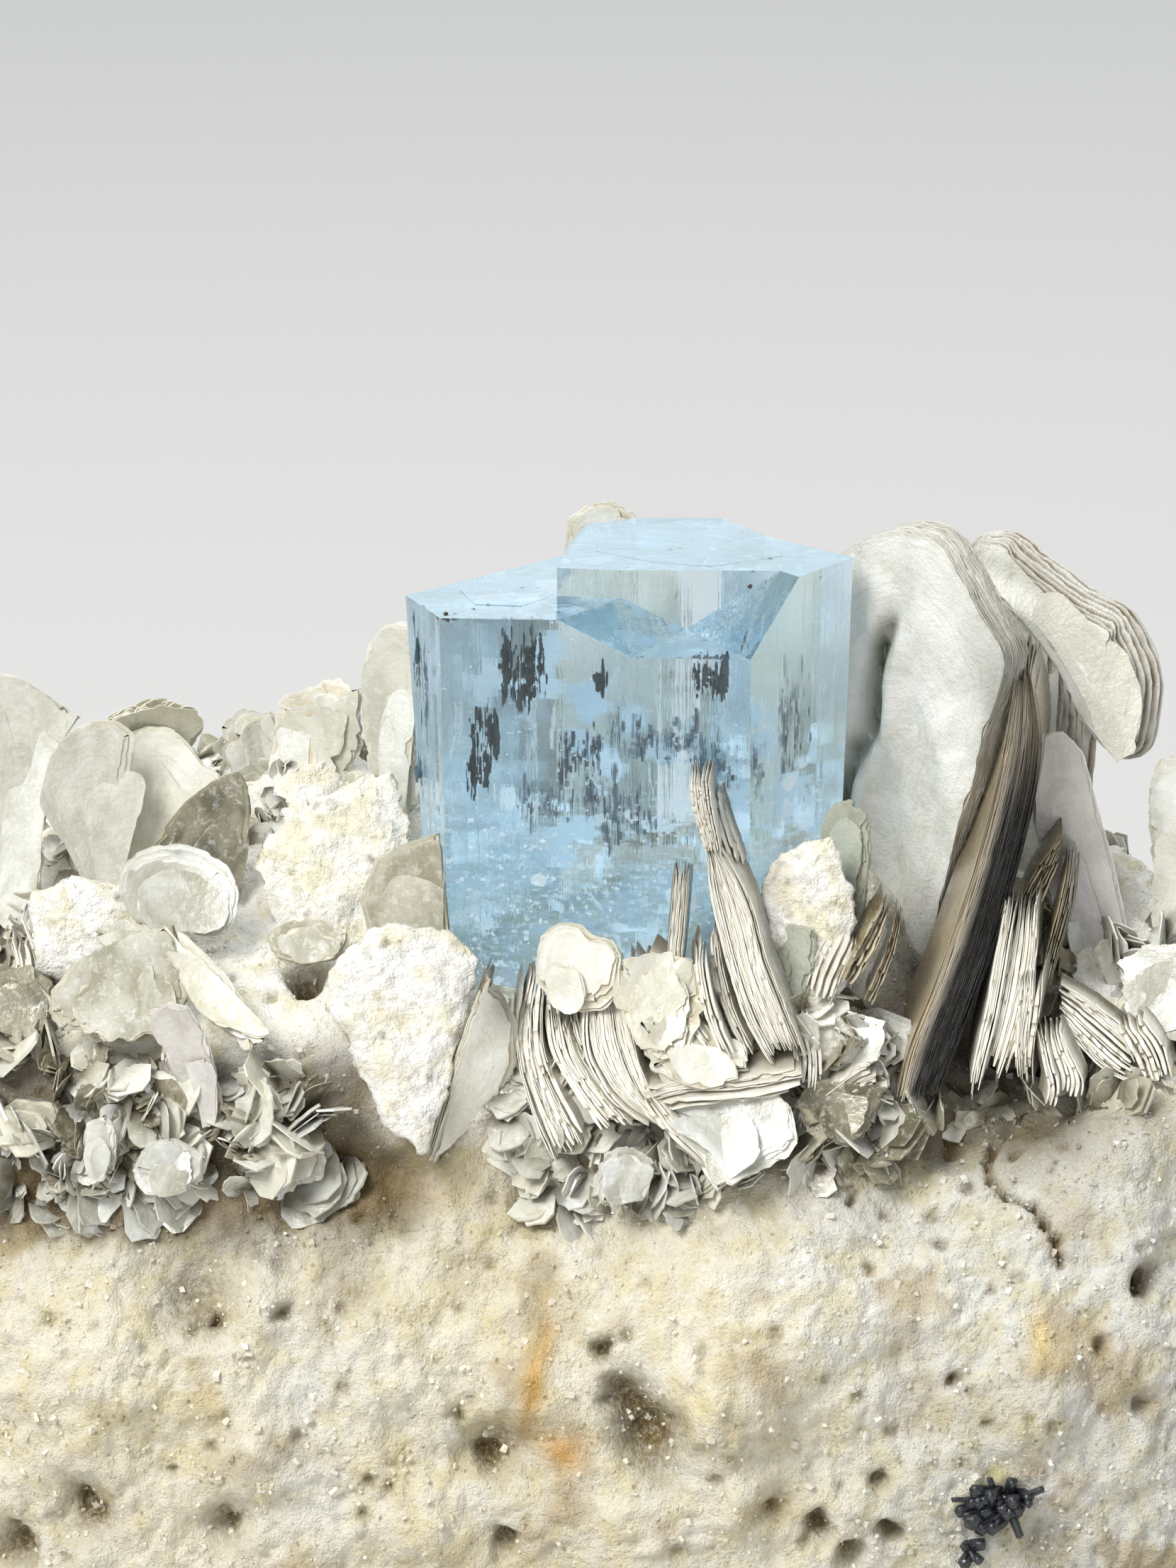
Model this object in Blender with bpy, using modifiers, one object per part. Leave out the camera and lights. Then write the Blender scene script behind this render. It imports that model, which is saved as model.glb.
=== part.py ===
"""Aquamarine crystal on a muscovite-covered piece of albite rock.

Units: design numbers are millimetres and are scaled to metres at the mesh.
Design frame: +Z up, the crystal's broad prism face looks towards -Y, and the
rock rests on the plane Z = 0.
"""
import bpy
import bmesh
import math
import random
from mathutils import Vector, Matrix, noise

MM = 0.001
for _o in list(bpy.data.objects):
    bpy.data.objects.remove(_o, do_unlink=True)

# ---------------------------------------------------------------- dimensions
GAP = 0.32              # growth gap left between touching pieces
ROCK_HALF_LENGTH = 32.0  # the rock's side sections, before its domed ends
ORIGIN = (0.1, 0.33, 0.0)  # design point under the middle of the whole specimen

# Aquamarine prism: plan corners (x, y) of the prism faces at the termination,
# the shift of each corner at the root, and the heights of its levels.
PRISM = [(-7.10, -7.0), (7.70, -8.0), (12.85, -0.6), (8.75, 3.8), (6.70, 7.6),
         (2.35, 7.6), (-1.30, 5.5), (-8.88, -2.6)]
PRISM_ROOT_SHIFT = [(0.40, 0.30), (0.10, 0.30), (-0.60, 0.0), (-0.40, -0.2),
                    (-0.30, -0.4), (0.10, -0.4), (0.40, -0.4), (1.20, 0.0)]
CRYSTAL_ROOT_Z = 31.2
LEVEL_LOW_Z = 50.2       # lower basal face, left part
LEVEL_HIGH_Z = 51.6      # raised basal face, right and back
# The step up to the raised face: plan of its left and front sides
RAISED_PLAN = [(-1.5, -2.7), (1.7, -3.2), (6.1, -3.2), (9.1, -3.3), (16.0, -3.4),
               (16.0, 12.0), (2.6, 12.0), (-0.9, 2.2)]
# Terrace at the front edge and the two ramps that rise from it: points on each
NOTCH = (4.75, -3.2, 48.7)
FRONT_EDGE_RIGHT = (7.70, -8.0, 48.4)
FRONT_EDGE_MID = (2.0, -7.6, 48.4)
LEFT_RAMP_TOP = (1.65, -3.2, 50.2)
RIGHT_RAMP_TOP = (9.97, -4.74, 51.4)

# Rock sections across its length: x, then (y, z) from the front foot, up the
# front wall, over the ledge and down the back to the back foot.
ROCK_SECTIONS = [
    (-32.0, [(-10, 0), (-12, 4), (-12.5, 10), (-12, 16), (-11, 20), (-9.5, 24),
             (-6, 26.5), (0, 28.5), (6, 30), (10, 29), (13, 24), (14, 15), (13, 6), (11, 0)]),
    (-30.2, [(-13.5, 0), (-16, 4), (-16.6, 11), (-15.5, 17), (-14, 22), (-12.3, 27),
             (-9, 29.6), (-1, 31.6), (7, 34), (13, 33), (17, 27), (18, 17), (17, 6), (14.5, 0)]),
    (-26.0, [(-15, 0), (-18, 4), (-18.6, 11), (-17.6, 18), (-15.2, 23), (-13.2, 28),
             (-10, 31), (-2, 33.2), (7, 36.5), (14, 35.8), (18.6, 30), (20, 18), (19, 6), (16.2, 0)]),
    (-19.0, [(-15.5, 0), (-18.6, 4), (-19.2, 11), (-18, 18), (-15.2, 23.6), (-13.6, 28.6),
             (-10.5, 31.6), (-2.5, 34), (6.5, 38), (14, 37.4), (19.2, 31), (21, 18), (20, 6), (17, 0)]),
    (-12.0, [(-16, 0), (-18.8, 4), (-19.2, 11), (-17.6, 18), (-14.6, 24), (-13.2, 29),
             (-10, 32.2), (-2, 35), (6, 38.5), (13.6, 37.6), (19.4, 31), (21.2, 18), (20.2, 6), (17, 0)]),
    (-4.0, [(-15.6, 0), (-18.6, 4), (-19.2, 11), (-17.6, 18), (-14.2, 24), (-12.6, 28),
            (-9.2, 31.0), (-1, 32.5), (8, 35), (14.5, 35), (19.8, 29.5), (21.4, 18), (20.4, 6), (17, 0)]),
    (4.0, [(-15.6, 0), (-18.8, 4), (-19.6, 11), (-18.4, 18), (-14.4, 24), (-12.2, 28),
           (-9.0, 32.0), (0, 33.5), (8, 35), (15, 34.5), (19.8, 29), (21.6, 18), (20.6, 6), (17, 0)]),
    (11.0, [(-16, 0), (-19, 4), (-19.6, 11), (-18.6, 18), (-15.2, 23.4), (-12.2, 27.4),
            (-8.6, 33.6), (-1, 36.5), (8, 35.5), (15, 34), (19.6, 28.5), (21.6, 18), (20.6, 6), (17, 0)]),
    (18.0, [(-15.6, 0), (-18.6, 4), (-19, 11), (-17.8, 17.6), (-15, 22), (-12.4, 24.6),
            (-8.8, 26.6), (-1, 30.4), (8, 34), (14.5, 33), (19, 28), (21, 18), (20, 6), (16.5, 0)]),
    (26.0, [(-15, 0), (-18, 4), (-18.4, 11), (-17, 18), (-14.2, 23.2), (-11.4, 26.2),
            (-8.2, 27.8), (0, 30.6), (8, 34), (14, 33), (18.4, 28), (20, 18), (19, 6), (16, 0)]),
    (30.2, [(-13, 0), (-15.6, 4), (-16, 11), (-14.6, 18), (-12, 22.6), (-9.6, 25.6),
            (-6.5, 27.2), (1, 29.6), (8, 31.6), (13, 30), (16.6, 25), (17.6, 16), (16.8, 6), (14, 0)]),
    (32.0, [(-9.5, 0), (-11.6, 4), (-12, 10), (-11, 15.5), (-9, 20), (-7, 23.5),
            (-4.5, 25), (1, 26.4), (6, 27), (9.5, 25.6), (12.4, 21), (13.2, 14), (12.4, 6), (10.4, 0)]),
]
ROCK_DIV_X = 38          # mesh divisions along the rock
ROCK_DIV_LOOP = 38       # mesh divisions from front foot to back foot
ROCK_DIV_BASE = 6        # mesh divisions across the flat base
END_RINGS = [(0.30, 1.1), (0.42, 0.7)]  # shrink and swell of the rings on each end

# Hollows and swellings of the rock's front: x, z, radius, depth (+ is inward)
ROCK_PITS = [(-18.3, 17.0, 2.6, 1.5), (-14.6, 16.2, 1.2, 0.7), (0.4, 15.2, 1.3, 1.2),
             (2.8, 12.4, 2.3, 1.3), (-4.4, 10.6, 1.6, 0.9), (-23.9, 8.6, 1.6, 1.0),
             (11.0, 8.0, 1.2, 0.7), (14.4, 8.0, 1.1, 0.6), (27.0, 18.2, 1.5, 1.2),
             (8.3, 17.0, 5.6, -1.3), (6.4, 11.4, 2.4, -1.2), (-3.2, 14.4, 2.0, -0.8),
             (-9.5, 12.0, 4.5, -0.7), (20.0, 12.5, 4.8, -0.7)]

# Muscovite books. Each plate: centre (x, y, z), outline in the plate's own
# plane (across, up), thickness, turn about Z (deg, 0 faces -Y), lean (deg,
# + leans the top backwards), bend across and bend along (1/mm).
BOOKS = [
    # upright fan at the right of the crystal, with its thick layered edge
    ("muscovite_fan_main", [
        ((15.2, 2.2, 41.0), [(-4.8, -10.8), (-4.2, -2.1), (-3.3, 5.4), (-2.7, 9.9), (0.4, 11.7),
                             (2.9, 11.9), (4.8, 10.1), (6.3, 7.5), (6.9, 5.8), (5.6, 1.3),
                             (4.3, -3.1), (3.0, -8.0), (1.9, -12.5), (-0.3, -14.6), (-2.5, -13.2)],
         2.6, -32, -3, 0.010, 0.003)]),
    ("muscovite_fan_edge", [
        ((19.3, -0.6, 36.0), [(4.3, 11.9), (5.2, 7.6), (4.5, 3.0), (3.1, -1.3), (1.4, -6.5),
                              (-1.4, -11.3), (-5.0, -13.2), (-4.1, -9.1), (-2.7, -5.9), (-1.1, -1.3),
                              (0.7, 3.7), (2.6, 8.3)], 2.2, -52, -3, 0.006, 0.002)]),
    ("muscovite_fan_back", [
        ((24.5, 7.4, 46.0), [(-5.7, 2.8), (-5.4, 4.2), (-4.6, 4.7), (-3.1, 4.7), (-1.1, 3.3),
                             (0.7, 2.0), (2.8, 0.9), (4.1, -1.4), (4.4, -3.0), (4.0, -5.9),
                             (2.4, -6.6), (0.4, -4.8), (-0.9, -2.4), (-2.9, 0.1)],
         3.4, -10, 6, 0.012, 0.012),
        ((22.6, 7.8, 40.6), [(-2.6, 8.0), (0.6, 8.6), (2.6, 5.4), (3.0, 0.0), (2.6, -7.2),
                             (-2.0, -7.8), (-2.8, 0.4)], 2.0, -22, 4, 0.012, 0.0)]),
    ("muscovite_pale_blade", [
        ((25.2, 2.6, 38.2), [(-1.8, 5.3), (0.4, 5.3), (1.8, 3.0), (2.1, -1.0), (2.0, -4.5),
                             (0.8, -7.6), (-0.6, -7.8), (-1.4, -2.3), (-2.0, 1.7)],
         0.8, 8, 4, 0.02, 0.004)]),
    ("muscovite_brown_blades", [
        ((22.0, -2.4, 35.0), [(1.3, 3.6), (1.3, 1.7), (0.6, -1.5), (-0.2, -4.6), (-1.2, -1.4),
                              (-0.8, 2.1)], 0.8, 35, -4, 0.01, 0.0),
        ((23.0, -2.9, 34.2), [(1.6, 3.4), (1.3, 1.0), (0.4, -2.4), (-0.6, -4.1), (-1.0, -1.0),
                              (-0.4, 2.0)], 0.7, 48, 0, 0.01, 0.0)]),
    ("muscovite_vertical_cluster", [
        ((18.9, -7.0, 31.0), [(-0.2, 4.4), (1.2, 0.0), (1.2, -3.7), (0.3, -5.9), (-0.8, -2.1),
                              (-0.9, 2.0)], 0.8, 50, -3, 0.01, 0.0),
        ((20.2, -6.6, 30.9), [(-0.4, 5.0), (0.9, 1.9), (0.9, -2.3), (-0.5, -5.5), (-1.4, -2.1),
                              (-1.5, 2.6)], 0.8, 60, 0, 0.01, 0.0),
        ((21.3, -6.0, 31.2), [(-0.1, 3.4), (0.9, 0.7), (0.6, -2.0), (-0.7, -5.0), (-1.3, -1.3),
                              (-0.9, 1.4)], 0.8, 45, 4, 0.01, 0.0)]),
    ("muscovite_wedge_right", [
        ((25.4, -7.2, 29.6), [(-2.6, 2.5), (-1.0, 2.9), (0.9, 1.4), (2.6, -1.2), (2.4, -2.2),
                              (0.9, -1.9), (-1.1, -1.7), (-2.7, -2.8), (-3.1, 0.2)],
         1.6, 10, 30, 0.01, 0.02)]),
    ("muscovite_silver_right", [
        ((28.2, -4.4, 30.8), [(-2.6, 1.0), (-1.4, 2.2), (1.4, 2.4), (2.9, 0.6), (2.3, -2.0),
                              (-0.7, -2.5), (-2.0, -1.1)], 0.9, -14, 22, 0.04, 0.02)]),
    ("muscovite_lobe_right", [
        ((30.0, 4.0, 36.2), [(-2.3, 2.5), (-1.6, 4.0), (0.2, 4.2), (1.9, 2.9), (1.9, -0.3),
                             (1.4, -5.0), (-1.3, -5.6), (-2.0, -1.4)], 1.0, -20, 6, 0.03, 0.0)]),
    ("muscovite_grey_a", [
        ((12.6, -11.4, 30.1), [(-2.3, 0.2), (-1.9, 1.3), (-0.2, 1.9), (1.7, 1.6), (1.8, -0.4),
                               (-0.3, -1.5), (-1.9, -1.0)], 0.8, -12, 34, 0.04, 0.02)]),
    ("muscovite_grey_b", [
        ((12.2, -13.8, 27.6), [(-2.6, 0.6), (-1.7, 1.7), (0.1, 1.9), (2.2, 1.1), (1.6, -0.8),
                               (-0.5, -1.5), (-2.2, -0.8)], 0.8, 10, 24, 0.04, 0.02)]),
    # rosette in front of the crystal
    ("muscovite_triangle_blade", [
        ((-5.4, -12.8, 29.0), [(0.1, 5.9), (0.9, 4.5), (2.2, 3.2), (2.2, 0.5), (0.9, -1.9),
                               (-0.9, -3.2), (-2.3, -4.3), (-1.7, -0.3), (-0.8, 3.3)],
         0.7, 28, -8, 0.02, 0.0)]),
    ("muscovite_chip", [
        ((-4.6, -10.0, 32.1), [(-1.2, -0.2), (-0.1, 0.9), (1.3, 0.6), (1.1, -1.0), (-0.2, -1.4)],
         0.5, 8, 40, 0.0, 0.0)]),
    ("muscovite_radial_fan", [
        ((-1.6, -13.2, 28.8), [(-3.0, 5.8), (-1.5, 4.7), (0.3, 0.4), (1.9, -3.9), (2.0, -5.8),
                               (-0.3, -2.5), (-2.6, 2.0)], 0.6, 50, -12, 0.01, 0.0),
        ((0.0, -13.9, 28.6), [(-3.4, 5.9), (-1.8, 4.9), (0.5, 0.9), (2.1, -2.7), (2.0, -3.9),
                              (-0.6, -0.4), (-2.6, 3.0)], 0.6, 44, -14, 0.01, 0.0),
        ((1.9, -14.4, 28.4), [(-3.2, 5.2), (-0.8, 3.5), (1.2, 0.4), (2.3, -1.8), (1.1, -1.6),
                              (-1.1, 1.3), (-2.5, 3.2)], 0.6, 38, -12, 0.01, 0.0)]),
    ("muscovite_round_book", [
        ((-0.4, -11.8, 33.9), [(-1.9, 1.0), (-1.0, 2.0), (0.6, 2.4), (1.8, 1.7), (2.3, 0.2),
                               (1.7, -1.4), (0.1, -1.9), (-1.4, -1.2), (-2.1, -0.2)],
         1.2, -18, 14, 0.06, 0.03)]),
    ("muscovite_s_book", [
        ((1.3, -13.2, 30.8), [(-2.0, 3.6), (-1.0, 4.0), (0.5, 2.7), (1.4, 0.3), (1.8, -2.7),
                              (1.3, -4.4), (0.1, -3.1), (-1.1, -0.4)], 1.1, 30, -6, 0.03, 0.01)]),
    ("muscovite_wavy_sheets", [
        ((4.0, -12.4, 32.2), [(-2.8, 2.4), (-0.9, 3.0), (1.1, 2.6), (2.1, 1.2), (2.0, -1.2),
                              (0.5, -2.4), (-1.5, -2.3), (-2.7, -0.3)], 0.9, -6, 24, 0.04, 0.03),
        ((4.6, -13.6, 30.2), [(-2.6, 1.4), (-0.6, 2.1), (1.6, 1.9), (2.6, 0.2), (1.8, -1.6),
                              (-0.4, -2.0), (-2.2, -1.0)], 0.8, 8, 36, 0.04, 0.03)]),
    ("muscovite_upright_book", [
        ((4.6, -10.4, 35.2), [(-1.2, 2.4), (-0.7, 3.4), (0.6, 3.3), (1.2, 1.0), (1.0, -2.3),
                              (0.5, -3.4), (-0.5, -2.9), (-1.1, -0.1)], 1.2, 30, -3, 0.01, 0.0)]),
    ("muscovite_spike", [
        ((6.8, -11.4, 36.4), [(-2.7, 7.3), (-2.0, 7.8), (-1.1, 7.2), (0.3, 3.5), (1.8, 0.0),
                              (3.7, -4.4), (4.9, -8.1), (3.4, -8.6), (1.2, -5.3), (-0.6, -0.6),
                              (-1.7, 3.9)], 0.9, 40, -3, 0.006, 0.0),
        ((8.2, -11.9, 33.6), [(-2.2, 4.6), (-1.2, 5.0), (0.6, 1.6), (2.2, -2.4), (3.2, -5.6),
                              (1.6, -6.2), (-0.4, -2.0)], 0.9, 32, -5, 0.006, 0.0)]),
    ("muscovite_silver_plate", [
        ((6.6, -15.6, 27.0), [(-3.9, 0.4), (-3.1, 2.1), (-1.1, 3.0), (1.6, 2.9), (3.2, 1.4),
                              (3.0, -1.0), (1.3, -2.7), (-1.1, -2.5), (-3.2, -1.3)],
         0.8, -8, 30, 0.03, 0.02)]),
    ("muscovite_small_front", [
        ((1.6, -16.2, 25.0), [(-1.4, 0.3), (-0.8, 1.6), (0.6, 1.8), (1.7, 0.9), (1.2, -0.8),
                              (-0.4, -1.1), (-1.2, -0.9)], 0.6, 16, 20, 0.03, 0.0)]),
    ("muscovite_green_plate", [
        ((12.4, -6.0, 38.6), [(-1.5, 0.2), (-0.9, 1.9), (0.3, 2.5), (1.3, 1.7), (1.5, -0.4),
                              (1.3, -3.4), (0.1, -4.0), (-1.2, -3.2)], 0.6, -30, 6, 0.02, 0.0)]),
    ("muscovite_right_blades", [
        ((13.2, -9.6, 34.6), [(-1.1, -2.9), (-0.8, 0.4), (0.6, 1.9), (1.6, 2.1), (1.3, 0.3),
                              (0.4, -2.7)], 0.6, 36, -4, 0.01, 0.0),
        ((14.6, -9.2, 34.0), [(-1.1, -2.9), (-0.6, 0.2), (0.8, 1.7), (1.7, 1.7), (1.3, 0.0),
                              (0.5, -2.7)], 0.6, 44, 2, 0.01, 0.0)]),
    ("muscovite_mid_leaf", [
        ((9.3, -10.2, 33.6), [(-1.4, 0.8), (-0.4, 2.4), (1.3, 2.3), (1.9, 0.2), (1.3, -2.0),
                              (-0.9, -2.1)], 0.7, -34, 20, 0.02, 0.02)]),
    # left ledge
    ("muscovite_hex_plate", [
        ((-9.6, -6.4, 36.4), [(-2.1, -0.5), (-1.5, 2.4), (-0.1, 3.9), (1.9, 4.0), (2.3, 1.2),
                              (2.2, -2.3), (1.5, -3.9), (-0.6, -3.8), (-1.9, -2.2)],
         0.7, -12, 4, 0.012, 0.0)]),
    ("muscovite_lobe_left", [
        ((-9.8, 5.2, 42.2), [(-1.7, 1.2), (-1.4, 3.2), (-0.4, 4.4), (0.8, 4.6), (1.7, 3.6),
                             (1.8, -4.6), (0.2, -5.4), (-1.3, -2.8)], 1.4, -16, 4, 0.03, 0.0)]),
    ("muscovite_far_left", [
        ((-28.8, 2.4, 39.2), [(-2.9, 4.8), (-0.6, 6.6), (0.1, 5.8), (1.1, 5.0), (1.8, 3.1),
                              (2.3, 0.9), (1.9, -2.7), (1.1, -6.5), (-0.4, -7.4), (-2.5, -7.0),
                              (-3.6, -1.2)], 1.2, 14, 4, 0.02, 0.0)]),
    ("muscovite_left_blade", [
        ((-24.6, -0.9, 38.8), [(-2.2, 2.2), (-1.5, 3.9), (-0.0, 4.7), (1.2, 4.7), (2.1, 3.2),
                               (2.2, 0.4), (1.5, -2.4), (0.6, -6.3), (-0.5, -6.1), (-1.7, -1.6)],
         0.8, 16, 5, 0.035, 0.004)]),
    ("muscovite_left_blade_b", [
        ((-20.9, 1.6, 39.4), [(-2.0, 1.6), (-1.2, 2.9), (0.5, 3.1), (1.7, 2.1), (2.0, 0.1),
                              (1.4, -2.9), (0.1, -5.2), (-1.3, -4.6), (-1.9, -0.8)],
         0.8, -14, 6, 0.035, 0.004)]),
    ("muscovite_dark_triangle", [
        ((-17.6, -1.8, 38.0), [(-2.4, -0.2), (-1.0, 1.4), (0.5, 2.7), (1.6, 2.7), (2.1, 1.9),
                               (1.8, -0.6), (1.2, -3.4), (-0.4, -4.0), (-2.0, -1.8)],
         0.6, 18, 8, 0.015, 0.0)]),
    ("muscovite_disc", [
        ((-19.9, -6.8, 36.7), [(-2.6, 0.2), (-2.2, 1.5), (-0.7, 2.2), (1.0, 2.2), (2.5, 1.5),
                               (2.8, -0.0), (2.2, -1.4), (0.4, -2.1), (-1.5, -1.9), (-2.4, -1.1)],
         0.9, 6, 22, 0.06, 0.05)]),
    ("muscovite_under_disc", [
        ((-22.3, -8.8, 34.6), [(-1.5, 0.5), (-0.1, 1.2), (1.5, 0.9), (1.4, -0.6), (-0.3, -0.8)],
         0.6, 0, 40, 0.02, 0.0)]),
    ("muscovite_hole_rim", [
        ((-13.3, -8.0, 34.0), [(-2.3, 0.6), (-1.3, 1.5), (0.0, 1.7), (1.9, 0.9), (1.5, -0.5),
                               (-0.3, -1.0), (-1.7, -0.6)], 0.6, 0, 44, 0.04, 0.0)]),
    ("muscovite_tan_blade", [
        ((-22.9, -11.6, 32.8), [(-3.0, -0.2), (-2.3, 1.8), (-0.6, 2.8), (1.5, 3.0), (2.9, 2.3),
                                (3.4, 0.9), (2.1, -0.8), (0.2, -2.1), (-1.9, -2.5)],
         0.8, 8, 30, 0.02, 0.03)]),
    ("muscovite_draped", [
        ((-17.4, -11.2, 33.2), [(-2.9, 2.0), (-1.6, 2.7), (0.1, 1.8), (1.8, 0.6), (2.9, -0.8),
                                (2.6, -2.1), (1.0, -1.7), (-0.9, -1.3), (-2.3, -0.2)],
         0.8, -20, 24, 0.05, 0.03)]),
    ("muscovite_hanging", [
        ((-19.1, -14.0, 30.2), [(-1.9, 2.3), (-1.1, 3.2), (0.4, 3.2), (1.6, 2.6), (2.0, 0.8),
                                (1.3, -1.4), (0.4, -3.1), (-0.8, -2.3), (-1.6, -0.2)],
         0.8, -12, -4, 0.04, 0.0)]),
    ("muscovite_bright_a", [
        ((-15.3, -14.5, 26.8), [(-1.6, 0.6), (-0.9, 2.1), (0.3, 2.2), (1.1, 1.1), (0.9, -0.6),
                                (-0.7, -1.0)], 0.6, 12, 8, 0.03, 0.0)]),
    ("muscovite_bright_b", [
        ((-22.9, -15.6, 26.0), [(-1.0, 0.3), (-0.6, 1.7), (0.5, 2.0), (1.0, 0.9), (0.8, -0.9),
                                (-0.4, -1.3)], 0.6, -16, 4, 0.03, 0.0)]),
    ("muscovite_bright_c", [
        ((-19.6, -16.0, 25.4), [(-2.0, 0.5), (-1.3, 1.7), (0.2, 1.8), (1.8, 0.9), (1.5, -0.7),
                                (-0.2, -1.1), (-1.5, -0.7)], 0.6, 6, 14, 0.03, 0.0)]),
    ("muscovite_bright_d", [
        ((-13.1, -14.8, 25.2), [(-0.9, 0.4), (-0.3, 1.2), (0.8, 0.7), (0.6, -0.5), (-0.5, -0.7)],
         0.5, -6, 16, 0.03, 0.0)]),
    ("muscovite_dark_left", [
        ((-27.2, -10.6, 31.6), [(-2.3, 1.0), (-1.1, 2.2), (0.6, 2.4), (1.9, 1.4), (1.7, -0.5),
                                (0.1, -1.4), (-1.9, -0.8)], 0.8, 8, 22, 0.04, 0.0)]),
    ("muscovite_dark_left_low", [
        ((-26.6, -14.4, 26.6), [(-2.1, 1.0), (-0.5, 2.0), (1.2, 1.9), (1.9, 0.9), (1.4, -0.4),
                                (-0.5, -0.7), (-2.0, -0.3)], 0.7, -8, 12, 0.04, 0.0)]),
    ("muscovite_skyline", [
        ((-13.8, 8.0, 41.0), [(-2.6, -1.7), (-2.2, 0.9), (-1.6, 1.5), (-0.1, 2.1), (1.7, 2.3),
                              (2.6, 1.9), (2.6, -1.4), (0.3, -3.7), (-2.3, -3.9)],
         0.9, -12, 5, 0.03, 0.0),
        ((-17.0, 9.0, 39.8), [(-1.8, 0.8), (-0.6, 1.7), (1.2, 1.5), (1.9, 0.0), (1.2, -3.0),
                              (-1.3, -3.0)], 0.7, 14, 10, 0.03, 0.0)]),
    ("muscovite_behind", [
        ((1.0, 10.6, 43.8), [(-2.3, 1.0), (-2.3, 5.0), (-2.0, 7.0), (-0.9, 7.8), (0.4, 7.8),
                             (1.6, 7.1), (3.7, 4.5), (4.0, -1.4), (2.6, -8.5), (-1.6, -8.7)],
         1.2, 6, 3, 0.02, 0.0)]),
    ("muscovite_behind_right", [
        ((9.0, 10.8, 40.8), [(-3.2, 1.0), (-2.6, 4.6), (-0.8, 6.2), (1.6, 6.0), (3.2, 3.6),
                             (3.4, -1.0), (2.4, -6.0), (-1.6, -6.2), (-3.0, -2.6)],
         1.2, -16, 5, 0.02, 0.0)]),
    # books on the back of the ledge
    ("muscovite_back_a", [
        ((-22.4, 12.0, 39.2), [(-3.0, 0.6), (-2.2, 2.7), (0.2, 3.5), (2.4, 2.5), (3.1, 0.0),
                               (1.8, -3.0), (-1.6, -3.3)], 1.0, 26, -12, 0.02, 0.0)]),
    ("muscovite_back_b", [
        ((17.6, 13.2, 36.8), [(-3.3, 0.2), (-2.6, 2.6), (-0.2, 3.8), (2.4, 2.9), (3.4, 0.2),
                              (2.2, -3.2), (-1.9, -3.4)], 1.1, -24, -14, 0.02, 0.0)]),
    ("muscovite_back_c", [
        ((-5.0, 12.4, 38.6), [(-2.3, 0.4), (-1.6, 2.4), (0.3, 3.2), (2.1, 2.1), (2.5, 0.0),
                              (1.5, -3.4), (-1.4, -3.6)], 0.9, 18, -8, 0.02, 0.0)]),
]

# Schorl needles: name, list of (base point, tip point, radius)
SCHORL = [
    ("schorl_main", [((20.9, -18.2, 10.9), (17.4, -20.7, 10.9), 0.42),
                     ((18.9, -18.2, 9.4), (21.3, -20.9, 11.0), 0.55),
                     ((19.5, -18.2, 11.5), (18.8, -21.0, 9.4), 0.5)]),
    ("schorl_small", [((18.8, -18.0, 8.3), (18.0, -20.3, 7.6), 0.55)]),
]

# ------------------------------------------------------------------ helpers
PARTS = bpy.data.collections.new("aquamarine_crystal")
CUTTERS = bpy.data.collections.new("cutters")
bpy.context.scene.collection.children.link(PARTS)
bpy.context.scene.collection.children.link(CUTTERS)


def material(name, color, rough, metal=0.0, transmission=0.0, ior=1.5):
    m = bpy.data.materials.new(name)
    m.use_nodes = True
    b = m.node_tree.nodes["Principled BSDF"]
    b.inputs["Base Color"].default_value = (*color, 1.0)
    b.inputs["Roughness"].default_value = rough
    b.inputs["Metallic"].default_value = metal
    b.inputs["Transmission Weight"].default_value = transmission
    b.inputs["IOR"].default_value = ior
    m.diffuse_color = (*color, 1.0)
    return m


MAT_ROCK = material("albite_rock", (0.72, 0.66, 0.56), 0.85)
MAT_BERYL = material("aquamarine", (0.62, 0.80, 0.90), 0.04, 0.0, 1.0, 1.577)
MAT_MICA = material("muscovite", (0.64, 0.60, 0.50), 0.30)
MAT_SCHORL = material("schorl", (0.02, 0.02, 0.022), 0.20)


def new_object(name, bm, mat, collection):
    bmesh.ops.recalc_face_normals(bm, faces=bm.faces)
    me = bpy.data.meshes.new(name)
    bm.to_mesh(me)
    bm.free()
    me.transform(Matrix.Scale(MM, 4))
    if mat is not None:
        me.materials.append(mat)
    ob = bpy.data.objects.new(name, me)
    collection.objects.link(ob)
    if collection is CUTTERS:
        ob.hide_render = True
        ob.display_type = 'WIRE'
    return ob


def bake(ob):
    """Replace the object's mesh by its evaluated mesh and drop the modifiers."""
    bpy.context.view_layer.update()
    dg = bpy.context.evaluated_depsgraph_get()
    me = bpy.data.meshes.new_from_object(ob.evaluated_get(dg))
    ob.modifiers.clear()
    old = ob.data
    ob.data = me
    bpy.data.meshes.remove(old)


def boolean(ob, other, op):
    m = ob.modifiers.new(op.lower(), 'BOOLEAN')
    m.operation = op
    m.solver = 'EXACT'
    m.object = other


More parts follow.
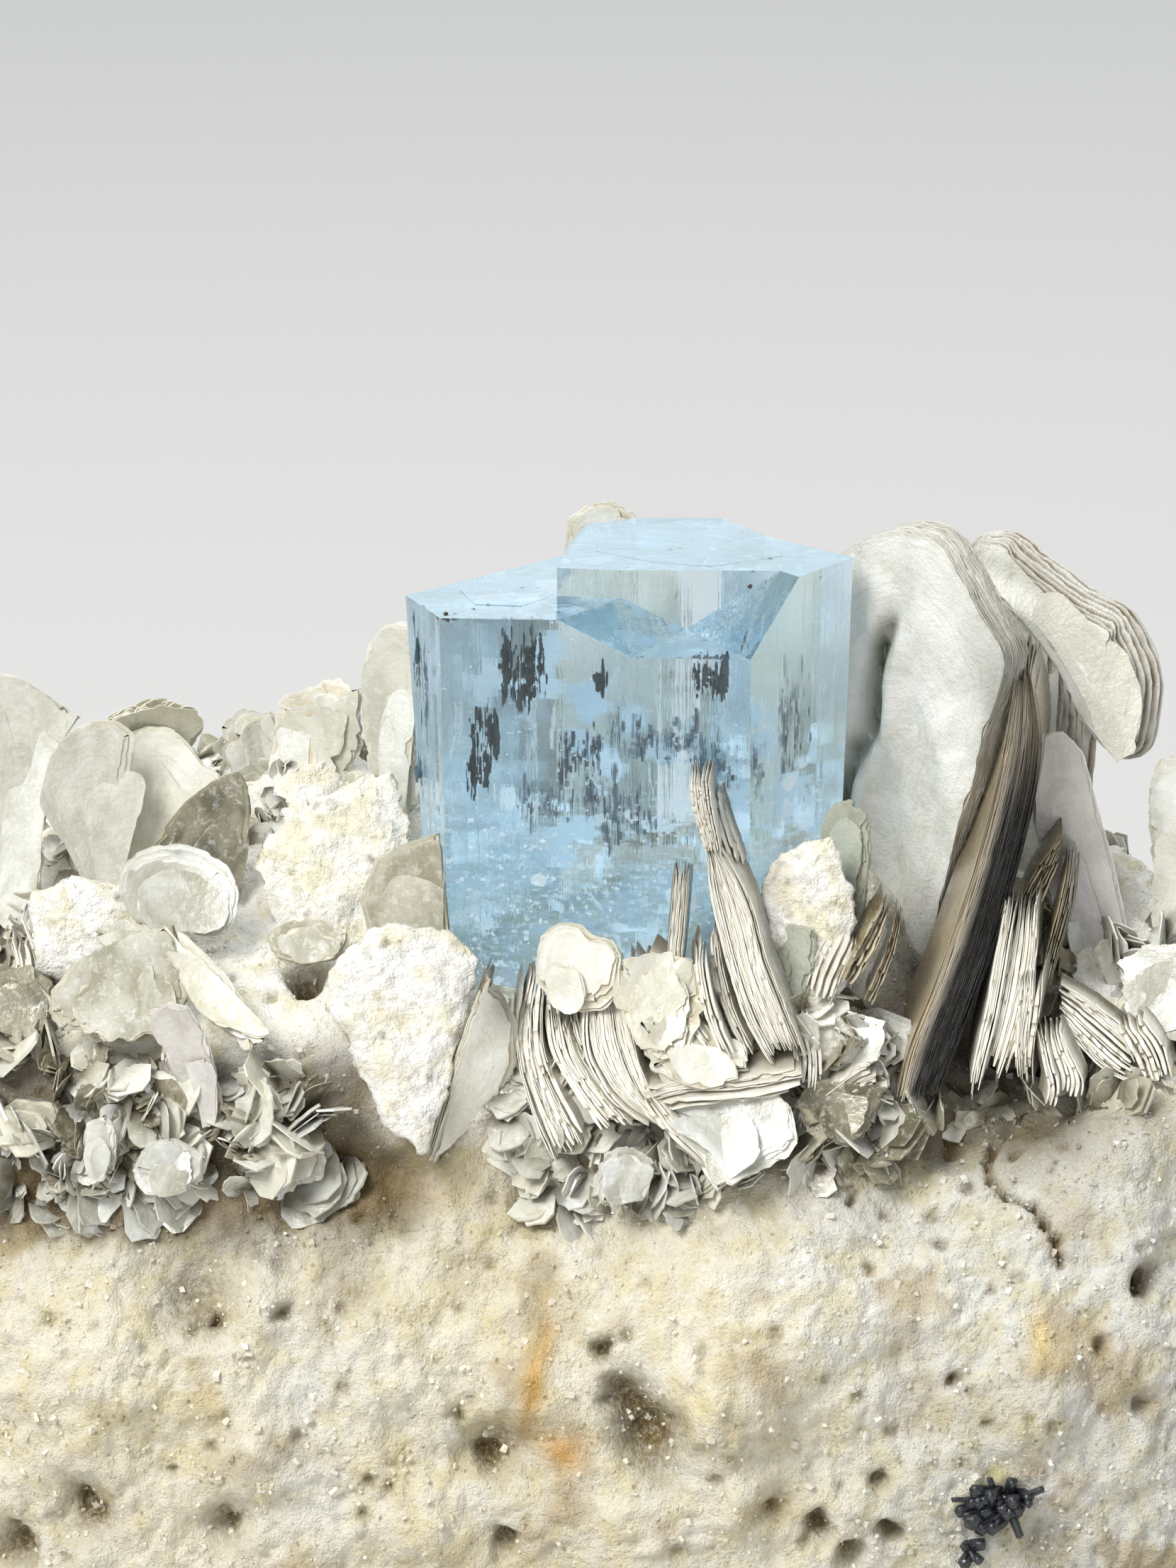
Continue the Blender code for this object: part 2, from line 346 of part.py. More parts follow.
def keep_largest(ob):
    """Drop loose crumbs that a cut leaves beside the main body."""
    bm = bmesh.new()
    bm.from_mesh(ob.data)
    bmesh.ops.remove_doubles(bm, verts=bm.verts, dist=2e-7)
    bmesh.ops.dissolve_degenerate(bm, edges=bm.edges, dist=1e-6)
    seen, groups = set(), []
    for f in bm.faces:
        if f in seen:
            continue
        stack, grp = [f], []
        seen.add(f)
        while stack:
            g = stack.pop()
            grp.append(g)
            for e in g.edges:
                for h in e.link_faces:
                    if h not in seen:
                        seen.add(h)
                        stack.append(h)
        groups.append(grp)
    if len(groups) > 1:
        def volume(grp):
            v = 0.0
            for f in grp:
                c = f.verts[0].co
                for i in range(1, len(f.verts) - 1):
                    v += c.dot(f.verts[i].co.cross(f.verts[i + 1].co))
            return abs(v)
        groups.sort(key=volume, reverse=True)
        drop = [f for g in groups[1:] for f in g]
        bmesh.ops.delete(bm, geom=drop, context='FACES')
        loose = [v for v in bm.verts if not v.link_faces]
        bmesh.ops.delete(bm, geom=loose, context='VERTS')
    bmesh.ops.triangulate(bm, faces=[f for f in bm.faces if len(f.verts) > 3])
    bm.to_mesh(ob.data)
    bm.free()


def catmull(p, t):
    """Smooth value at parameter t (0..len-1) through the list p of vectors."""
    n = len(p) - 1
    i = min(max(int(math.floor(t)), 0), n - 1)
    f = t - i
    p1, p2 = p[i], p[i + 1]
    p0 = p[i - 1] if i > 0 else p1 * 2 - p2
    p3 = p[i + 2] if i + 2 <= n else p2 * 2 - p1
    return 0.5 * ((2 * p1) + (p2 - p0) * f + (2 * p0 - 5 * p1 + 4 * p2 - p3) * f * f
                  + (3 * p1 - p0 - 3 * p2 + p3) * f ** 3)


# --------------------------------------------------------------------- rock
def rock_section(x):
    xs = [s[0] for s in ROCK_SECTIONS]
    k = 0
    while k < len(xs) - 2 and x > xs[k + 1]:
        k += 1
    t = k + (x - xs[k]) / (xs[k + 1] - xs[k])
    cols = []
    for j in range(len(ROCK_SECTIONS[0][1])):
        col = [Vector(s[1][j]) for s in ROCK_SECTIONS]
        cols.append(catmull(col, t))
    return cols


def rock_relief(p, n):
    """Outward relief of the rock at point p (mm), n its outward direction."""
    d = 0.9 * noise.noise(p * 0.13) + 0.45 * noise.noise(p * 0.33 + Vector((7, 3, 1)))
    front = max(0.0, min(1.0, -n.y * 1.6))
    for (x, z, r, depth) in ROCK_PITS:
        q = ((p.x - x) ** 2 + (p.z - z) ** 2) / (r * r)
        if q < 4:
            d -= front * depth * math.exp(-q * 1.2)
    return d * min(1.0, p.z / 2.5)


def rock_mesh(offset=0.0):
    xs = []
    for i in range(ROCK_DIV_X + 1):
        u = -1 + 2 * i / ROCK_DIV_X
        xs.append(ROCK_HALF_LENGTH * math.copysign(abs(u) ** 0.92, u))
    grid = []
    m = len(ROCK_SECTIONS[0][1]) - 1
    for x in xs:
        sec = rock_section(x)
        row = []
        for j in range(ROCK_DIV_LOOP + 1):
            q = catmull(sec, m * j / ROCK_DIV_LOOP)
            row.append(Vector((x, q.x, max(q.y, 0.0) if 0 < j < ROCK_DIV_LOOP else 0.0)))
        grid.append(row)
    ni, nj = len(grid), len(grid[0])
    out = [[None] * nj for _ in range(ni)]
    for i in range(ni):
        for j in range(nj):
            a = grid[min(i + 1, ni - 1)][j] - grid[max(i - 1, 0)][j]
            b = grid[i][min(j + 1, nj - 1)] - grid[i][max(j - 1, 0)]
            n = a.cross(b)
            if n.length > 0:
                n.normalize()
            p = grid[i][j].copy()
            h = p + n * (rock_relief(p, n) + offset)
            if j in (0, nj - 1):
                h = p + Vector((0, -offset if j == 0 else offset, 0))
                h.z = 0.0
            if i in (0, ni - 1):
                h.x = p.x + (-offset if i == 0 else offset)
            h.z = max(h.z, 0.0)
            out[i][j] = h
    bm = bmesh.new()
    vs = [[bm.verts.new(p) for p in row] for row in out]
    base = []
    for i in range(ni):
        a, b = vs[i][nj - 1], vs[i][0]
        row = [a]
        for k in range(1, ROCK_DIV_BASE):
            row.append(bm.verts.new(a.co.lerp(b.co, k / ROCK_DIV_BASE)))
        row.append(b)
        base.append(row)
    for i in range(ni - 1):
        for j in range(nj - 1):
            bm.faces.new((vs[i][j], vs[i + 1][j], vs[i + 1][j + 1], vs[i][j + 1]))
        for k in range(ROCK_DIV_BASE):
            bm.faces.new((base[i][k], base[i + 1][k], base[i + 1][k + 1], base[i][k + 1]))
    for i in (0, ni - 1):        # rounded broken ends: two shrinking rings, then a fan
        side = -1 if i == 0 else 1
        loop = vs[i] + base[i][1:-1]
        c = sum((v.co for v in loop), Vector()) / len(loop)
        for shrink, swell in END_RINGS:
            ring = []
            for v in loop:
                q = v.co.lerp(Vector((v.co.x, c.y, c.z)), shrink)
                q.x += side * (swell + 0.5 * noise.noise(q * 0.3))
                ring.append(bm.verts.new(q))
            for k in range(len(loop)):
                m2 = (k + 1) % len(loop)
                bm.faces.new((loop[k], loop[m2], ring[m2], ring[k]))
            loop = ring
        cv = bm.verts.new(sum((v.co for v in loop), Vector()) / len(loop) + Vector((side * 0.3, 0, 0)))
        for k in range(len(loop)):
            bm.faces.new((loop[k], loop[(k + 1) % len(loop)], cv))
    bmesh.ops.triangulate(bm, faces=bm.faces)
    return bm


# ------------------------------------------------------------------ crystal
def offset_polygon(pts, d):
    """Move each side of a convex counter-clockwise polygon outward by d."""
    n = len(pts)
    out = []
    for i in range(n):
        p0, p1, p2 = Vector(pts[i - 1]), Vector(pts[i]), Vector(pts[(i + 1) % n])
        e1, e2 = (p1 - p0).normalized(), (p2 - p1).normalized()
        n1, n2 = Vector((e1.y, -e1.x)), Vector((e2.y, -e2.x))
        k = d / max(0.2, 1 + n1.dot(n2))
        out.append(p1 + (n1 + n2) * k)
    return out


def crystal_prism(top_z, root_z, plan_offset=0.0):
    top = offset_polygon(PRISM, plan_offset)
    root = offset_polygon([(p[0] + s[0], p[1] + s[1]) for p, s in zip(PRISM, PRISM_ROOT_SHIFT)],
                          plan_offset)
    bm = bmesh.new()
    a = [bm.verts.new((p.x, p.y, root_z)) for p in root]
    b = [bm.verts.new((p.x, p.y, top_z)) for p in top]
    n = len(a)
    bm.faces.new(list(reversed(a)))
    bm.faces.new(b)
    for i in range(n):
        bm.faces.new((a[i], a[(i + 1) % n], b[(i + 1) % n], b[i]))
    return bm


def slice_off(bm, point, normal):
    """Cut away what lies on the normal's side of a plane and close the cut."""
    g = bmesh.ops.bisect_plane(bm, geom=bm.verts[:] + bm.edges[:] + bm.faces[:],
                               plane_co=Vector(point), plane_no=Vector(normal),
                               clear_outer=True)
    edges = [e for e in g["geom_cut"] if isinstance(e, bmesh.types.BMEdge)]
    bmesh.ops.edgeloop_fill(bm, edges=edges)


def plane_normal(a, b, c):
    n = (Vector(b) - Vector(a)).cross(Vector(c) - Vector(a)).normalized()
    return n if n.z > 0 else -n


def build_crystal():
    """Terrace, left level, right ramp and raised level, grown into one crystal."""
    def piece(name, planes, mat, coll):
        bm = crystal_prism(LEVEL_HIGH_Z, CRYSTAL_ROOT_Z)
        for co, no in planes:
            slice_off(bm, co, no)
        return new_object(name, bm, mat, coll)

    low = ((0, 0, LEVEL_LOW_Z), (0, 0, 1))
    ob = piece("aquamarine", [low, (NOTCH, plane_normal(NOTCH, FRONT_EDGE_RIGHT, FRONT_EDGE_MID))],
               MAT_BERYL, PARTS)
    left = piece("left_level", [low, (NOTCH, plane_normal(NOTCH, LEFT_RAMP_TOP, (1.6, -7.7, 48.6)))],
                 None, CUTTERS)
    right = piece("right_ramp", [(NOTCH, plane_normal(NOTCH, FRONT_EDGE_RIGHT, RIGHT_RAMP_TOP))],
                  None, CUTTERS)
    raised = piece("raised_level", [], None, CUTTERS)
    plan = bmesh.new()
    a = [plan.verts.new((x, y, 40.0)) for x, y in RAISED_PLAN]
    b = [plan.verts.new((x, y, 60.0)) for x, y in RAISED_PLAN]
    n = len(a)
    plan.faces.new(list(reversed(a)))
    plan.faces.new(b)
    for i in range(n):
        plan.faces.new((a[i], a[(i + 1) % n], b[(i + 1) % n], b[i]))
    cutter = new_object("raised_plan", plan, None, CUTTERS)
    boolean(raised, cutter, 'INTERSECT')
    bake(raised)
    for other in (left, right, raised):
        boolean(ob, other, 'UNION')
        bake(ob)
    keep_largest(ob)
    return ob


# -------------------------------------------------------------------- books
def book_shell(c, outline, t, az, lean, kx, kz, grow=0.0):
    """A bent mica plate: a disc drawn out to the plate's outline, to be solidified."""
    n = len(outline)
    bm = bmesh.new()
    bmesh.ops.create_circle(bm, cap_ends=True, cap_tris=True, segments=n, radius=1.0)
    rim = sorted((v for v in bm.verts if v.co.length > 0.5),
                 key=lambda v: math.atan2(v.co.y, v.co.x))
    area = sum(outline[i - 1][0] * outline[i][1] - outline[i][0] * outline[i - 1][1]
               for i in range(n))
    pts = list(outline) if area > 0 else list(reversed(outline))
    for v, (x, y) in zip(rim, pts):
        d = math.hypot(x, y)
        v.co = Vector((x, y, 0)) * ((d + grow) / d)
    spokes = [e for e in bm.edges if any(v.co.length < 1e-6 for v in e.verts)]
    bmesh.ops.subdivide_edges(bm, edges=spokes, cuts=1, use_grid_fill=False)
    bmesh.ops.triangulate(bm, faces=bm.faces)
    for v in bm.verts:
        v.co.z = kx * v.co.x ** 2 + kz * v.co.y ** 2
    # the plate lies in local XY; stand it up so that it faces -Y
    m = (Matrix.Translation(Vector(c)) @ Matrix.Rotation(math.radians(az), 4, 'Z')
         @ Matrix.Rotation(math.radians(-lean), 4, 'X')
         @ Matrix.Rotation(math.radians(90), 4, 'X'))
    bm.transform(m)
    bmesh.ops.recalc_face_normals(bm, faces=bm.faces)
    return bm, t + 2 * grow


def book_object(name, spec, mat, collection, grow=0.0):
    bm, t = book_shell(*spec, grow=grow)
    me = bpy.data.meshes.new(name)
    bm.to_mesh(me)
    bm.free()
    me.transform(Matrix.Scale(MM, 4))
    if mat is not None:
        me.materials.append(mat)
    ob = bpy.data.objects.new(name, me)
    collection.objects.link(ob)
    if collection is CUTTERS:
        ob.hide_render = True
        ob.display_type = 'WIRE'
    s = ob.modifiers.new("thickness", 'SOLIDIFY')
    s.thickness = t * MM
    s.offset = 0.0
    bake(ob)
    return ob


def bounds(ob):
    xs = [v.co for v in ob.data.vertices]
    return [(min(v[i] for v in xs), max(v[i] for v in xs)) for i in range(3)]


def near(a, b):
    return all(a[i][0] <= b[i][1] and b[i][0] <= a[i][1] for i in range(3))


# ------------------------------------------------------------------- schorl
def needle(p0, p1, r, name, mat, collection, grow=0.0):
    a, b = Vector(p0), Vector(p1)
    d = b - a
    bm = bmesh.new()
    bmesh.ops.create_cone(bm, cap_ends=True, segments=9, radius1=r + grow,
                          radius2=r * 0.82 + grow, depth=d.length + 2 * grow)
    q = d.to_track_quat('Z', 'Y').to_matrix().to_4x4()
    bm.transform(Matrix.Translation((a + b) / 2) @ q)
    return new_object(name, bm, mat, collection)


# --------------------------------------------------------------------- build
root = bpy.data.objects.new("specimen", None)
PARTS.objects.link(root)
root.location = (-ORIGIN[0] * MM, -ORIGIN[1] * MM, -ORIGIN[2] * MM)

rock_keepout = new_object("rock_keepout", rock_mesh(GAP), None, CUTTERS)

crystal = build_crystal()
crystal_keepout = new_object("crystal_keepout",
                             crystal_prism(LEVEL_HIGH_Z + GAP, CRYSTAL_ROOT_Z - GAP, GAP),
                             None, CUTTERS)

rock = new_object("matrix", rock_mesh(), MAT_ROCK, PARTS)
boolean(rock, crystal_keepout, 'DIFFERENCE')
bake(rock)
keep_largest(rock)

finished = [crystal, rock]
keepouts = [(crystal_keepout, bounds(crystal_keepout))]

for name, plates in BOOKS:
    ob = book_object(name, plates[0], MAT_MICA, PARTS)
    for k, spec in enumerate(plates[1:]):
        other = book_object(name + "_leaf%d" % k, spec, None, CUTTERS)
        boolean(ob, other, 'UNION')
        bake(ob)
    bb = bounds(ob)
    for ko, kb in keepouts:
        if near(bb, kb):
            boolean(ob, ko, 'DIFFERENCE')
            bake(ob)
    boolean(ob, rock_keepout, 'DIFFERENCE')
    bake(ob)
    keep_largest(ob)
    for k, spec in enumerate(plates):
        ko = book_object("%s_keepout%d" % (name, k), spec, None, CUTTERS, grow=GAP)
        keepouts.append((ko, bounds(ko)))
    finished.append(ob)

for name, needles in SCHORL:
    ob = needle(*needles[0], name, MAT_SCHORL, PARTS)
    for k, (p0, p1, r) in enumerate(needles[1:]):
        other = needle(p0, p1, r, name + "_needle%d" % k, None, CUTTERS)
        boolean(ob, other, 'UNION')
        bake(ob)
    boolean(ob, rock_keepout, 'DIFFERENCE')
    bake(ob)
    keep_largest(ob)
    finished.append(ob)

for ob in finished:
    ob.parent = root
for ob in CUTTERS.objects:
    ob.parent = root
bpy.context.view_layer.update()
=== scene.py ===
import bpy
import bmesh
import math
import numpy as np
from mathutils import Vector, Matrix, noise
from mathutils.bvhtree import BVHTree


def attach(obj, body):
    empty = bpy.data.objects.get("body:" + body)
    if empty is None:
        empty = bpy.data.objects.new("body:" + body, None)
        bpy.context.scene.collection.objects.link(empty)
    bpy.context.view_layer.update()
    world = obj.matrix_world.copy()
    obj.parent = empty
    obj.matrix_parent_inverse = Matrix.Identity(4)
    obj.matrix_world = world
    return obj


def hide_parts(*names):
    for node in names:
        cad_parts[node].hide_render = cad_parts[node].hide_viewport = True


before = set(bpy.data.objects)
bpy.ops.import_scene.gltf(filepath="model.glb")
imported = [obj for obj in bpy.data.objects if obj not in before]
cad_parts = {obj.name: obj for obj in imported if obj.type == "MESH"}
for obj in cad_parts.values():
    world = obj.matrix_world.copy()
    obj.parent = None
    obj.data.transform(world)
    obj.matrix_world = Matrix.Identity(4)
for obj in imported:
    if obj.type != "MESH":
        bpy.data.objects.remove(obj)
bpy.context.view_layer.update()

# Design numbers below are millimetres: +Z up, the crystal's broad face towards
# -Y.  They become metres in the frame's own coordinates in new_piece().
MM = 0.001
ORIGIN = np.array((0.1, 0.33, 0.0))
BODY = "root"

# ------------------------------------------------------------------- camera
EL = math.radians(16.0)
ST, CT = math.sin(EL), math.cos(EL)
VIEW_DIST = 300.0                      # mm from the target
PX_MM = 0.0348                         # mm per photo pixel at the target
TARGET = np.array((0.0, 0.0, 40.0))
EYE = TARGET + np.array((0.0, -VIEW_DIST * CT, VIEW_DIST * ST))
FOCAL = VIEW_DIST / PX_MM              # in photo pixels


def ray(u, v):
    """Direction from the eye through the photo pixel (u, v)."""
    a, b = u - 829.5, 1106.0 - v
    return np.array((a, FOCAL * CT + b * ST, -FOCAL * ST + b * CT))


def at(u, v, y):
    """Design point seen at pixel (u, v) where the depth is y."""
    d = ray(u, v)
    return EYE + d * ((y - EYE[1]) / d[1])


cam_data = bpy.data.cameras.new("view")
cam = bpy.data.objects.new("view", cam_data)
bpy.context.scene.collection.objects.link(cam)
cam_data.sensor_fit = 'VERTICAL'
cam_data.sensor_height = 36.0
cam_data.lens = 36.0 * VIEW_DIST / (2212 * PX_MM)
cam_data.clip_start = 0.01
cam_data.clip_end = 50.0
cam.location = [float(x) for x in (EYE - ORIGIN) * MM]
cam.rotation_euler = (math.radians(90) - EL, 0.0, 0.0)
bpy.context.scene.camera = cam


# -------------------------------------------------------------------- noise
def _hash(ix, iy, iz, seed):
    n = (ix * 374761393 + iy * 668265263 + iz * 1274126177 + seed * 974634777) & 0xffffffff
    n = ((n ^ (n >> 13)) * 1103515245) & 0xffffffff
    n = ((n ^ (n >> 15)) * 2246822519) & 0xffffffff
    return n ^ (n >> 16)


def pn(P, f=1.0, seed=0):
    """Smooth gradient noise, about -1..1, at the rows of P times f."""
    P = np.asarray(P, float) * f
    I = np.floor(P).astype(np.int64)
    t = P - I
    w = t * t * t * (t * (t * 6 - 15) + 10)
    out = np.zeros(len(P))
    for dx in (0, 1):
        for dy in (0, 1):
            for dz in (0, 1):
                h = _hash(I[:, 0] + dx, I[:, 1] + dy, I[:, 2] + dz, seed)
                gx = (h & 1023) / 511.5 - 1
                gy = ((h >> 10) & 1023) / 511.5 - 1
                gz = ((h >> 20) & 1023) / 511.5 - 1
                g = gx * (t[:, 0] - dx) + gy * (t[:, 1] - dy) + gz * (t[:, 2] - dz)
                wx = w[:, 0] if dx else 1 - w[:, 0]
                wy = w[:, 1] if dy else 1 - w[:, 1]
                wz = w[:, 2] if dz else 1 - w[:, 2]
                out += g * wx * wy * wz
    return out * 1.25


def fbm(P, f=1.0, octaves=4, seed=0, gain=0.5):
    out, a = np.zeros(len(P)), 1.0
    for k in range(octaves):
        out += a * pn(P, f * 2.03 ** k, seed + 17 * k)
        a *= gain
    return out


def cells(P, f=1.0, seed=0):
    """Distance to the nearest and second nearest of one random point per cell."""
    P = np.asarray(P, float) * f
    I = np.floor(P).astype(np.int64)
    t = P - I
    d1 = np.full(len(P), 9.0)
    d2 = np.full(len(P), 9.0)
    tone = np.zeros(len(P))
    for dx in (-1, 0, 1):
        for dy in (-1, 0, 1):
            for dz in (-1, 0, 1):
                h = _hash(I[:, 0] + dx, I[:, 1] + dy, I[:, 2] + dz, seed)
                qx = dx + (h & 1023) / 1023.0 - t[:, 0]
                qy = dy + ((h >> 10) & 1023) / 1023.0 - t[:, 1]
                qz = dz + ((h >> 20) & 1023) / 1023.0 - t[:, 2]
                d = qx * qx + qy * qy + qz * qz
                near = d < d1
                d2 = np.where(near, d1, np.minimum(d2, d))
                tone = np.where(near, (h >> 7 & 255) / 255.0, tone)
                d1 = np.where(near, d, d1)
    return np.sqrt(d1), np.sqrt(d2), tone


def smoothstep(a, b, x):
    t = np.clip((x - a) / (b - a), 0, 1)
    return t * t * (3 - 2 * t)


def lin(r, g, b):
    """Linear colour from 0-255 display values."""
    def f(c):
        c /= 255.0
        return c / 12.92 if c <= 0.04045 else ((c + 0.055) / 1.055) ** 2.4
    return np.array((f(r), f(g), f(b)))


# ------------------------------------------------------------ mesh gathering
class Soup:
    """Points, faces and point attributes of one piece, gathered part by part."""

    def __init__(self):
        self.V, self.F, self.A, self.n = [], [], {}, 0

    def add(self, V, F, **attrs):
        V = np.asarray(V, float)
        self.V.append(V)
        n = self.n
        self.F.extend([tuple(int(i) + n for i in f) for f in F])
        for k, a in attrs.items():
            self.A.setdefault(k, []).append(np.asarray(a, float))
        self.n += len(V)

    def tris(self):
        return sum(len(f) - 2 for f in self.F)


COUNT = {}


def new_piece(name, soup, mat, nodes=(), smooth=True, crease=0.0):
    me = bpy.data.meshes.new(name)
    V = (np.concatenate(soup.V) - ORIGIN) * MM
    me.from_pydata(V.tolist(), [], soup.F)
    for k, parts in soup.A.items():
        a = np.concatenate(parts)
        if a.ndim == 1:
            at_ = me.attributes.new(k, 'FLOAT', 'POINT')
            at_.data.foreach_set("value", a.astype(np.float32))
        elif k == "tint":
            at_ = me.attributes.new(k, 'FLOAT_COLOR', 'POINT')
            c = np.ones((len(a), 4), np.float32)
            c[:, :3] = a
            at_.data.foreach_set("color", c.ravel())
        else:
            at_ = me.attributes.new(k, 'FLOAT_VECTOR', 'POINT')
            at_.data.foreach_set("vector", a.astype(np.float32).ravel())
    me.polygons.foreach_set("use_smooth", [bool(smooth)] * len(me.polygons))
    me.materials.append(mat)
    me.update()
    if smooth and crease:
        me.set_sharp_from_angle(angle=crease)
    ob = bpy.data.objects.new(name, me)
    bpy.context.scene.collection.objects.link(ob)
    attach(ob, BODY)
    if nodes:
        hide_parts(*nodes)
    COUNT[name] = soup.tris()
    return ob


# ---------------------------------------------------------------- materials
def shader(name):
    m = bpy.data.materials.new(name)
    m.use_nodes = True
    nt = m.node_tree
    return m, nt, nt.nodes["Principled BSDF"], nt.nodes["Material Output"]


def node(nt, kind, **props):
    n = nt.nodes.new(kind)
    for k, v in props.items():
        if k.startswith("in_"):
            n.inputs[int(k[3:])].default_value = v
        else:
            setattr(n, k, v)
    return n


def col(c):
    return (float(c[0]), float(c[1]), float(c[2]), 1.0)


def mix_color(nt, fac, a, b, mode='MIX'):
    n = node(nt, 'ShaderNodeMix', data_type='RGBA', blend_type=mode)
    n.clamp_factor = True
    for sock, val in ((n.inputs[0], fac), (n.inputs[6], a), (n.inputs[7], b)):
        if isinstance(val, bpy.types.NodeSocket):
            nt.links.new(val, sock)
        elif isinstance(val, (int, float)):
            sock.default_value = val
        else:
            sock.default_value = col(val)
    return n.outputs[2]


def math_node(nt, op, a, b=None, clamp=False):
    n = node(nt, 'ShaderNodeMath', operation=op, use_clamp=clamp)
    for i, val in enumerate((a, b)):
        if val is None:
            continue
        if isinstance(val, bpy.types.NodeSocket):
            nt.links.new(val, n.inputs[i])
        else:
            n.inputs[i].default_value = val
    return n.outputs[0]


def map_range(nt, val, a, b, c=0.0, d=1.0, smooth=True):
    n = node(nt, 'ShaderNodeMapRange')
    n.interpolation_type = 'SMOOTHSTEP' if smooth else 'LINEAR'
    nt.links.new(val, n.inputs[0])
    for i, x in enumerate((a, b, c, d)):
        n.inputs[i + 1].default_value = x
    return n.outputs[0]


def scaled(nt, vec, sx, sy, sz):
    n = node(nt, 'ShaderNodeVectorMath', operation='MULTIPLY')
    nt.links.new(vec, n.inputs[0])
    n.inputs[1].default_value = (sx, sy, sz)
    return n.outputs[0]


def noise_tex(nt, vec, scale=1.0, detail=3.0, rough=0.55, distort=0.0):
    n = node(nt, 'ShaderNodeTexNoise')
    nt.links.new(vec, n.inputs['Vector'])
    n.inputs['Scale'].default_value = scale
    n.inputs['Detail'].default_value = detail
    n.inputs['Roughness'].default_value = rough
    n.inputs['Distortion'].default_value = distort
    return n.outputs[0]


def object_mm(nt):
    tc = node(nt, 'ShaderNodeTexCoord')
    return scaled(nt, tc.outputs['Object'], 1000, 1000, 1000)


def bump(nt, height, strength, distance, normal=None):
    b = node(nt, 'ShaderNodeBump')
    b.inputs['Strength'].default_value = strength
    b.inputs['Distance'].default_value = distance
    nt.links.new(height, b.inputs['Height'])
    if normal is not None:
        nt.links.new(normal, b.inputs['Normal'])
    return b.outputs[0]


def rock_material():
    m, nt, b, out = shader("albite_rock_sugary")
    mm = object_mm(nt)
    tint = node(nt, 'ShaderNodeAttribute', attribute_name="tint").outputs[0]
    cav = node(nt, 'ShaderNodeAttribute', attribute_name="cav").outputs['Fac']
    big = noise_tex(nt, mm, 0.55, 3, 0.6)
    fine = noise_tex(nt, mm, 3.2, 3, 0.65)
    grit = noise_tex(nt, mm, 9.0, 2, 0.6)
    c = mix_color(nt, map_range(nt, big, 0.42, 0.68), tint,
                  mix_color(nt, 1.0, tint, (0.92, 0.88, 0.72), 'MULTIPLY'))
    c = mix_color(nt, map_range(nt, fine, 0.52, 0.75, 0, 0.5), c,
                  mix_color(nt, 1.0, c, (0.70, 0.65, 0.50), 'MULTIPLY'))
    c = mix_color(nt, map_range(nt, grit, 0.60, 0.76, 0, 0.45), c, lin(246, 242, 234))
    # the hollows (cav) turn brown: partly the rock's own staining, partly painted shade
    c = mix_color(nt, math_node(nt, 'MULTIPLY', cav, map_range(nt, fine, 0.25, 0.6, 0.45, 1.0), True),
                  c, lin(112, 94, 54))
    speck = node(nt, 'ShaderNodeTexVoronoi')
    nt.links.new(mm, speck.inputs['Vector'])
    speck.inputs['Scale'].default_value = 1.05
    spot = math_node(nt, 'MULTIPLY', map_range(nt, speck.outputs['Distance'], 0.16, 0.06),
                     map_range(nt, big, 0.50, 0.62))
    c = mix_color(nt, math_node(nt, 'MULTIPLY', spot, 0.5), c, lin(104, 74, 44))
    # clustered pinholes of the leached albite
    hole = node(nt, 'ShaderNodeTexVoronoi')
    nt.links.new(mm, hole.inputs['Vector'])
    hole.inputs['Scale'].default_value = 2.1
    hsep = node(nt, 'ShaderNodeSeparateColor')
    nt.links.new(hole.outputs['Color'], hsep.inputs[0])
    pin = math_node(nt, 'MULTIPLY', map_range(nt, hole.outputs['Distance'], 0.30, 0.12),
                    map_range(nt, hsep.outputs[1], 0.45, 0.60))
    pin = math_node(nt, 'MULTIPLY', pin, map_range(nt, big, 0.44, 0.60))
    lum = node(nt, 'ShaderNodeRGBToBW')
    nt.links.new(tint, lum.inputs[0])
    pin = math_node(nt, 'MULTIPLY', pin, map_range(nt, lum.outputs[0], 0.82, 0.68))
    c = mix_color(nt, math_node(nt, 'MULTIPLY', pin, 0.55), c, lin(110, 94, 60))
    nt.links.new(c, b.inputs['Base Color'])
    # small cleavage faces in the sugary grains catch the light
    glint = node(nt, 'ShaderNodeTexVoronoi')
    nt.links.new(mm, glint.inputs['Vector'])
    glint.inputs['Scale'].default_value = 4.2
    sep = node(nt, 'ShaderNodeSeparateColor')
    nt.links.new(glint.outputs['Color'], sep.inputs[0])
    r = map_range(nt, sep.outputs[0], 0.90, 0.97, 0.82, 0.16)
    nt.links.new(r, b.inputs['Roughness'])
    b.inputs['Specular IOR Level'].default_value = 0.45
    b.inputs['IOR'].default_value = 1.53
    height = math_node(nt, 'ADD', fine, math_node(nt, 'MULTIPLY', grit, 0.35))
    nt.links.new(bump(nt, height, 0.85, 0.00028), b.inputs['Normal'])
    return m


def grain_material():
    m, nt, b, out = shader("albite_sugar_grains")
    tint = node(nt, 'ShaderNodeAttribute', attribute_name="tint").outputs[0]
    mm = object_mm(nt)
    fine = noise_tex(nt, mm, 5.0, 3, 0.6)
    c = mix_color(nt, map_range(nt, fine, 0.4, 0.75, 0, 0.5), tint,
                  mix_color(nt, 1.0, tint, (0.82, 0.74, 0.60), 'MULTIPLY'))
    nt.links.new(c, b.inputs['Base Color'])
    b.inputs['Roughness'].default_value = 0.34
    b.inputs['IOR'].default_value = 1.53
    nt.links.new(bump(nt, fine, 0.25, 0.00006), b.inputs['Normal'])
    return m


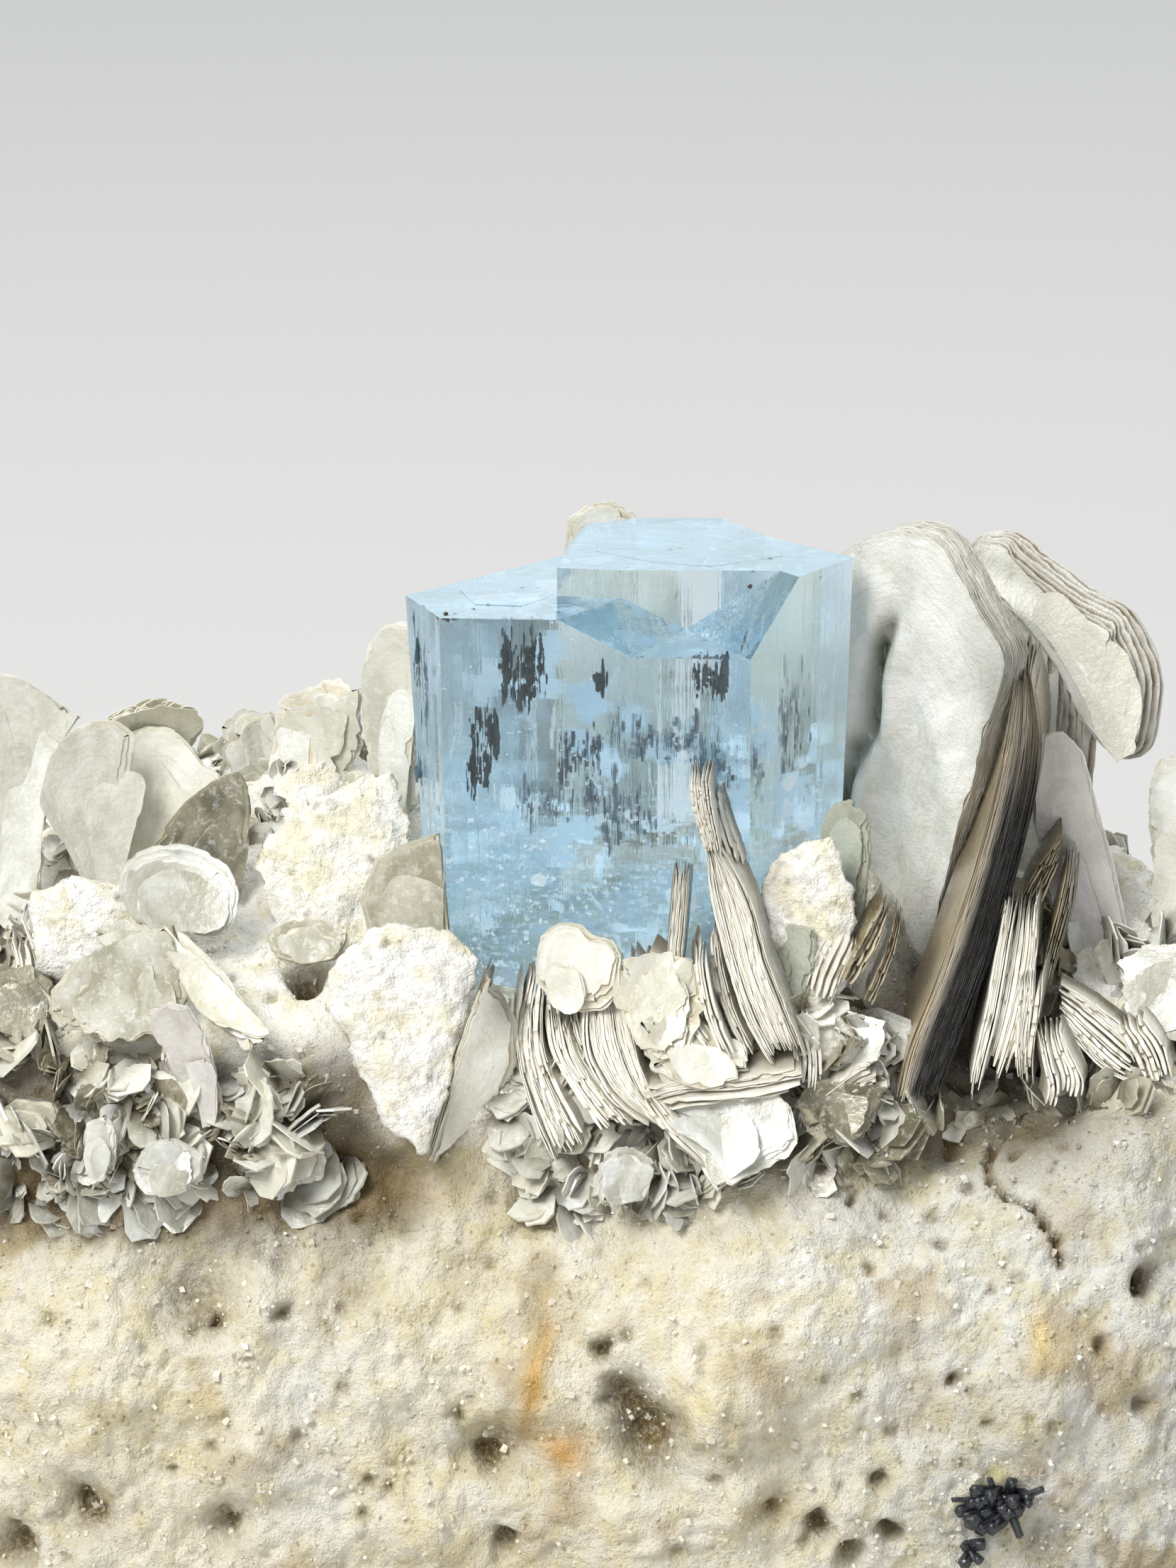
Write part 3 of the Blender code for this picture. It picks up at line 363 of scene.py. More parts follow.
def mica_material(name, face, face2, edge, groove, rough=0.34, metal=0.05, coat=0.25,
                  trans=0.0, stripe=9.0, film=0.0, grade=None, deep=None, sugar=0.0):
    """Pearly cleavage faces with growth lines along the rim, striped leaf edges
    and dark grooves between the leaves, where the dark is painted shade."""
    m, nt, b, out = shader(name)
    bk = node(nt, 'ShaderNodeAttribute', attribute_name="bk").outputs['Vector']
    rim = node(nt, 'ShaderNodeAttribute', attribute_name="rim").outputs['Fac']
    con = node(nt, 'ShaderNodeAttribute', attribute_name="con").outputs['Fac']
    leaf = node(nt, 'ShaderNodeAttribute', attribute_name="leaf").outputs['Fac']
    shade = node(nt, 'ShaderNodeAttribute', attribute_name="shade").outputs['Fac']
    cloud = noise_tex(nt, scaled(nt, bk, 0.45, 0.30, 0.6), 1.0, 3, 0.6, 0.6)
    fibre = noise_tex(nt, scaled(nt, bk, 4.2, 0.60, 1.0), 1.0, 2, 0.6)
    mottle = noise_tex(nt, scaled(nt, bk, 2.6, 2.6, 2.0), 1.0, 3, 0.65)
    strip = noise_tex(nt, scaled(nt, bk, 0.35, 0.35, stripe), 1.0, 2, 0.7)
    # growth lines: bands at even distance from the rim, broken by the cloud
    ring = node(nt, 'ShaderNodeCombineXYZ')
    nt.links.new(math_node(nt, 'MULTIPLY', con, 4.2), ring.inputs[0])
    nt.links.new(math_node(nt, 'MULTIPLY', leaf, 17.0), ring.inputs[1])
    nt.links.new(math_node(nt, 'MULTIPLY', cloud, 2.5), ring.inputs[2])
    lines = noise_tex(nt, ring.outputs[0], 1.0, 2, 0.65)
    c = mix_color(nt, map_range(nt, cloud, 0.36, 0.66), face, face2)
    c = mix_color(nt, map_range(nt, lines, 0.50, 0.72, 0, 0.50), c,
                  mix_color(nt, 1.0, c, (0.76, 0.71, 0.60), 'MULTIPLY'))
    c = mix_color(nt, map_range(nt, fibre, 0.54, 0.80, 0, 0.30), c,
                  mix_color(nt, 1.0, c, (0.78, 0.74, 0.64), 'MULTIPLY'))
    c = mix_color(nt, map_range(nt, mottle, 0.50, 0.30, 0, 0.45), c, lin(250, 249, 246))
    c = mix_color(nt, map_range(nt, leaf, 0.80, 0.1, 0, 0.60), c,
                  mix_color(nt, 1.0, c, (0.70, 0.67, 0.56), 'MULTIPLY'))
    if grade is not None:
        ramp = node(nt, 'ShaderNodeValToRGB')
        while len(ramp.color_ramp.elements) < len(grade):
            ramp.color_ramp.elements.new(0.5)
        for el, (pos, rgb) in zip(ramp.color_ramp.elements, grade):
            el.position = pos
            el.color = col(rgb)
        nt.links.new(leaf, ramp.inputs[0])
        edge = mix_color(nt, map_range(nt, con, 0.34, 0.02, 0.0, 0.8), ramp.outputs[0], face)
        c = mix_color(nt, 0.7, c, edge)
    e = mix_color(nt, map_range(nt, strip, 0.36, 0.64), edge,
                  mix_color(nt, map_range(nt, leaf, 0.2, 0.9, 0.0, 0.8), face, edge))
    e = mix_color(nt, map_range(nt, strip, 0.60, 0.80, 0, 0.8), e, groove)
    c = mix_color(nt, map_range(nt, rim, 0.12, 0.62), c, e)
    # painted shade: the gaps between the leaves (rim near 1) take the dark groove colour
    c = mix_color(nt, map_range(nt, rim, 0.70, 1.0), c, groove)
    c = mix_color(nt, shade, c, lin(76, 66, 42) if deep is None else deep)
    nt.links.new(c, b.inputs['Base Color'])
    nt.links.new(map_range(nt, mottle, 0.3, 0.7, max(rough - 0.12, 0.05), rough + 0.14), b.inputs['Roughness'])
    b.inputs['Metallic'].default_value = metal
    b.inputs['Specular IOR Level'].default_value = 0.6
    b.inputs['IOR'].default_value = 1.58
    b.inputs['Coat Weight'].default_value = coat
    b.inputs['Coat Roughness'].default_value = 0.18
    if trans:
        b.inputs['Transmission Weight'].default_value = trans
    if film:
        b.inputs['Thin Film Thickness'].default_value = film
        b.inputs['Thin Film IOR'].default_value = 1.33
    height = math_node(nt, 'ADD', mottle, math_node(nt, 'MULTIPLY', strip, 0.5))
    if sugar:
        grain = noise_tex(nt, scaled(nt, bk, 5.5, 3.6, 4.0), 1.0, 2, 0.7)
        height = math_node(nt, 'ADD', height, math_node(nt, 'MULTIPLY', grain, 2.0 * sugar))
    n4 = bump(nt, height, 0.42, 0.00014)
    nt.links.new(n4, b.inputs['Normal'])
    return m


def beryl_material():
    m, nt, b, out = shader("aquamarine_clear")
    mm = object_mm(nt)
    b.inputs['Base Color'].default_value = (0.97, 0.99, 1.0, 1.0)
    b.inputs['Roughness'].default_value = 0.02
    b.inputs['IOR'].default_value = 1.577
    b.inputs['Transmission Weight'].default_value = 1.0
    lines = noise_tex(nt, scaled(nt, mm, 2.6, 2.6, 0.10), 1.0, 4, 0.62)
    geo = node(nt, 'ShaderNodeNewGeometry')
    sep = node(nt, 'ShaderNodeSeparateXYZ')
    nt.links.new(geo.outputs['Normal'], sep.inputs[0])
    up = math_node(nt, 'ABSOLUTE', sep.outputs[2])
    hill = noise_tex(nt, scaled(nt, mm, 0.55, 0.55, 0.55), 1.0, 5, 0.62, 0.8)
    lines = math_node(nt, 'ADD', math_node(nt, 'MULTIPLY', lines, map_range(nt, up, 0.25, 0.75, 1.0, 0.0)),
                      math_node(nt, 'MULTIPLY', hill, map_range(nt, up, 0.25, 0.75, 0.35, 1.6)))
    side = map_range(nt, up, 0.25, 0.75, 0.22, 0.16)
    bn = node(nt, 'ShaderNodeBump')
    bn.inputs['Distance'].default_value = 0.00016
    nt.links.new(side, bn.inputs['Strength'])
    nt.links.new(lines, bn.inputs['Height'])
    nt.links.new(bn.outputs[0], b.inputs['Normal'])
    vol = node(nt, 'ShaderNodeVolumeAbsorption')
    vol.inputs['Color'].default_value = (0.24, 0.72, 0.96, 1.0)
    vol.inputs['Density'].default_value = 24.0
    nt.links.new(vol.outputs[0], out.inputs['Volume'])
    return m


def inclusion_material(name, rough=0.45, glow=None):
    m, nt, b, out = shader(name)
    tint = node(nt, 'ShaderNodeAttribute', attribute_name="tint").outputs[0]
    mm = object_mm(nt)
    fine = noise_tex(nt, mm, 4.0, 2, 0.5)
    c = mix_color(nt, map_range(nt, fine, 0.35, 0.7, 0, 0.35), tint,
                  mix_color(nt, 1.0, tint, (0.75, 0.84, 0.90), 'MULTIPLY'))
    nt.links.new(c, b.inputs['Base Color'])
    b.inputs['Roughness'].default_value = rough
    if glow is not None:
        # stands in for the light scattered many times between the films, past the bounce limit
        b.inputs['Emission Color'].default_value = (*glow[0], 1.0)
        b.inputs['Emission Strength'].default_value = glow[1]
    return m


def schorl_material():
    m, nt, b, out = shader("schorl_black")
    mm = object_mm(nt)
    bk = node(nt, 'ShaderNodeAttribute', attribute_name="bk").outputs['Vector']
    lines = noise_tex(nt, scaled(nt, bk, 7.0, 7.0, 0.35), 1.0, 3, 0.6)
    c = mix_color(nt, map_range(nt, lines, 0.35, 0.75), (0.008, 0.010, 0.014), (0.045, 0.050, 0.060))
    nt.links.new(c, b.inputs['Base Color'])
    nt.links.new(map_range(nt, lines, 0.3, 0.7, 0.14, 0.38), b.inputs['Roughness'])
    b.inputs['IOR'].default_value = 1.65
    nt.links.new(bump(nt, lines, 0.5, 0.00008), b.inputs['Normal'])
    return m


ROCK_MAT = rock_material()
GRAIN_MAT = grain_material()
BERYL_MAT = beryl_material()
VEIL_MAT = inclusion_material("aquamarine_veils_pale", 0.5, ((0.74, 0.87, 0.95), 0.31))
TUBE_MAT = inclusion_material("aquamarine_tubes_dark", 0.2)
SCHORL_MAT = schorl_material()
MICA = {
    "fan": mica_material("muscovite_fan_white", lin(246, 246, 241), lin(226, 227, 217), lin(112, 92, 56),
                         lin(52, 40, 24), 0.42, 0.0, 0.12, deep=lin(86, 90, 72), sugar=0.7),
    "white": mica_material("muscovite_white", lin(238, 239, 233), lin(214, 215, 206), lin(206, 196, 168),
                           lin(72, 58, 38), 0.44, 0.0, 0.12),
    "cream": mica_material("muscovite_cream", lin(241, 241, 233), lin(220, 219, 203), lin(184, 172, 134),
                           lin(60, 48, 28), 0.40, 0.0, 0.2),
    "tan": mica_material("muscovite_tan", lin(208, 206, 192), lin(166, 163, 142), lin(222, 214, 188),
                         lin(60, 48, 32), 0.38, 0.0, 0.25),
    "silver": mica_material("muscovite_silver", lin(230, 232, 228), lin(186, 186, 172), lin(240, 237, 226),
                            lin(58, 54, 42), 0.34, 0.05, 0.3),
    # olive-grey mica; its darkness is partly painted shade, the shade seen through thin sheets
    "dark": mica_material("muscovite_dark", lin(168, 162, 140), lin(108, 104, 82), lin(206, 200, 174),
                          lin(40, 36, 26), 0.28, 0.08, 0.5),
    "lilac": mica_material("muscovite_lilac", lin(234, 232, 232), lin(212, 209, 206), lin(212, 204, 188),
                           lin(66, 56, 46), 0.36, 0.0, 0.3),
    "green": mica_material("muscovite_green", lin(222, 228, 214), lin(198, 206, 188), lin(222, 222, 204),
                           lin(100, 104, 80), 0.22, 0.0, 0.4, 0.35),
    "striped": mica_material("muscovite_striped", lin(242, 240, 232), lin(214, 210, 196), lin(232, 227, 210),
                             lin(108, 96, 64), 0.34, 0.0, 0.25, 0.0, 16.0),
    "brown": mica_material("muscovite_brown", lin(146, 130, 90), lin(100, 86, 54), lin(218, 208, 182),
                           lin(44, 32, 18), 0.34, 0.0, 0.3),
    "edge": mica_material("muscovite_edge", lin(200, 190, 168), lin(136, 124, 100), lin(110, 92, 62),
                          lin(26, 20, 14), 0.32, 0.05, 0.3, 0.0, 14.0, 0.0,
                          [(0.0, lin(136, 108, 62)), (0.10, lin(186, 172, 144)), (0.32, lin(194, 190, 182)),
                           (0.50, lin(128, 118, 102)), (0.70, lin(52, 43, 32)), (1.0, lin(24, 19, 13))], deep=lin(22, 18, 12)),
}

# --------------------------------------------------------------------- rock
# The rock's own sections, as in the CAD: x, then (y, z) from the front foot,
# up the front wall, over the ledge and down to the back foot.
ROCK_SECTIONS = [
    (-32.0, [(-10, 0), (-12, 4), (-12.5, 10), (-12, 16), (-11, 20), (-9.5, 24),
             (-6, 26.5), (0, 28.5), (6, 30), (10, 29), (13, 24), (14, 15), (13, 6), (11, 0)]),
    (-30.2, [(-13.5, 0), (-16, 4), (-16.6, 11), (-15.5, 17), (-14, 22), (-12.3, 27),
             (-9, 29.6), (-1, 31.6), (7, 34), (13, 33), (17, 27), (18, 17), (17, 6), (14.5, 0)]),
    (-26.0, [(-15, 0), (-18, 4), (-18.6, 11), (-17.6, 18), (-15.2, 23), (-13.2, 28),
             (-10, 31), (-2, 33.2), (7, 36.5), (14, 35.8), (18.6, 30), (20, 18), (19, 6), (16.2, 0)]),
    (-19.0, [(-15.5, 0), (-18.6, 4), (-19.2, 11), (-18, 18), (-15.2, 23.6), (-13.6, 28.6),
             (-10.5, 31.6), (-2.5, 34), (6.5, 38), (14, 37.4), (19.2, 31), (21, 18), (20, 6), (17, 0)]),
    (-12.0, [(-16, 0), (-18.8, 4), (-19.2, 11), (-17.6, 18), (-14.6, 24), (-13.2, 29),
             (-10, 32.2), (-2, 35), (6, 38.5), (13.6, 37.6), (19.4, 31), (21.2, 18), (20.2, 6), (17, 0)]),
    (-4.0, [(-15.6, 0), (-18.6, 4), (-19.2, 11), (-17.6, 18), (-14.2, 24), (-12.6, 28),
            (-9.2, 31.0), (-1, 32.5), (8, 35), (14.5, 35), (19.8, 29.5), (21.4, 18), (20.4, 6), (17, 0)]),
    (4.0, [(-15.6, 0), (-18.8, 4), (-19.6, 11), (-18.4, 18), (-14.4, 24), (-12.2, 28),
           (-9.0, 32.0), (0, 33.5), (8, 35), (15, 34.5), (19.8, 29), (21.6, 18), (20.6, 6), (17, 0)]),
    (11.0, [(-16, 0), (-19, 4), (-19.6, 11), (-18.6, 18), (-15.2, 23.4), (-12.2, 27.4),
            (-8.6, 33.6), (-1, 36.5), (8, 35.5), (15, 34), (19.6, 28.5), (21.6, 18), (20.6, 6), (17, 0)]),
    (18.0, [(-15.6, 0), (-18.6, 4), (-19, 11), (-17.8, 17.6), (-15, 22), (-12.4, 24.6),
            (-8.8, 26.6), (-1, 30.4), (8, 34), (14.5, 33), (19, 28), (21, 18), (20, 6), (16.5, 0)]),
    (26.0, [(-15, 0), (-18, 4), (-18.4, 11), (-17, 18), (-14.2, 23.2), (-11.4, 26.2),
            (-8.2, 27.8), (0, 30.6), (8, 34), (14, 33), (18.4, 28), (20, 18), (19, 6), (16, 0)]),
    (30.2, [(-13, 0), (-15.6, 4), (-16, 11), (-14.6, 18), (-12, 22.6), (-9.6, 25.6),
            (-6.5, 27.2), (1, 29.6), (8, 31.6), (13, 30), (16.6, 25), (17.6, 16), (16.8, 6), (14, 0)]),
    (32.0, [(-9.5, 0), (-11.6, 4), (-12, 10), (-11, 15.5), (-9, 20), (-7, 23.5),
            (-4.5, 25), (1, 26.4), (6, 27), (9.5, 25.6), (12.4, 21), (13.2, 14), (12.4, 6), (10.4, 0)]),
]
ROCK_HALF_LENGTH = 32.0
NX, NT_FRONT, NT_BACK, N_BASE = 308, 226, 34, 8

# Pits, holes and swellings of the front, by where they are seen: pixel u, v,
# radius (mm), depth (mm, + is inward), brown staining and painted shade 0-1
FRONT_FORMS = [
    (276, 1830, 2.1, 1.15, 0.75), (310, 1862, 0.42, 0.9, 1.0), (402, 1851, 0.55, 0.8, 0.8),
    (392, 1780, 0.8, 0.45, 0.5), (355, 1760, 0.6, 0.4, 0.5), (500, 1812, 1.7, 0.5, 0.35),
    (640, 1790, 1.2, 0.35, 0.3), (700, 2040, 1.7, 1.2, 0.7), (690, 2062, 0.6, 0.8, 0.9),
    (120, 2135, 1.7, 1.1, 0.6), (116, 2140, 0.6, 0.7, 1.0), (318, 2158, 1.2, 0.9, 0.7),
    (715, 2186, 0.75, 1.0, 1.0), (8, 2195, 1.2, 1.4, 1.0), (852, 1903, 0.55, 1.0, 1.0),
    (880, 1965, 1.2, 1.3, 0.85), (925, 2040, 1.5, 1.4, 0.95), (905, 2000, 1.3, 1.2, 0.75),
    (1152, 2155, 0.75, 1.2, 1.0), (1257, 2163, 0.6, 1.1, 1.0), (1198, 2195, 0.7, 1.0, 0.9),
    (1240, 2090, 0.5, 0.8, 0.9), (1090, 2120, 1.0, 0.8, 0.6), (1622, 1805, 0.75, 1.5, 1.0),
    (1616, 1820, 0.5, 0.8, 1.0), (1204, 1690, 0.35, 0.5, 0.8), (1345, 1945, 0.35, 0.5, 0.7),
    (1368, 1960, 0.3, 0.45, 0.7), (1395, 2005, 0.3, 0.4, 0.7), (1350, 1600, 0.35, 0.8, 1.0),
    (1430, 1624, 0.35, 0.5, 0.9), (1325, 1755, 0.3, 0.5, 0.7), (1552, 1905, 0.45, 0.5, 0.6),
    (1620, 1980, 0.5, 0.6, 0.6), (1480, 2190, 1.8, 0.6, 0.6), (240, 2085, 0.35, 0.5, 0.8),
    (645, 2000, 0.4, 0.6, 0.7), (528, 2098, 0.35, 0.5, 0.7), (520, 2140, 0.35, 0.5, 0.7),
    (470, 1660, 1.6, 0.9, 0.6), (560, 1665, 1.5, 0.8, 0.65), (230, 1700, 1.6, 0.7, 0.55),
    (40, 1690, 1.3, 0.7, 0.6), (420, 1700, 1.0, 0.3, 0.4), (760, 1690, 1.2, 0.5, 0.55),
    # swellings
    (1060, 1840, 4.6, -1.35, 0.0), (1180, 1880, 3.0, -0.5, 0.0), (1010, 1998, 2.4, -1.5, 0.0),
    (1090, 1990, 1.2, -0.6, 0.0), (1055, 2120, 1.6, -1.0, 0.0), (745, 1960, 2.2, -1.1, 0.0),
    (1460, 1960, 2.6, -0.9, 0.0), (1320, 1850, 2.0, -0.6, 0.0), (150, 1900, 4.0, -0.7, 0.0),
    (560, 1930, 3.2, -0.6, 0.0), (350, 2040, 3.0, -0.7, 0.0), (1560, 1650, 2.4, -0.8, 0.0),
    (1420, 1760, 2.2, -0.4, 0.0), (600, 2160, 2.0, -0.7, 0.0), (905, 2160, 2.0, -0.6, 0.0),
]
# Stains and painted shadow: pixel u, v, half width and half height (mm), turn (deg), colour, weight
STAINS_AND_SHADOWS = [
    (757, 1945, 0.5, 2.4, -14, (214, 172, 92), 0.9), (792, 2050, 1.0, 1.0, 0, (208, 160, 80), 0.95),
    (1465, 1885, 0.6, 1.2, 5, (236, 214, 150), 0.8), (1410, 2080, 0.7, 0.5, 0, (196, 186, 110), 0.6),
    (1440, 1990, 1.6, 2.0, 0, (214, 200, 160), 0.4), (285, 1965, 0.7, 0.8, 0, (206, 184, 140), 0.4),
    # the three wide brown patches at v 1640-1700 are painted shadow under the mica books; the rest are stains
    (300, 1958, 0.12, 0.12, 0, (120, 50, 20), 1.0), (880, 1640, 3.2, 0.8, 0, (176, 158, 124), 0.55),
    (540, 1680, 4.5, 1.1, 0, (176, 152, 112), 0.55), (250, 1700, 3.4, 0.8, 0, (170, 146, 110), 0.5),
    (560, 2060, 4.2, 1.6, 8, (222, 208, 170), 0.35), (1330, 1990, 2.4, 1.2, 0, (206, 192, 156), 0.4),
    (990, 1975, 0.9, 0.7, 0, (240, 226, 170), 0.7), (1080, 2128, 1.2, 0.9, 0, (240, 226, 190), 0.7),
]
CRACK = [(1404, 1612), (1392, 1640), (1398, 1666), (1421, 1690), (1457, 1704), (1474, 1730),
         (1490, 1752), (1496, 1785)]


def catmull_rows(P, t):
    """Catmull-Rom through the rows of P at the parameters t; P is (k, ...)."""
    n = len(P) - 1
    i = np.clip(np.floor(t).astype(int), 0, n - 1)
    f = (t - i).reshape((-1,) + (1,) * (P.ndim - 1))
    ext = np.concatenate([[2 * P[0] - P[1]], P, [2 * P[-1] - P[-2]]])
    p0, p1, p2, p3 = ext[i], ext[i + 1], ext[i + 2], ext[i + 3]
    return 0.5 * (2 * p1 + (p2 - p0) * f + (2 * p0 - 5 * p1 + 4 * p2 - p3) * f * f
                  + (3 * p1 - p0 - 3 * p2 + p3) * f ** 3)


SEC_X = np.array([s[0] for s in ROCK_SECTIONS])
SEC_P = np.array([s[1] for s in ROCK_SECTIONS], float)      # (sections, 14, 2)


def rock_base(xs, ts):
    """Smooth rock surface on the grid xs by ts (0 front foot ... 13 back foot)."""
    tx = np.interp(xs, SEC_X, np.arange(len(SEC_X)))
    cols = catmull_rows(SEC_P, tx)                          # (nx, 14, 2)
    g = catmull_rows(np.transpose(cols, (1, 0, 2)), ts)     # (nt, nx, 2)
    out = np.zeros((len(xs), len(ts), 3))
    out[:, :, 0] = xs[:, None]
    out[:, :, 1:] = np.transpose(g, (1, 0, 2))
    out[:, :, 2] = np.maximum(out[:, :, 2], 0)
    return out


def grid_normals(G):
    a = np.gradient(G, axis=0)
    b = np.gradient(G, axis=1)
    n = np.cross(a, b)
    return n / np.maximum(np.linalg.norm(n, axis=2, keepdims=True), 1e-9)


def front_hit(u, v):
    """Design point and outward direction of the rock's front seen at (u, v)."""
    d = ray(u, v)
    d = d / np.linalg.norm(d)
    k = COARSE.ray_cast(Vector(EYE), Vector(d))
    if k[0] is None:
        return None, None
    n = np.array(k[1])
    if n @ d > 0:
        n = -n
    return np.array(k[0]), n


_xs = np.linspace(-31.9, 31.9, 90)
_ts = np.linspace(0, 13, 90)
_g = rock_base(_xs, _ts)
_idx = lambda i, j: i * len(_ts) + j
COARSE = BVHTree.FromPolygons([Vector(p) for p in _g.reshape(-1, 3)],
                              [(_idx(i, j), _idx(i + 1, j), _idx(i + 1, j + 1), _idx(i, j + 1))
                               for i in range(len(_xs) - 1) for j in range(len(_ts) - 1)])

WHITE_ROCK = lin(240, 239, 233)
CREAM_ROCK = lin(230, 224, 205)
GREY_ROCK = lin(214, 215, 211)
BAND_SHADE_BROWN = lin(132, 118, 80)
SHADE_DARK_BROWN = lin(88, 76, 50)

_front = []
for (u, v, r, depth, stain_and_shade) in FRONT_FORMS:
    p, n = front_hit(u, v)
    if p is not None:
        _front.append((p, r, depth, stain_and_shade))
_stains_and_shadows = []
for (u, v, hw, hh, turn, rgb, w) in STAINS_AND_SHADOWS:
    p, n = front_hit(u, v)
    if p is not None:
        _stains_and_shadows.append((p, hw, hh, math.radians(turn), lin(*rgb), w))
_crack = [front_hit(u, v)[0] for (u, v) in CRACK]


def rock_tint(P, N, cavity):
    """Base colour of the rock at points P: cream front, white ledge, greyer right."""
    n1 = fbm(P, 0.16, 3, 5)
    n2 = fbm(P, 0.5, 3, 9)
    c = np.tile(CREAM_ROCK, (len(P), 1))
    def blend(c, to, w):
        return c + (to - c) * w[:, None]
    c = blend(c, GREY_ROCK, smoothstep(6, 20, P[:, 0] + 5 * n1) * 0.75)
    c = blend(c, WHITE_ROCK, smoothstep(0.1, 0.9, n2) * 0.55)
    n5 = fbm(P, 0.11, 3, 43)
    c = blend(c, lin(214, 203, 172), smoothstep(0.05, 0.75, n5) * 0.6 * smoothstep(14, 2, P[:, 0]))
    n6 = fbm(P, 0.19, 3, 88) + 0.25 * fbm(P, 0.9, 2, 89)
    c = blend(c, lin(170, 148, 106), smoothstep(0.16, 0.60, n6) * 0.62 * smoothstep(25, 21, P[:, 2]))
    c = blend(c, lin(228, 228, 224), smoothstep(0.0, 0.8, -n5) * 0.65)
    # painted light: the rock right under the crystal turns pale blue white, as if lit through the crystal
    crystal_light_bed = smoothstep(1.6, -0.6, np.maximum(np.abs(P[:, 0] - 2.2) - 9.5, np.abs(P[:, 1]) - 7.2)) * smoothstep(29.5, 31.0, P[:, 2])
    up = smoothstep(26.0, 29.0, P[:, 2] + 1.5 * n1)
    c = blend(c, WHITE_ROCK, up * 0.92)
    c = blend(c, lin(236, 245, 250), crystal_light_bed)
    # tan mottling in the ledge's own hollows
    c = blend(c, lin(214, 204, 168), up * smoothstep(0.45, 0.9, fbm(P, 0.28, 2, 31)) * 0.55)
    # painted shade: the strip of rock under the mica books is darkened to brown
    band_shade = np.exp(-((P[:, 2] - 25.5 - 0.05 * P[:, 0]) / 2.3) ** 2) * smoothstep(-8.0, -11.5, P[:, 1])
    c = blend(c, BAND_SHADE_BROWN, band_shade * (0.55 + 0.45 * n2).clip(0, 1) * 0.9)
    # painted shade: the recess under the left mica books is darkened to dark brown
    under = smoothstep(-7.5, -10.5, P[:, 0] + 1.5 * n1) * smoothstep(21.0, 23.5, P[:, 2] + n2) * smoothstep(31.5, 29.0, P[:, 2]) \
        * smoothstep(-8.5, -11.0, P[:, 1])
    c = blend(c, lin(84, 70, 44), under * 0.85)
    # painted shade: the rock behind the blades right of the crystal is darkened to dark brown
    right = smoothstep(11, 14, P[:, 0]) * smoothstep(26, 22, P[:, 0]) * smoothstep(23.5, 26, P[:, 2]) \
        * smoothstep(34, 31, P[:, 2]) * smoothstep(3, -2, P[:, 1])
    c = blend(c, SHADE_DARK_BROWN, right * 0.8)
    q = -N[:, 1].clip(0, 1)
    # stains, and painted shadow under the mica books
    for (p, hw, hh, turn, rgb, w) in _stains_and_shadows:
        dx, dz = P[:, 0] - p[0] + 0.25 * n2, P[:, 2] - p[2] + 0.25 * n1
        a = dx * math.cos(turn) + dz * math.sin(turn)
        b = -dx * math.sin(turn) + dz * math.cos(turn)
        c = blend(c, rgb, w * np.exp(-((a / hw) ** 2 + (b / hh) ** 2)) * (P[:, 1] < -8))
    return c


def front_zone(P):
    return smoothstep(-8, -12, P[:, 1]) * smoothstep(27.0, 23.0, P[:, 2])


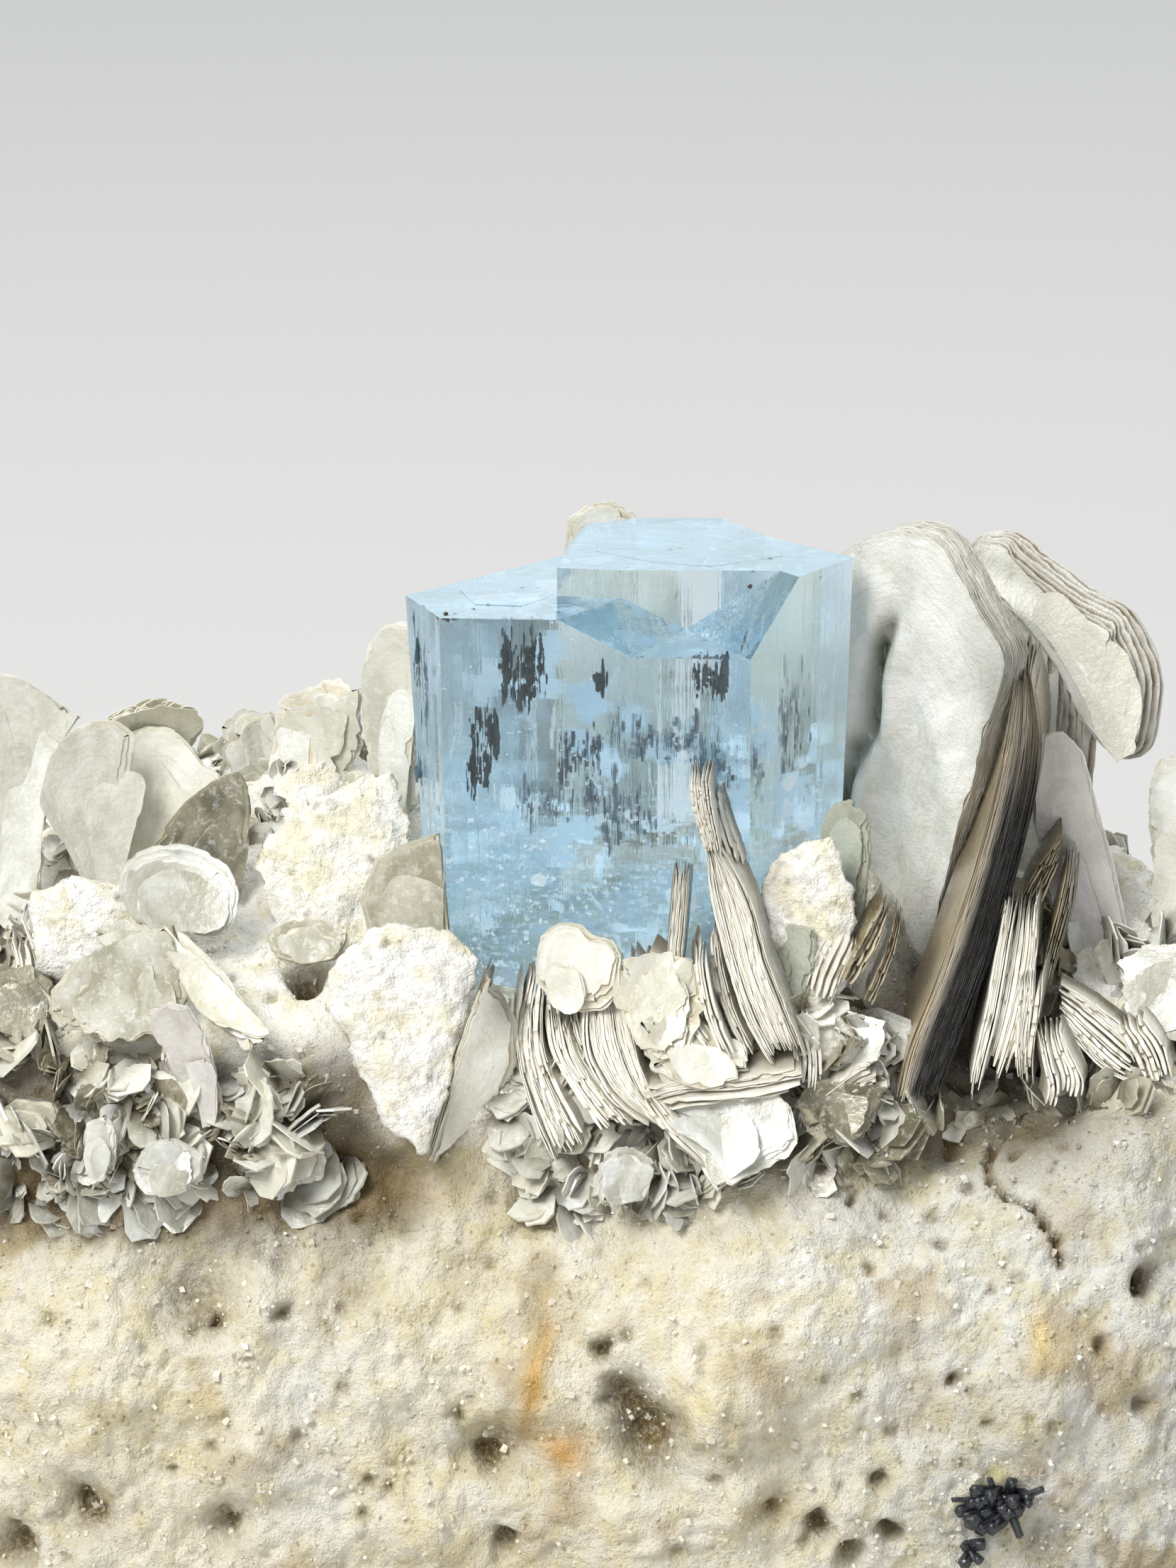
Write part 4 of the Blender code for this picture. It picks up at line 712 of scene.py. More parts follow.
def rock_relief(P, N):
    """Outward relief (mm) and how hollow each point is."""
    base = np.array([0.9 * noise.noise((p[0] * 0.13, p[1] * 0.13, p[2] * 0.13))
                     + 0.45 * noise.noise((p[0] * 0.33 + 7, p[1] * 0.33 + 3, p[2] * 0.33 + 1))
                     for p in P])
    n3 = fbm(P, 0.55, 3, 3)
    n4 = fbm(P, 1.7, 3, 4)
    f1, f2, tone = cells(P, 1.55, 7)
    g1, g2, _ = cells(P, 3.1, 8)
    rough = smoothstep(-0.5, 0.5, fbm(P, 0.12, 2, 21))
    d = base * 1.1 + 0.40 * n3 + 0.14 * n4
    ledge = smoothstep(25.5, 28.5, P[:, 2])
    d += (0.19 * (0.55 - f1) + 0.09 * (0.5 - g1)) * (0.35 + 0.9 * np.maximum(rough, ledge))
    # crumbly steps: shelves that break off sharply
    st = fbm(P, 0.22, 3, 77) * 3.2
    d += front_zone(P) * 0.34 * (np.floor(st) + smoothstep(0.30, 0.62, st - np.floor(st)) - st)
    h1, _, ht = cells(P, 0.52, 12)
    pore = smoothstep(0.26, 0.10, h1) * (ht > 0.35)
    d -= 0.28 * pore
    front = smoothstep(-9, -13, P[:, 1])
    cav = pore * 0.6
    wob = 0.22 * n3 + 0.10 * n4
    sx = P[:, 0] + 0.55 * pn(P, 0.55, 301) + 0.26 * pn(P, 1.4, 302)
    sz = P[:, 2] + 0.55 * pn(P, 0.55, 303) + 0.26 * pn(P, 1.4, 304)
    for (p, r, depth, stain_and_shade) in _front:
        rr = ((sx - p[0]) ** 2 + (sz - p[2]) ** 2) / (r * r)
        m = rr < 5
        if not m.any():
            continue
        k = np.zeros(len(P))
        k[m] = np.exp(-(rr[m] * (1 + 0.9 * wob[m])) ** (1.5 if r < 1 else 1.1) * 1.15)
        d -= front * depth * 1.35 * k
        cav += stain_and_shade * k * (1 if depth > 0 else 0)
    # the dome's ragged lower rim and the nodule's popcorn surface
    q = ((P[:, 0] - 6.0) / 2.6) ** 2 + ((P[:, 2] - 14.4) / 1.9) ** 2
    d += front * np.exp(-q) * 0.35 * (0.5 - f1)
    cav += front * np.exp(-q) * smoothstep(0.45, 0.75, f1) * 0.4
    # crack
    for a, b in zip(_crack[:-1], _crack[1:]):
        ab = b - a
        s = (((P - a) @ ab) / (ab @ ab)).clip(0, 1)
        e = np.linalg.norm(P - (a + s[:, None] * ab), axis=1) + 0.10 * n4
        k = smoothstep(0.34, 0.08, e)
        d -= 0.55 * k
        cav += 0.75 * k
    # the hole in the left ledge, painted dark brown inside as shade
    e = np.sqrt(((P[:, 0] + 13.6) / 0.95) ** 2 + ((P[:, 1] + 8.2) / 1.5) ** 2 + ((P[:, 2] - 33.6) / 2.4) ** 2)
    k = smoothstep(1.25, 0.55, e)
    d -= 2.3 * k
    cav += 1.6 * k
    return d * np.minimum(1.0, P[:, 2] / 2.5), cav.clip(0, 1)


def grid_faces(ni, nj, wrap=False):
    i, j = np.meshgrid(np.arange(ni - 1), np.arange(nj if wrap else nj - 1), indexing='ij')
    i, j = i.ravel(), j.ravel()
    k = (j + 1) % nj
    return np.stack([i * nj + j, (i + 1) * nj + j, (i + 1) * nj + k, i * nj + k], 1)


def build_rock():
    u = np.linspace(-1, 1, NX)
    xs = ROCK_HALF_LENGTH * np.sign(u) * np.abs(u) ** 0.96
    ts = np.concatenate([np.linspace(0, 9.2, NT_FRONT), np.linspace(9.2, 13, NT_BACK)[1:]])
    # even steps along the front's own length
    probe = rock_base(np.array([0.0]), ts)[0]
    s = np.concatenate([[0], np.cumsum(np.linalg.norm(np.diff(probe, axis=0), axis=1))])
    k = NT_FRONT - 1
    ts[:k + 1] = np.interp(np.linspace(0, s[k], k + 1), s[:k + 1], ts[:k + 1])
    ts[0], ts[-1] = 0.0, 13.0
    G = rock_base(xs, ts)
    N = grid_normals(G)
    P, n = G.reshape(-1, 3), N.reshape(-1, 3)
    d, cav = rock_relief(P, n)
    nx, nt = len(xs), len(ts)
    H = P + n * d[:, None]
    H[:, 2] = np.maximum(H[:, 2], 0.0)
    H = H.reshape(nx, nt, 3)
    H[:, 0, 2] = 0.0
    H[:, -1, 2] = 0.0
    H[0, :, 0], H[-1, :, 0] = -ROCK_HALF_LENGTH, ROCK_HALF_LENGTH
    tint = rock_tint(P, n, cav)
    soup = Soup()
    V = [H.reshape(-1, 3)]
    F = [tuple(f) for f in grid_faces(nx, nt)]
    # flat sawn base
    base_idx = []
    count = nx * nt
    extra = []
    for i in range(nx):
        a, b = H[i, -1], H[i, 0]
        row = [i * nt + nt - 1]
        for q in range(1, N_BASE):
            extra.append(a + (b - a) * q / N_BASE)
            row.append(count)
            count += 1
        row.append(i * nt)
        base_idx.append(row)
    for i in range(nx - 1):
        for q in range(N_BASE):
            F.append((base_idx[i][q], base_idx[i + 1][q], base_idx[i + 1][q + 1], base_idx[i][q + 1]))
    V.append(np.array(extra))
    # broken ends: shrinking rings with hackly relief
    allV = np.concatenate(V)
    end_pts = []
    for i in (0, nx - 1):
        side = -1 if i == 0 else 1
        loop = [i * nt + j for j in range(nt)] + base_idx[i][1:-1]
        L = allV[loop]
        c = L.mean(0)
        wrap = np.concatenate([L[-24:], L, L[:24]])
        smooth_loop = np.stack([np.convolve(wrap[:, q], np.hanning(49) / np.hanning(49).sum(), 'same')[24:-24]
                                for q in range(3)], 1)
        prev = loop
        steps = 26
        for r in range(1, steps + 1):
            w = r / steps
            flow = L + (smooth_loop - L) * min(1.0, w * 3.0)
            flow[:, 2] = np.maximum(flow[:, 2], 0.0)
            Q = flow + (c - flow) * (1 - (1 - w) ** 1.15)
            swell = 2.3 * math.sin(min(1.0, w * 2.6) * math.pi / 2) * (1 - 0.25 * w)
            z = Q[:, 2]
            foot = np.minimum(1.0, z / 2.0)
            rel = 0.70 * fbm(Q, 0.20, 3, 40 + side) + 0.42 * fbm(Q, 0.75, 3, 43) \
                + 0.34 * (0.5 - cells(Q, 1.0, 45)[0])
            Q[:, 0] = L[:, 0] + side * np.maximum(0.05, (swell + rel * min(1.0, w * 4)) * (0.55 + 0.45 * foot))
            if r < steps:
                idx = list(range(count, count + len(loop)))
                count += len(loop)
                end_pts.append(Q)
                m = len(loop)
                for q in range(m):
                    q2 = (q + 1) % m
                    f = (prev[q], prev[q2], idx[q2], idx[q])
                    F.append(f if side > 0 else f[::-1])
                prev = idx
            else:
                end_pts.append(Q.mean(0)[None])
                for q in range(len(loop)):
                    f = (prev[q], prev[(q + 1) % len(loop)], count)
                    F.append(f if side > 0 else f[::-1])
                count += 1
    E = np.concatenate([np.array(extra)] + end_pts)
    # every face turned outwards
    A = np.concatenate([H.reshape(-1, 3), E])
    mid = A.mean(0)
    out = []
    for f in F:
        q = A[list(f)]
        nf = np.cross(q[1] - q[0], q[2] - q[0])
        if len(f) == 4:
            nf = nf + np.cross(q[2] - q[0], q[3] - q[0])
        c = q.mean(0) - mid
        if f[0] < nx * nt and f[-1] < nx * nt and max(f) < nx * nt:
            out.append(f)
            continue
        axis = 0 if abs(c[0]) > ROCK_HALF_LENGTH - 0.6 and q[:, 2].max() > 1e-6 else 2
        out.append(f if nf[axis] * c[axis] > 0 else f[::-1])
    F = out
    ne = np.tile(np.array((0.0, 0.3, 0.3)), (len(E), 1))
    ctint = rock_tint(E, ne, None)
    soup.add(np.concatenate([H.reshape(-1, 3), E]), F,
             tint=np.concatenate([tint, ctint]),
             cav=np.concatenate([cav, np.zeros(len(E))]))
    return soup, H


rock_soup, ROCK_GRID = build_rock()

# ------------------------------------------------------------------ crystal
PRISM = [(-7.10, -7.0), (7.70, -8.0), (12.85, -0.6), (8.75, 3.8), (6.70, 7.6),
         (2.35, 7.6), (-1.30, 5.5), (-8.88, -2.6)]
PRISM_ROOT_SHIFT = [(0.40, 0.30), (0.10, 0.30), (-0.60, 0.0), (-0.40, -0.2),
                    (-0.30, -0.4), (0.10, -0.4), (0.40, -0.4), (1.20, 0.0)]
CRYSTAL_ROOT_Z = 31.2
LEVEL_LOW_Z = 50.2       # lower basal face, left part
LEVEL_HIGH_Z = 51.6      # raised basal face, right and back
# The step up to the raised face: plan of its left and front sides
RAISED_PLAN = [(-1.5, -2.7), (1.7, -3.2), (6.1, -3.2), (9.1, -3.3), (16.0, -3.4),
               (16.0, 12.0), (2.6, 12.0), (-0.9, 2.2)]
# Terrace at the front edge and the two ramps that rise from it: points on each
NOTCH = (4.75, -3.2, 48.7)
FRONT_EDGE_RIGHT = (7.70, -8.0, 48.4)
FRONT_EDGE_MID = (2.0, -7.6, 48.4)
LEFT_RAMP_TOP = (1.65, -3.2, 50.2)
RIGHT_RAMP_TOP = (9.97, -4.74, 51.4)


def striated_plan(shift, seed=3):
    """Plan of the prism with fine growth striations cut into each side."""
    out = []
    n = len(PRISM)
    rng = np.random.default_rng(seed)
    for i in range(n):
        a = np.array(PRISM[i]) + (np.array(PRISM_ROOT_SHIFT[i]) if shift else 0)
        b = np.array(PRISM[(i + 1) % n]) + (np.array(PRISM_ROOT_SHIFT[(i + 1) % n]) if shift else 0)
        e = (b - a) / np.linalg.norm(b - a)
        inward = np.array((-e[1], e[0]))
        length = np.linalg.norm(np.array(PRISM[(i + 1) % n]) - np.array(PRISM[i]))
        k = max(4, int(length / 0.34))
        cuts = np.sort(rng.uniform(0.02, 0.98, k))
        depth, level = [], 0.0
        for c in cuts:
            if rng.random() < 0.45:
                level = abs(rng.normal(0, 0.018)) if rng.random() < 0.8 else rng.uniform(0.03, 0.06)
            depth.append(level)
        depth[0] = depth[-1] = 0.004
        out.append(tuple(a))
        for c, d in zip(cuts, depth):
            out.append(tuple(a + (b - a) * c + inward * d))
    return out


TOP_PLAN = striated_plan(False)
ROOT_PLAN = striated_plan(True)


def crystal_prism(top_z, root_z):
    bm = bmesh.new()
    k = (top_z - root_z) / (LEVEL_HIGH_Z - root_z)
    a = [bm.verts.new((x, y, root_z)) for x, y in ROOT_PLAN]
    b = [bm.verts.new((x + (p - x) * k, y + (q - y) * k, top_z))
         for (x, y), (p, q) in zip(ROOT_PLAN, TOP_PLAN)]
    n = len(a)
    bm.faces.new(list(reversed(a)))
    bm.faces.new(b)
    for i in range(n):
        bm.faces.new((a[i], a[(i + 1) % n], b[(i + 1) % n], b[i]))
    return bm


def slice_off(bm, point, normal):
    g = bmesh.ops.bisect_plane(bm, geom=bm.verts[:] + bm.edges[:] + bm.faces[:],
                               plane_co=Vector(point), plane_no=Vector(normal), clear_outer=True)
    edges = [e for e in g["geom_cut"] if isinstance(e, bmesh.types.BMEdge)]
    bmesh.ops.edgeloop_fill(bm, edges=edges)


def plane_normal(a, b, c):
    n = (Vector(b) - Vector(a)).cross(Vector(c) - Vector(a)).normalized()
    return n if n.z > 0 else -n


def tool(name, bm):
    bmesh.ops.recalc_face_normals(bm, faces=bm.faces)
    me = bpy.data.meshes.new(name)
    bm.to_mesh(me)
    bm.free()
    ob = bpy.data.objects.new(name, me)
    bpy.context.scene.collection.objects.link(ob)
    return ob


def boolean(ob, other, op):
    m = ob.modifiers.new(op.lower(), 'BOOLEAN')
    m.operation = op
    m.solver = 'EXACT'
    m.object = other
    bpy.context.view_layer.update()
    dg = bpy.context.evaluated_depsgraph_get()
    me = bpy.data.meshes.new_from_object(ob.evaluated_get(dg))
    ob.modifiers.clear()
    ob.data = me


def block(plan, z0, z1):
    bm = bmesh.new()
    a = [bm.verts.new((x, y, z0)) for x, y in plan]
    b = [bm.verts.new((x, y, z1)) for x, y in plan]
    n = len(a)
    bm.faces.new(list(reversed(a)))
    bm.faces.new(b)
    for i in range(n):
        bm.faces.new((a[i], a[(i + 1) % n], b[(i + 1) % n], b[i]))
    return bm


def big_block(size, planes, top=60.0):
    """A broad block, cut by planes, that reaches well past the prism's sides."""
    bm = block([(-size, -size), (size, -size), (size, size), (-size, size)], 40.0 - size, top)
    for co, no in planes:
        slice_off(bm, co, no)
    return bm


def build_crystal():
    ramp_front = (NOTCH, plane_normal(NOTCH, FRONT_EDGE_RIGHT, FRONT_EDGE_MID))
    ramp_left = (NOTCH, plane_normal(NOTCH, LEFT_RAMP_TOP, (1.6, -7.7, 48.6)))
    ramp_right = (NOTCH, plane_normal(NOTCH, FRONT_EDGE_RIGHT, RIGHT_RAMP_TOP))

    def join(a, b):
        boolean(a, b, 'UNION')
        bpy.data.objects.remove(b, do_unlink=True)

    def level(ob, z):
        lid = tool("lid", block([(-40, -40), (40, -40), (40, 40), (-40, 40)], 0.0, z))
        boolean(ob, lid, 'INTERSECT')
        bpy.data.objects.remove(lid, do_unlink=True)

    ob = tool("crystal_build", big_block(20.0, [ramp_front]))
    join(ob, tool("left_level", big_block(21.0, [ramp_left])))
    level(ob, LEVEL_LOW_Z)
    high = tool("right_ramp", big_block(22.0, [ramp_right]))
    join(high, tool("raised_level", block([(x * 1.6 if abs(x) > 15 else x, y * 1.6 if y > 11 else y)
                                          for x, y in RAISED_PLAN], 35.0, 61.0)))
    level(high, LEVEL_HIGH_Z)
    join(ob, high)
    # thin growth layers on the two basal faces
    for plan, z0, z1 in GROWTH_LAYERS:
        join(ob, tool("layer", block(plan, z0 - 2.0, z1)))
    prism = tool("prism", crystal_prism(58.0, CRYSTAL_ROOT_Z))
    boolean(ob, prism, 'INTERSECT')
    bpy.data.objects.remove(prism, do_unlink=True)
    # merge doubles, drop degenerate edges and triangulate
    bm = bmesh.new()
    bm.from_mesh(ob.data)
    bmesh.ops.remove_doubles(bm, verts=bm.verts, dist=0.002)
    bmesh.ops.dissolve_degenerate(bm, edges=bm.edges, dist=0.001)
    bmesh.ops.triangulate(bm, faces=bm.faces)
    bm.to_mesh(ob.data)
    bm.free()
    V = np.empty(len(ob.data.vertices) * 3)
    ob.data.vertices.foreach_get("co", V)
    F = [tuple(p.vertices) for p in ob.data.polygons]
    bpy.data.objects.remove(ob, do_unlink=True)
    s = Soup()
    s.add(V.reshape(-1, 3), F)
    return s


GROWTH_LAYERS = [
    ([(-5.4, -4.4), (-3.2, -4.7), (-1.9, -2.9), (-2.2, 0.6), (-3.6, 1.4), (-5.2, 0.4), (-6.2, -1.6)], 50.2, 50.222),
    ([(3.2, -1.6), (6.0, -2.4), (9.4, -0.4), (8.2, 3.0), (4.6, 4.4), (2.0, 2.4), (0.4, 0.6)], 51.6, 51.618),
]

crystal_soup = build_crystal()


# What is sealed in it: pale fluid veils, denser towards the root, and dark
# growth tubes along its length
def plan_inside(x, y, inset=0.25):
    ok = np.ones(len(x), bool)
    n = len(PRISM)
    for i in range(n):
        a, b = np.array(PRISM[i]), np.array(PRISM[(i + 1) % n])
        e = (b - a) / np.linalg.norm(b - a)
        ok &= (e[0] * (y - a[1]) - e[1] * (x - a[0])) > inset + 0.05
    return ok


def flake_cloud(P, size, rng, aspect=1.0, vertical=0.0):
    """Small four-cornered films at the points P, as thin closed lozenges."""
    n = len(P)
    a = rng.normal(size=(n, 3))
    a[:, 2] = a[:, 2] * (1 - vertical) + vertical * 3.0
    a /= np.linalg.norm(a, axis=1, keepdims=True)
    b = np.cross(a, rng.normal(size=(n, 3)))
    b /= np.linalg.norm(b, axis=1, keepdims=True)
    c = np.cross(a, b)
    s = size[:, None]
    A, B, C = a * s * aspect, b * s, c * s * 0.12
    V = np.stack([P + A, P + B, P - A, P - B, P + C, P - C], 1).reshape(-1, 3)
    base = np.arange(n)[:, None] * 6
    tri = np.array([(0, 1, 4), (1, 2, 4), (2, 3, 4), (3, 0, 4), (1, 0, 5), (2, 1, 5), (3, 2, 5), (0, 3, 5)])
    F = (base[:, None, :] + tri[None]).reshape(-1, 3)
    return V, F


def veil_sheet(c, normal, w, h, rng, seed):
    """A wavy, ragged film of tiny bubbles, as one thin closed sheet."""
    n = np.array(normal, float)
    n /= np.linalg.norm(n)
    u = np.cross(n, (0.05, 0.1, 1.0))
    u /= np.linalg.norm(u)
    v = np.cross(n, u)
    nu, nv = 14, 12
    a, b = np.meshgrid(np.linspace(-1, 1, nu), np.linspace(-1, 1, nv), indexing='ij')
    r = np.hypot(a, b)
    P = c + (a * w)[..., None] * u + (b * h)[..., None] * v
    P = P.reshape(-1, 3)
    P = P + n * (0.45 * pn(P, 0.35, seed) + 0.14 * pn(P, 1.1, seed + 1))[:, None]
    hide = (r.ravel() + 0.75 * pn(P, 0.8, seed + 2) + 0.35 * pn(P, 2.0, seed + 3)) > 0.82
    ok = (~hide) & plan_inside(P[:, 0], P[:, 1], 0.20) & (P[:, 2] < 49.0) & (P[:, 2] > 31.2)
    ok = ok.reshape(nu, nv)
    quad = ok[:-1, :-1] & ok[1:, :-1] & ok[1:, 1:] & ok[:-1, 1:]
    idx = np.arange(nu * nv).reshape(nu, nv)
    t = 0.02
    V = np.concatenate([P + n * t, P - n * t])
    o = nu * nv
    F = []
    for i in range(nu - 1):
        for j in range(nv - 1):
            if not quad[i, j]:
                continue
            q = (idx[i, j], idx[i + 1, j], idx[i + 1, j + 1], idx[i, j + 1])
            F.append(q)
            F.append((q[3] + o, q[2] + o, q[1] + o, q[0] + o))
            for (di, dj, e0, e1) in ((0, -1, q[0], q[1]), (1, 0, q[1], q[2]), (0, 1, q[2], q[3]), (-1, 0, q[3], q[0])):
                ii, jj = i + di, j + dj
                if not (0 <= ii < nu - 1 and 0 <= jj < nv - 1 and quad[ii, jj]):
                    F.append((e1, e0, e0 + o, e1 + o))
    if not F:
        return None
    used = sorted({k for f in F for k in f})
    remap = {k: i for i, k in enumerate(used)}
    return V[used], [tuple(remap[k] for k in f) for f in F]


def build_veils():
    rng = np.random.default_rng(11)
    s = Soup()
    # milky root: wavy films, crowded at the bottom and along the right base
    for k in range(120):
        q = rng.random()
        z = 31.8 + 8.6 * q ** 1.9
        c = np.array((rng.uniform(-7.4, 10.4), rng.uniform(-6.6, 5.0), z))
        if k % 4 == 0:
            c[0], c[2] = rng.uniform(7.0, 11.4), rng.uniform(32.5, 43.0)
        nrm = rng.normal(size=3) * (0.9, 1.0, 0.6)
        got = veil_sheet(c, nrm, rng.uniform(0.35, 1.5), rng.uniform(0.3, 1.1), rng, 200 + 3 * k)
        if got is not None:
            V, F = got
            s.add(V, F, tint=np.tile(lin(236, 249, 255) * rng.uniform(0.88, 1.0), (len(V), 1)))
    # pale upright wisps through the clear part
    for k in range(46):
        c = np.array((rng.uniform(-7.2, 11.0), rng.uniform(-6.6, 2.5), rng.uniform(38.5, 48.0)))
        got = veil_sheet(c, (rng.normal(), rng.normal(), 0.05 * rng.normal()), rng.uniform(0.05, 0.14),
                         rng.uniform(0.5, 2.4), rng, 700 + 3 * k)
        if got is not None:
            V, F = got
            s.add(V, F, tint=np.tile(lin(206, 222, 228) * rng.uniform(0.7, 1.0), (len(V), 1)))
    # hazy healed planes in the rear half of the clear part
    for k in range(28):
        c = np.array((rng.uniform(-6.8, 10.6), rng.uniform(0.5, 6.0), rng.uniform(37.5, 46.5)))
        got = veil_sheet(c, (0.35 * rng.normal(), 1.0, 0.25 * rng.normal()), rng.uniform(0.5, 1.7),
                         rng.uniform(0.6, 1.9), rng, 1000 + 3 * k)
        if got is not None:
            V, F = got
            s.add(V, F, tint=np.tile(lin(196, 219, 230) * rng.uniform(0.75, 1.0), (len(V), 1)))
    # single bubbles and films, thinning out upwards
    N = 26000
    P = np.stack([rng.uniform(-9.5, 13, N), rng.uniform(-8.2, 7.6, N), rng.uniform(31.6, 50.6, N)], 1)
    z = P[:, 2]
    patch = fbm(P * (1, 1, 0.55), 0.42, 4, 61)
    wisp = fbm(P * (1.6, 1.6, 0.35), 0.6, 3, 66)
    low = smoothstep(42.5, 35.0, z + 2.2 * patch)
    mid = smoothstep(48.0, 41.0, z) * smoothstep(0.12, 0.65, patch) * 0.5
    thin = 0.06 * smoothstep(-0.1, 0.5, wisp)
    right = smoothstep(7.5, 10.5, P[:, 0]) * smoothstep(45, 38, z) * 0.6
    keep = (rng.random(N) < (low * 0.42 + mid + thin + right * 0.4)) & plan_inside(P[:, 0], P[:, 1], 0.22)
    keep &= z < 49.4
    P = P[keep][:5200]
    size = rng.uniform(0.03, 0.11, len(P)) * (0.8 + 0.5 * (P[:, 2] < 40))
    V, F = flake_cloud(P, size, rng, 1.2, 0.1)
    t = lin(238, 248, 253)[None] * rng.uniform(0.85, 1.0, (len(P), 1))
    s.add(V, F, tint=np.repeat(t, 6, 0))
    return s


TUBE_PATCHES = [
    # pixel box u0, v0, u1, v1, depth y behind the face, count, darkness
    (706, 889, 772, 985, -6.5, 95, 1.0), (712, 955, 745, 996, -6.4, 26, 0.9),
    (660, 1000, 704, 1058, -6.2, 60, 0.95), (658, 1045, 694, 1116, -6.1, 55, 1.0),
    (838, 944, 858, 974, -6.6, 22, 1.0), (974, 930, 1026, 976, -6.9, 60, 0.95),
    (790, 1026, 846, 1090, -5.6, 44, 0.75), (600, 900, 612, 1040, -4.6, 26, 0.6),
    (580, 870, 603, 985, -3.6, 50, 0.9), (860, 1000, 1000, 1066, -4.6, 70, 0.40),
    (850, 1100, 930, 1190, -5.0, 40, 0.40), (1070, 940, 1160, 1090, -3.4, 80, 0.30),
    (1180, 840, 1200, 860, 0.0, 10, 0.8), (585, 1060, 600, 1110, -3.0, 14, 0.7),
    (630, 835, 720, 862, -5.6, 36, 0.5), (980, 1030, 1050, 1120, -4.2, 44, 0.30),
    (740, 1090, 860, 1150, -5.4, 50, 0.30),
]


def build_tubes():
    rng = np.random.default_rng(23)
    s = Soup()
    for (u0, v0, u1, v1, y, count, dark) in TUBE_PATCHES:
        cu, cv, hu, hv = (u0 + u1) / 2, (v0 + v1) / 2, (u1 - u0) / 2, (v1 - v0) / 2
        cols = rng.uniform(-1, 1, max(4, int(hu / 5)))
        for k in range(int(count * 1.9)):
            a = cols[rng.integers(len(cols))] + rng.normal(0, 0.09)
            if rng.random() < 0.35:
                a = rng.uniform(-1, 1)
            b = rng.normal(0, 0.45)
            u, v = cu + hu * a, cv + hv * b
            c = at(u, v, y + rng.uniform(-0.15, 0.30))
            if not plan_inside(np.array([c[0]]), np.array([c[1]]), 0.12)[0] or c[2] > 50.0:
                continue
            h = min(0.08 + rng.gamma(1.7, 0.11), 0.75)
            w = min(0.014 + rng.gamma(1.4, 0.030), 0.13)
            n = 4
            zs = np.linspace(-1, 1, n)
            V = []
            for q, e in enumerate(zs):
                ww = w * (1 - 0.5 * abs(e) ** 3) * rng.uniform(0.6, 1.2)
                x = c[0] + rng.normal(0, 0.008)
                V += [(x - ww, c[1], c[2] + e * h), (x, c[1] - 0.015, c[2] + e * h),
                      (x + ww, c[1], c[2] + e * h), (x, c[1] + 0.015, c[2] + e * h)]
            V += [(c[0], c[1], c[2] - h * 1.1), (c[0], c[1], c[2] + h * 1.1)]
            F = []
            for q in range(n - 1):
                for r in range(4):
                    F.append((q * 4 + r, q * 4 + (r + 1) % 4, q * 4 + 4 + (r + 1) % 4, q * 4 + 4 + r))
            for r in range(4):
                F.append(((r + 1) % 4, r, n * 4))
                F.append(((n - 1) * 4 + r, (n - 1) * 4 + (r + 1) % 4, n * 4 + 1))
            t = (lin(22, 58, 66) * dark ** 2 + lin(122, 148, 162) * (1 - dark ** 2)) * rng.uniform(0.6, 1.5)
            s.add(V, F, tint=np.tile(t.clip(0, 1), (len(V), 1)))
    # small brown mineral specks under the basal faces
    for (u, v, y, r) in [(944, 781, 1.0, 0.10), (960, 777, 1.4, 0.07), (1076, 782, -0.5, 0.07),
                         (1088, 790, -0.8, 0.10), (1062, 800, -1.6, 0.06), (628, 868, -6.2, 0.12),
                         (640, 866, -6.0, 0.10), (690, 846, -4.4, 0.12), (668, 856, -5.2, 0.09),
                         (737, 806, -1.0, 0.10), (729, 812, -1.6, 0.07), (1058, 826, -3.0, 0.10),
                         (1134, 810, -1.0, 0.05), (1100, 772, 0.6, 0.05)]:
        c = at(u, v, y)
        zt = LEVEL_HIGH_Z if u > 880 else LEVEL_LOW_Z
        c[2] = min(c[2], zt - 0.12)
        V, F = flake_cloud(c[None] + rng.normal(size=(5, 3)) * r * 0.6, np.full(5, r), rng, 1.4)
        s.add(V, F, tint=np.tile(lin(70, 58, 44), (len(V), 1)))
    return s


# ---------------------------------------------------------------- muscovite
def closed_spline(pts, m, crisp=0.7):
    """m points at even steps along a smooth closed curve through pts."""
    P = np.array(pts, float)
    area = np.sum(P[:, 0] * np.roll(P[:, 1], -1) - np.roll(P[:, 0], -1) * P[:, 1])
    if area < 0:
        P = P[::-1]
    n = len(P)
    t = np.linspace(0, n, 40 * n, endpoint=False)
    i = np.floor(t).astype(int)
    f = (t - i)[:, None]
    p0, p1, p2, p3 = P[(i - 1) % n], P[i % n], P[(i + 1) % n], P[(i + 2) % n]
    C = 0.5 * (2 * p1 + (p2 - p0) * f + (2 * p0 - 5 * p1 + 4 * p2 - p3) * f ** 2
               + (3 * p1 - p0 - 3 * p2 + p3) * f ** 3)
    C = (1 - crisp) * C + crisp * (p1 + (p2 - p1) * f)  # cleavage plates keep their corners
    L = np.linalg.norm(np.roll(C, -1, 0) - C, axis=1)
    s = np.concatenate([[0], np.cumsum(L)])
    q = np.linspace(0, s[-1], m, endpoint=False)
    X = np.concatenate([C, C[:1]])
    return np.stack([np.interp(q, s, X[:, 0]), np.interp(q, s, X[:, 1])], 1), s[-1]


def plate_matrix(c, az, lean):
    m = (Matrix.Translation(Vector(c)) @ Matrix.Rotation(math.radians(az), 4, 'Z')
         @ Matrix.Rotation(math.radians(-lean), 4, 'X') @ Matrix.Rotation(math.radians(90), 4, 'X'))
    return np.array(m)


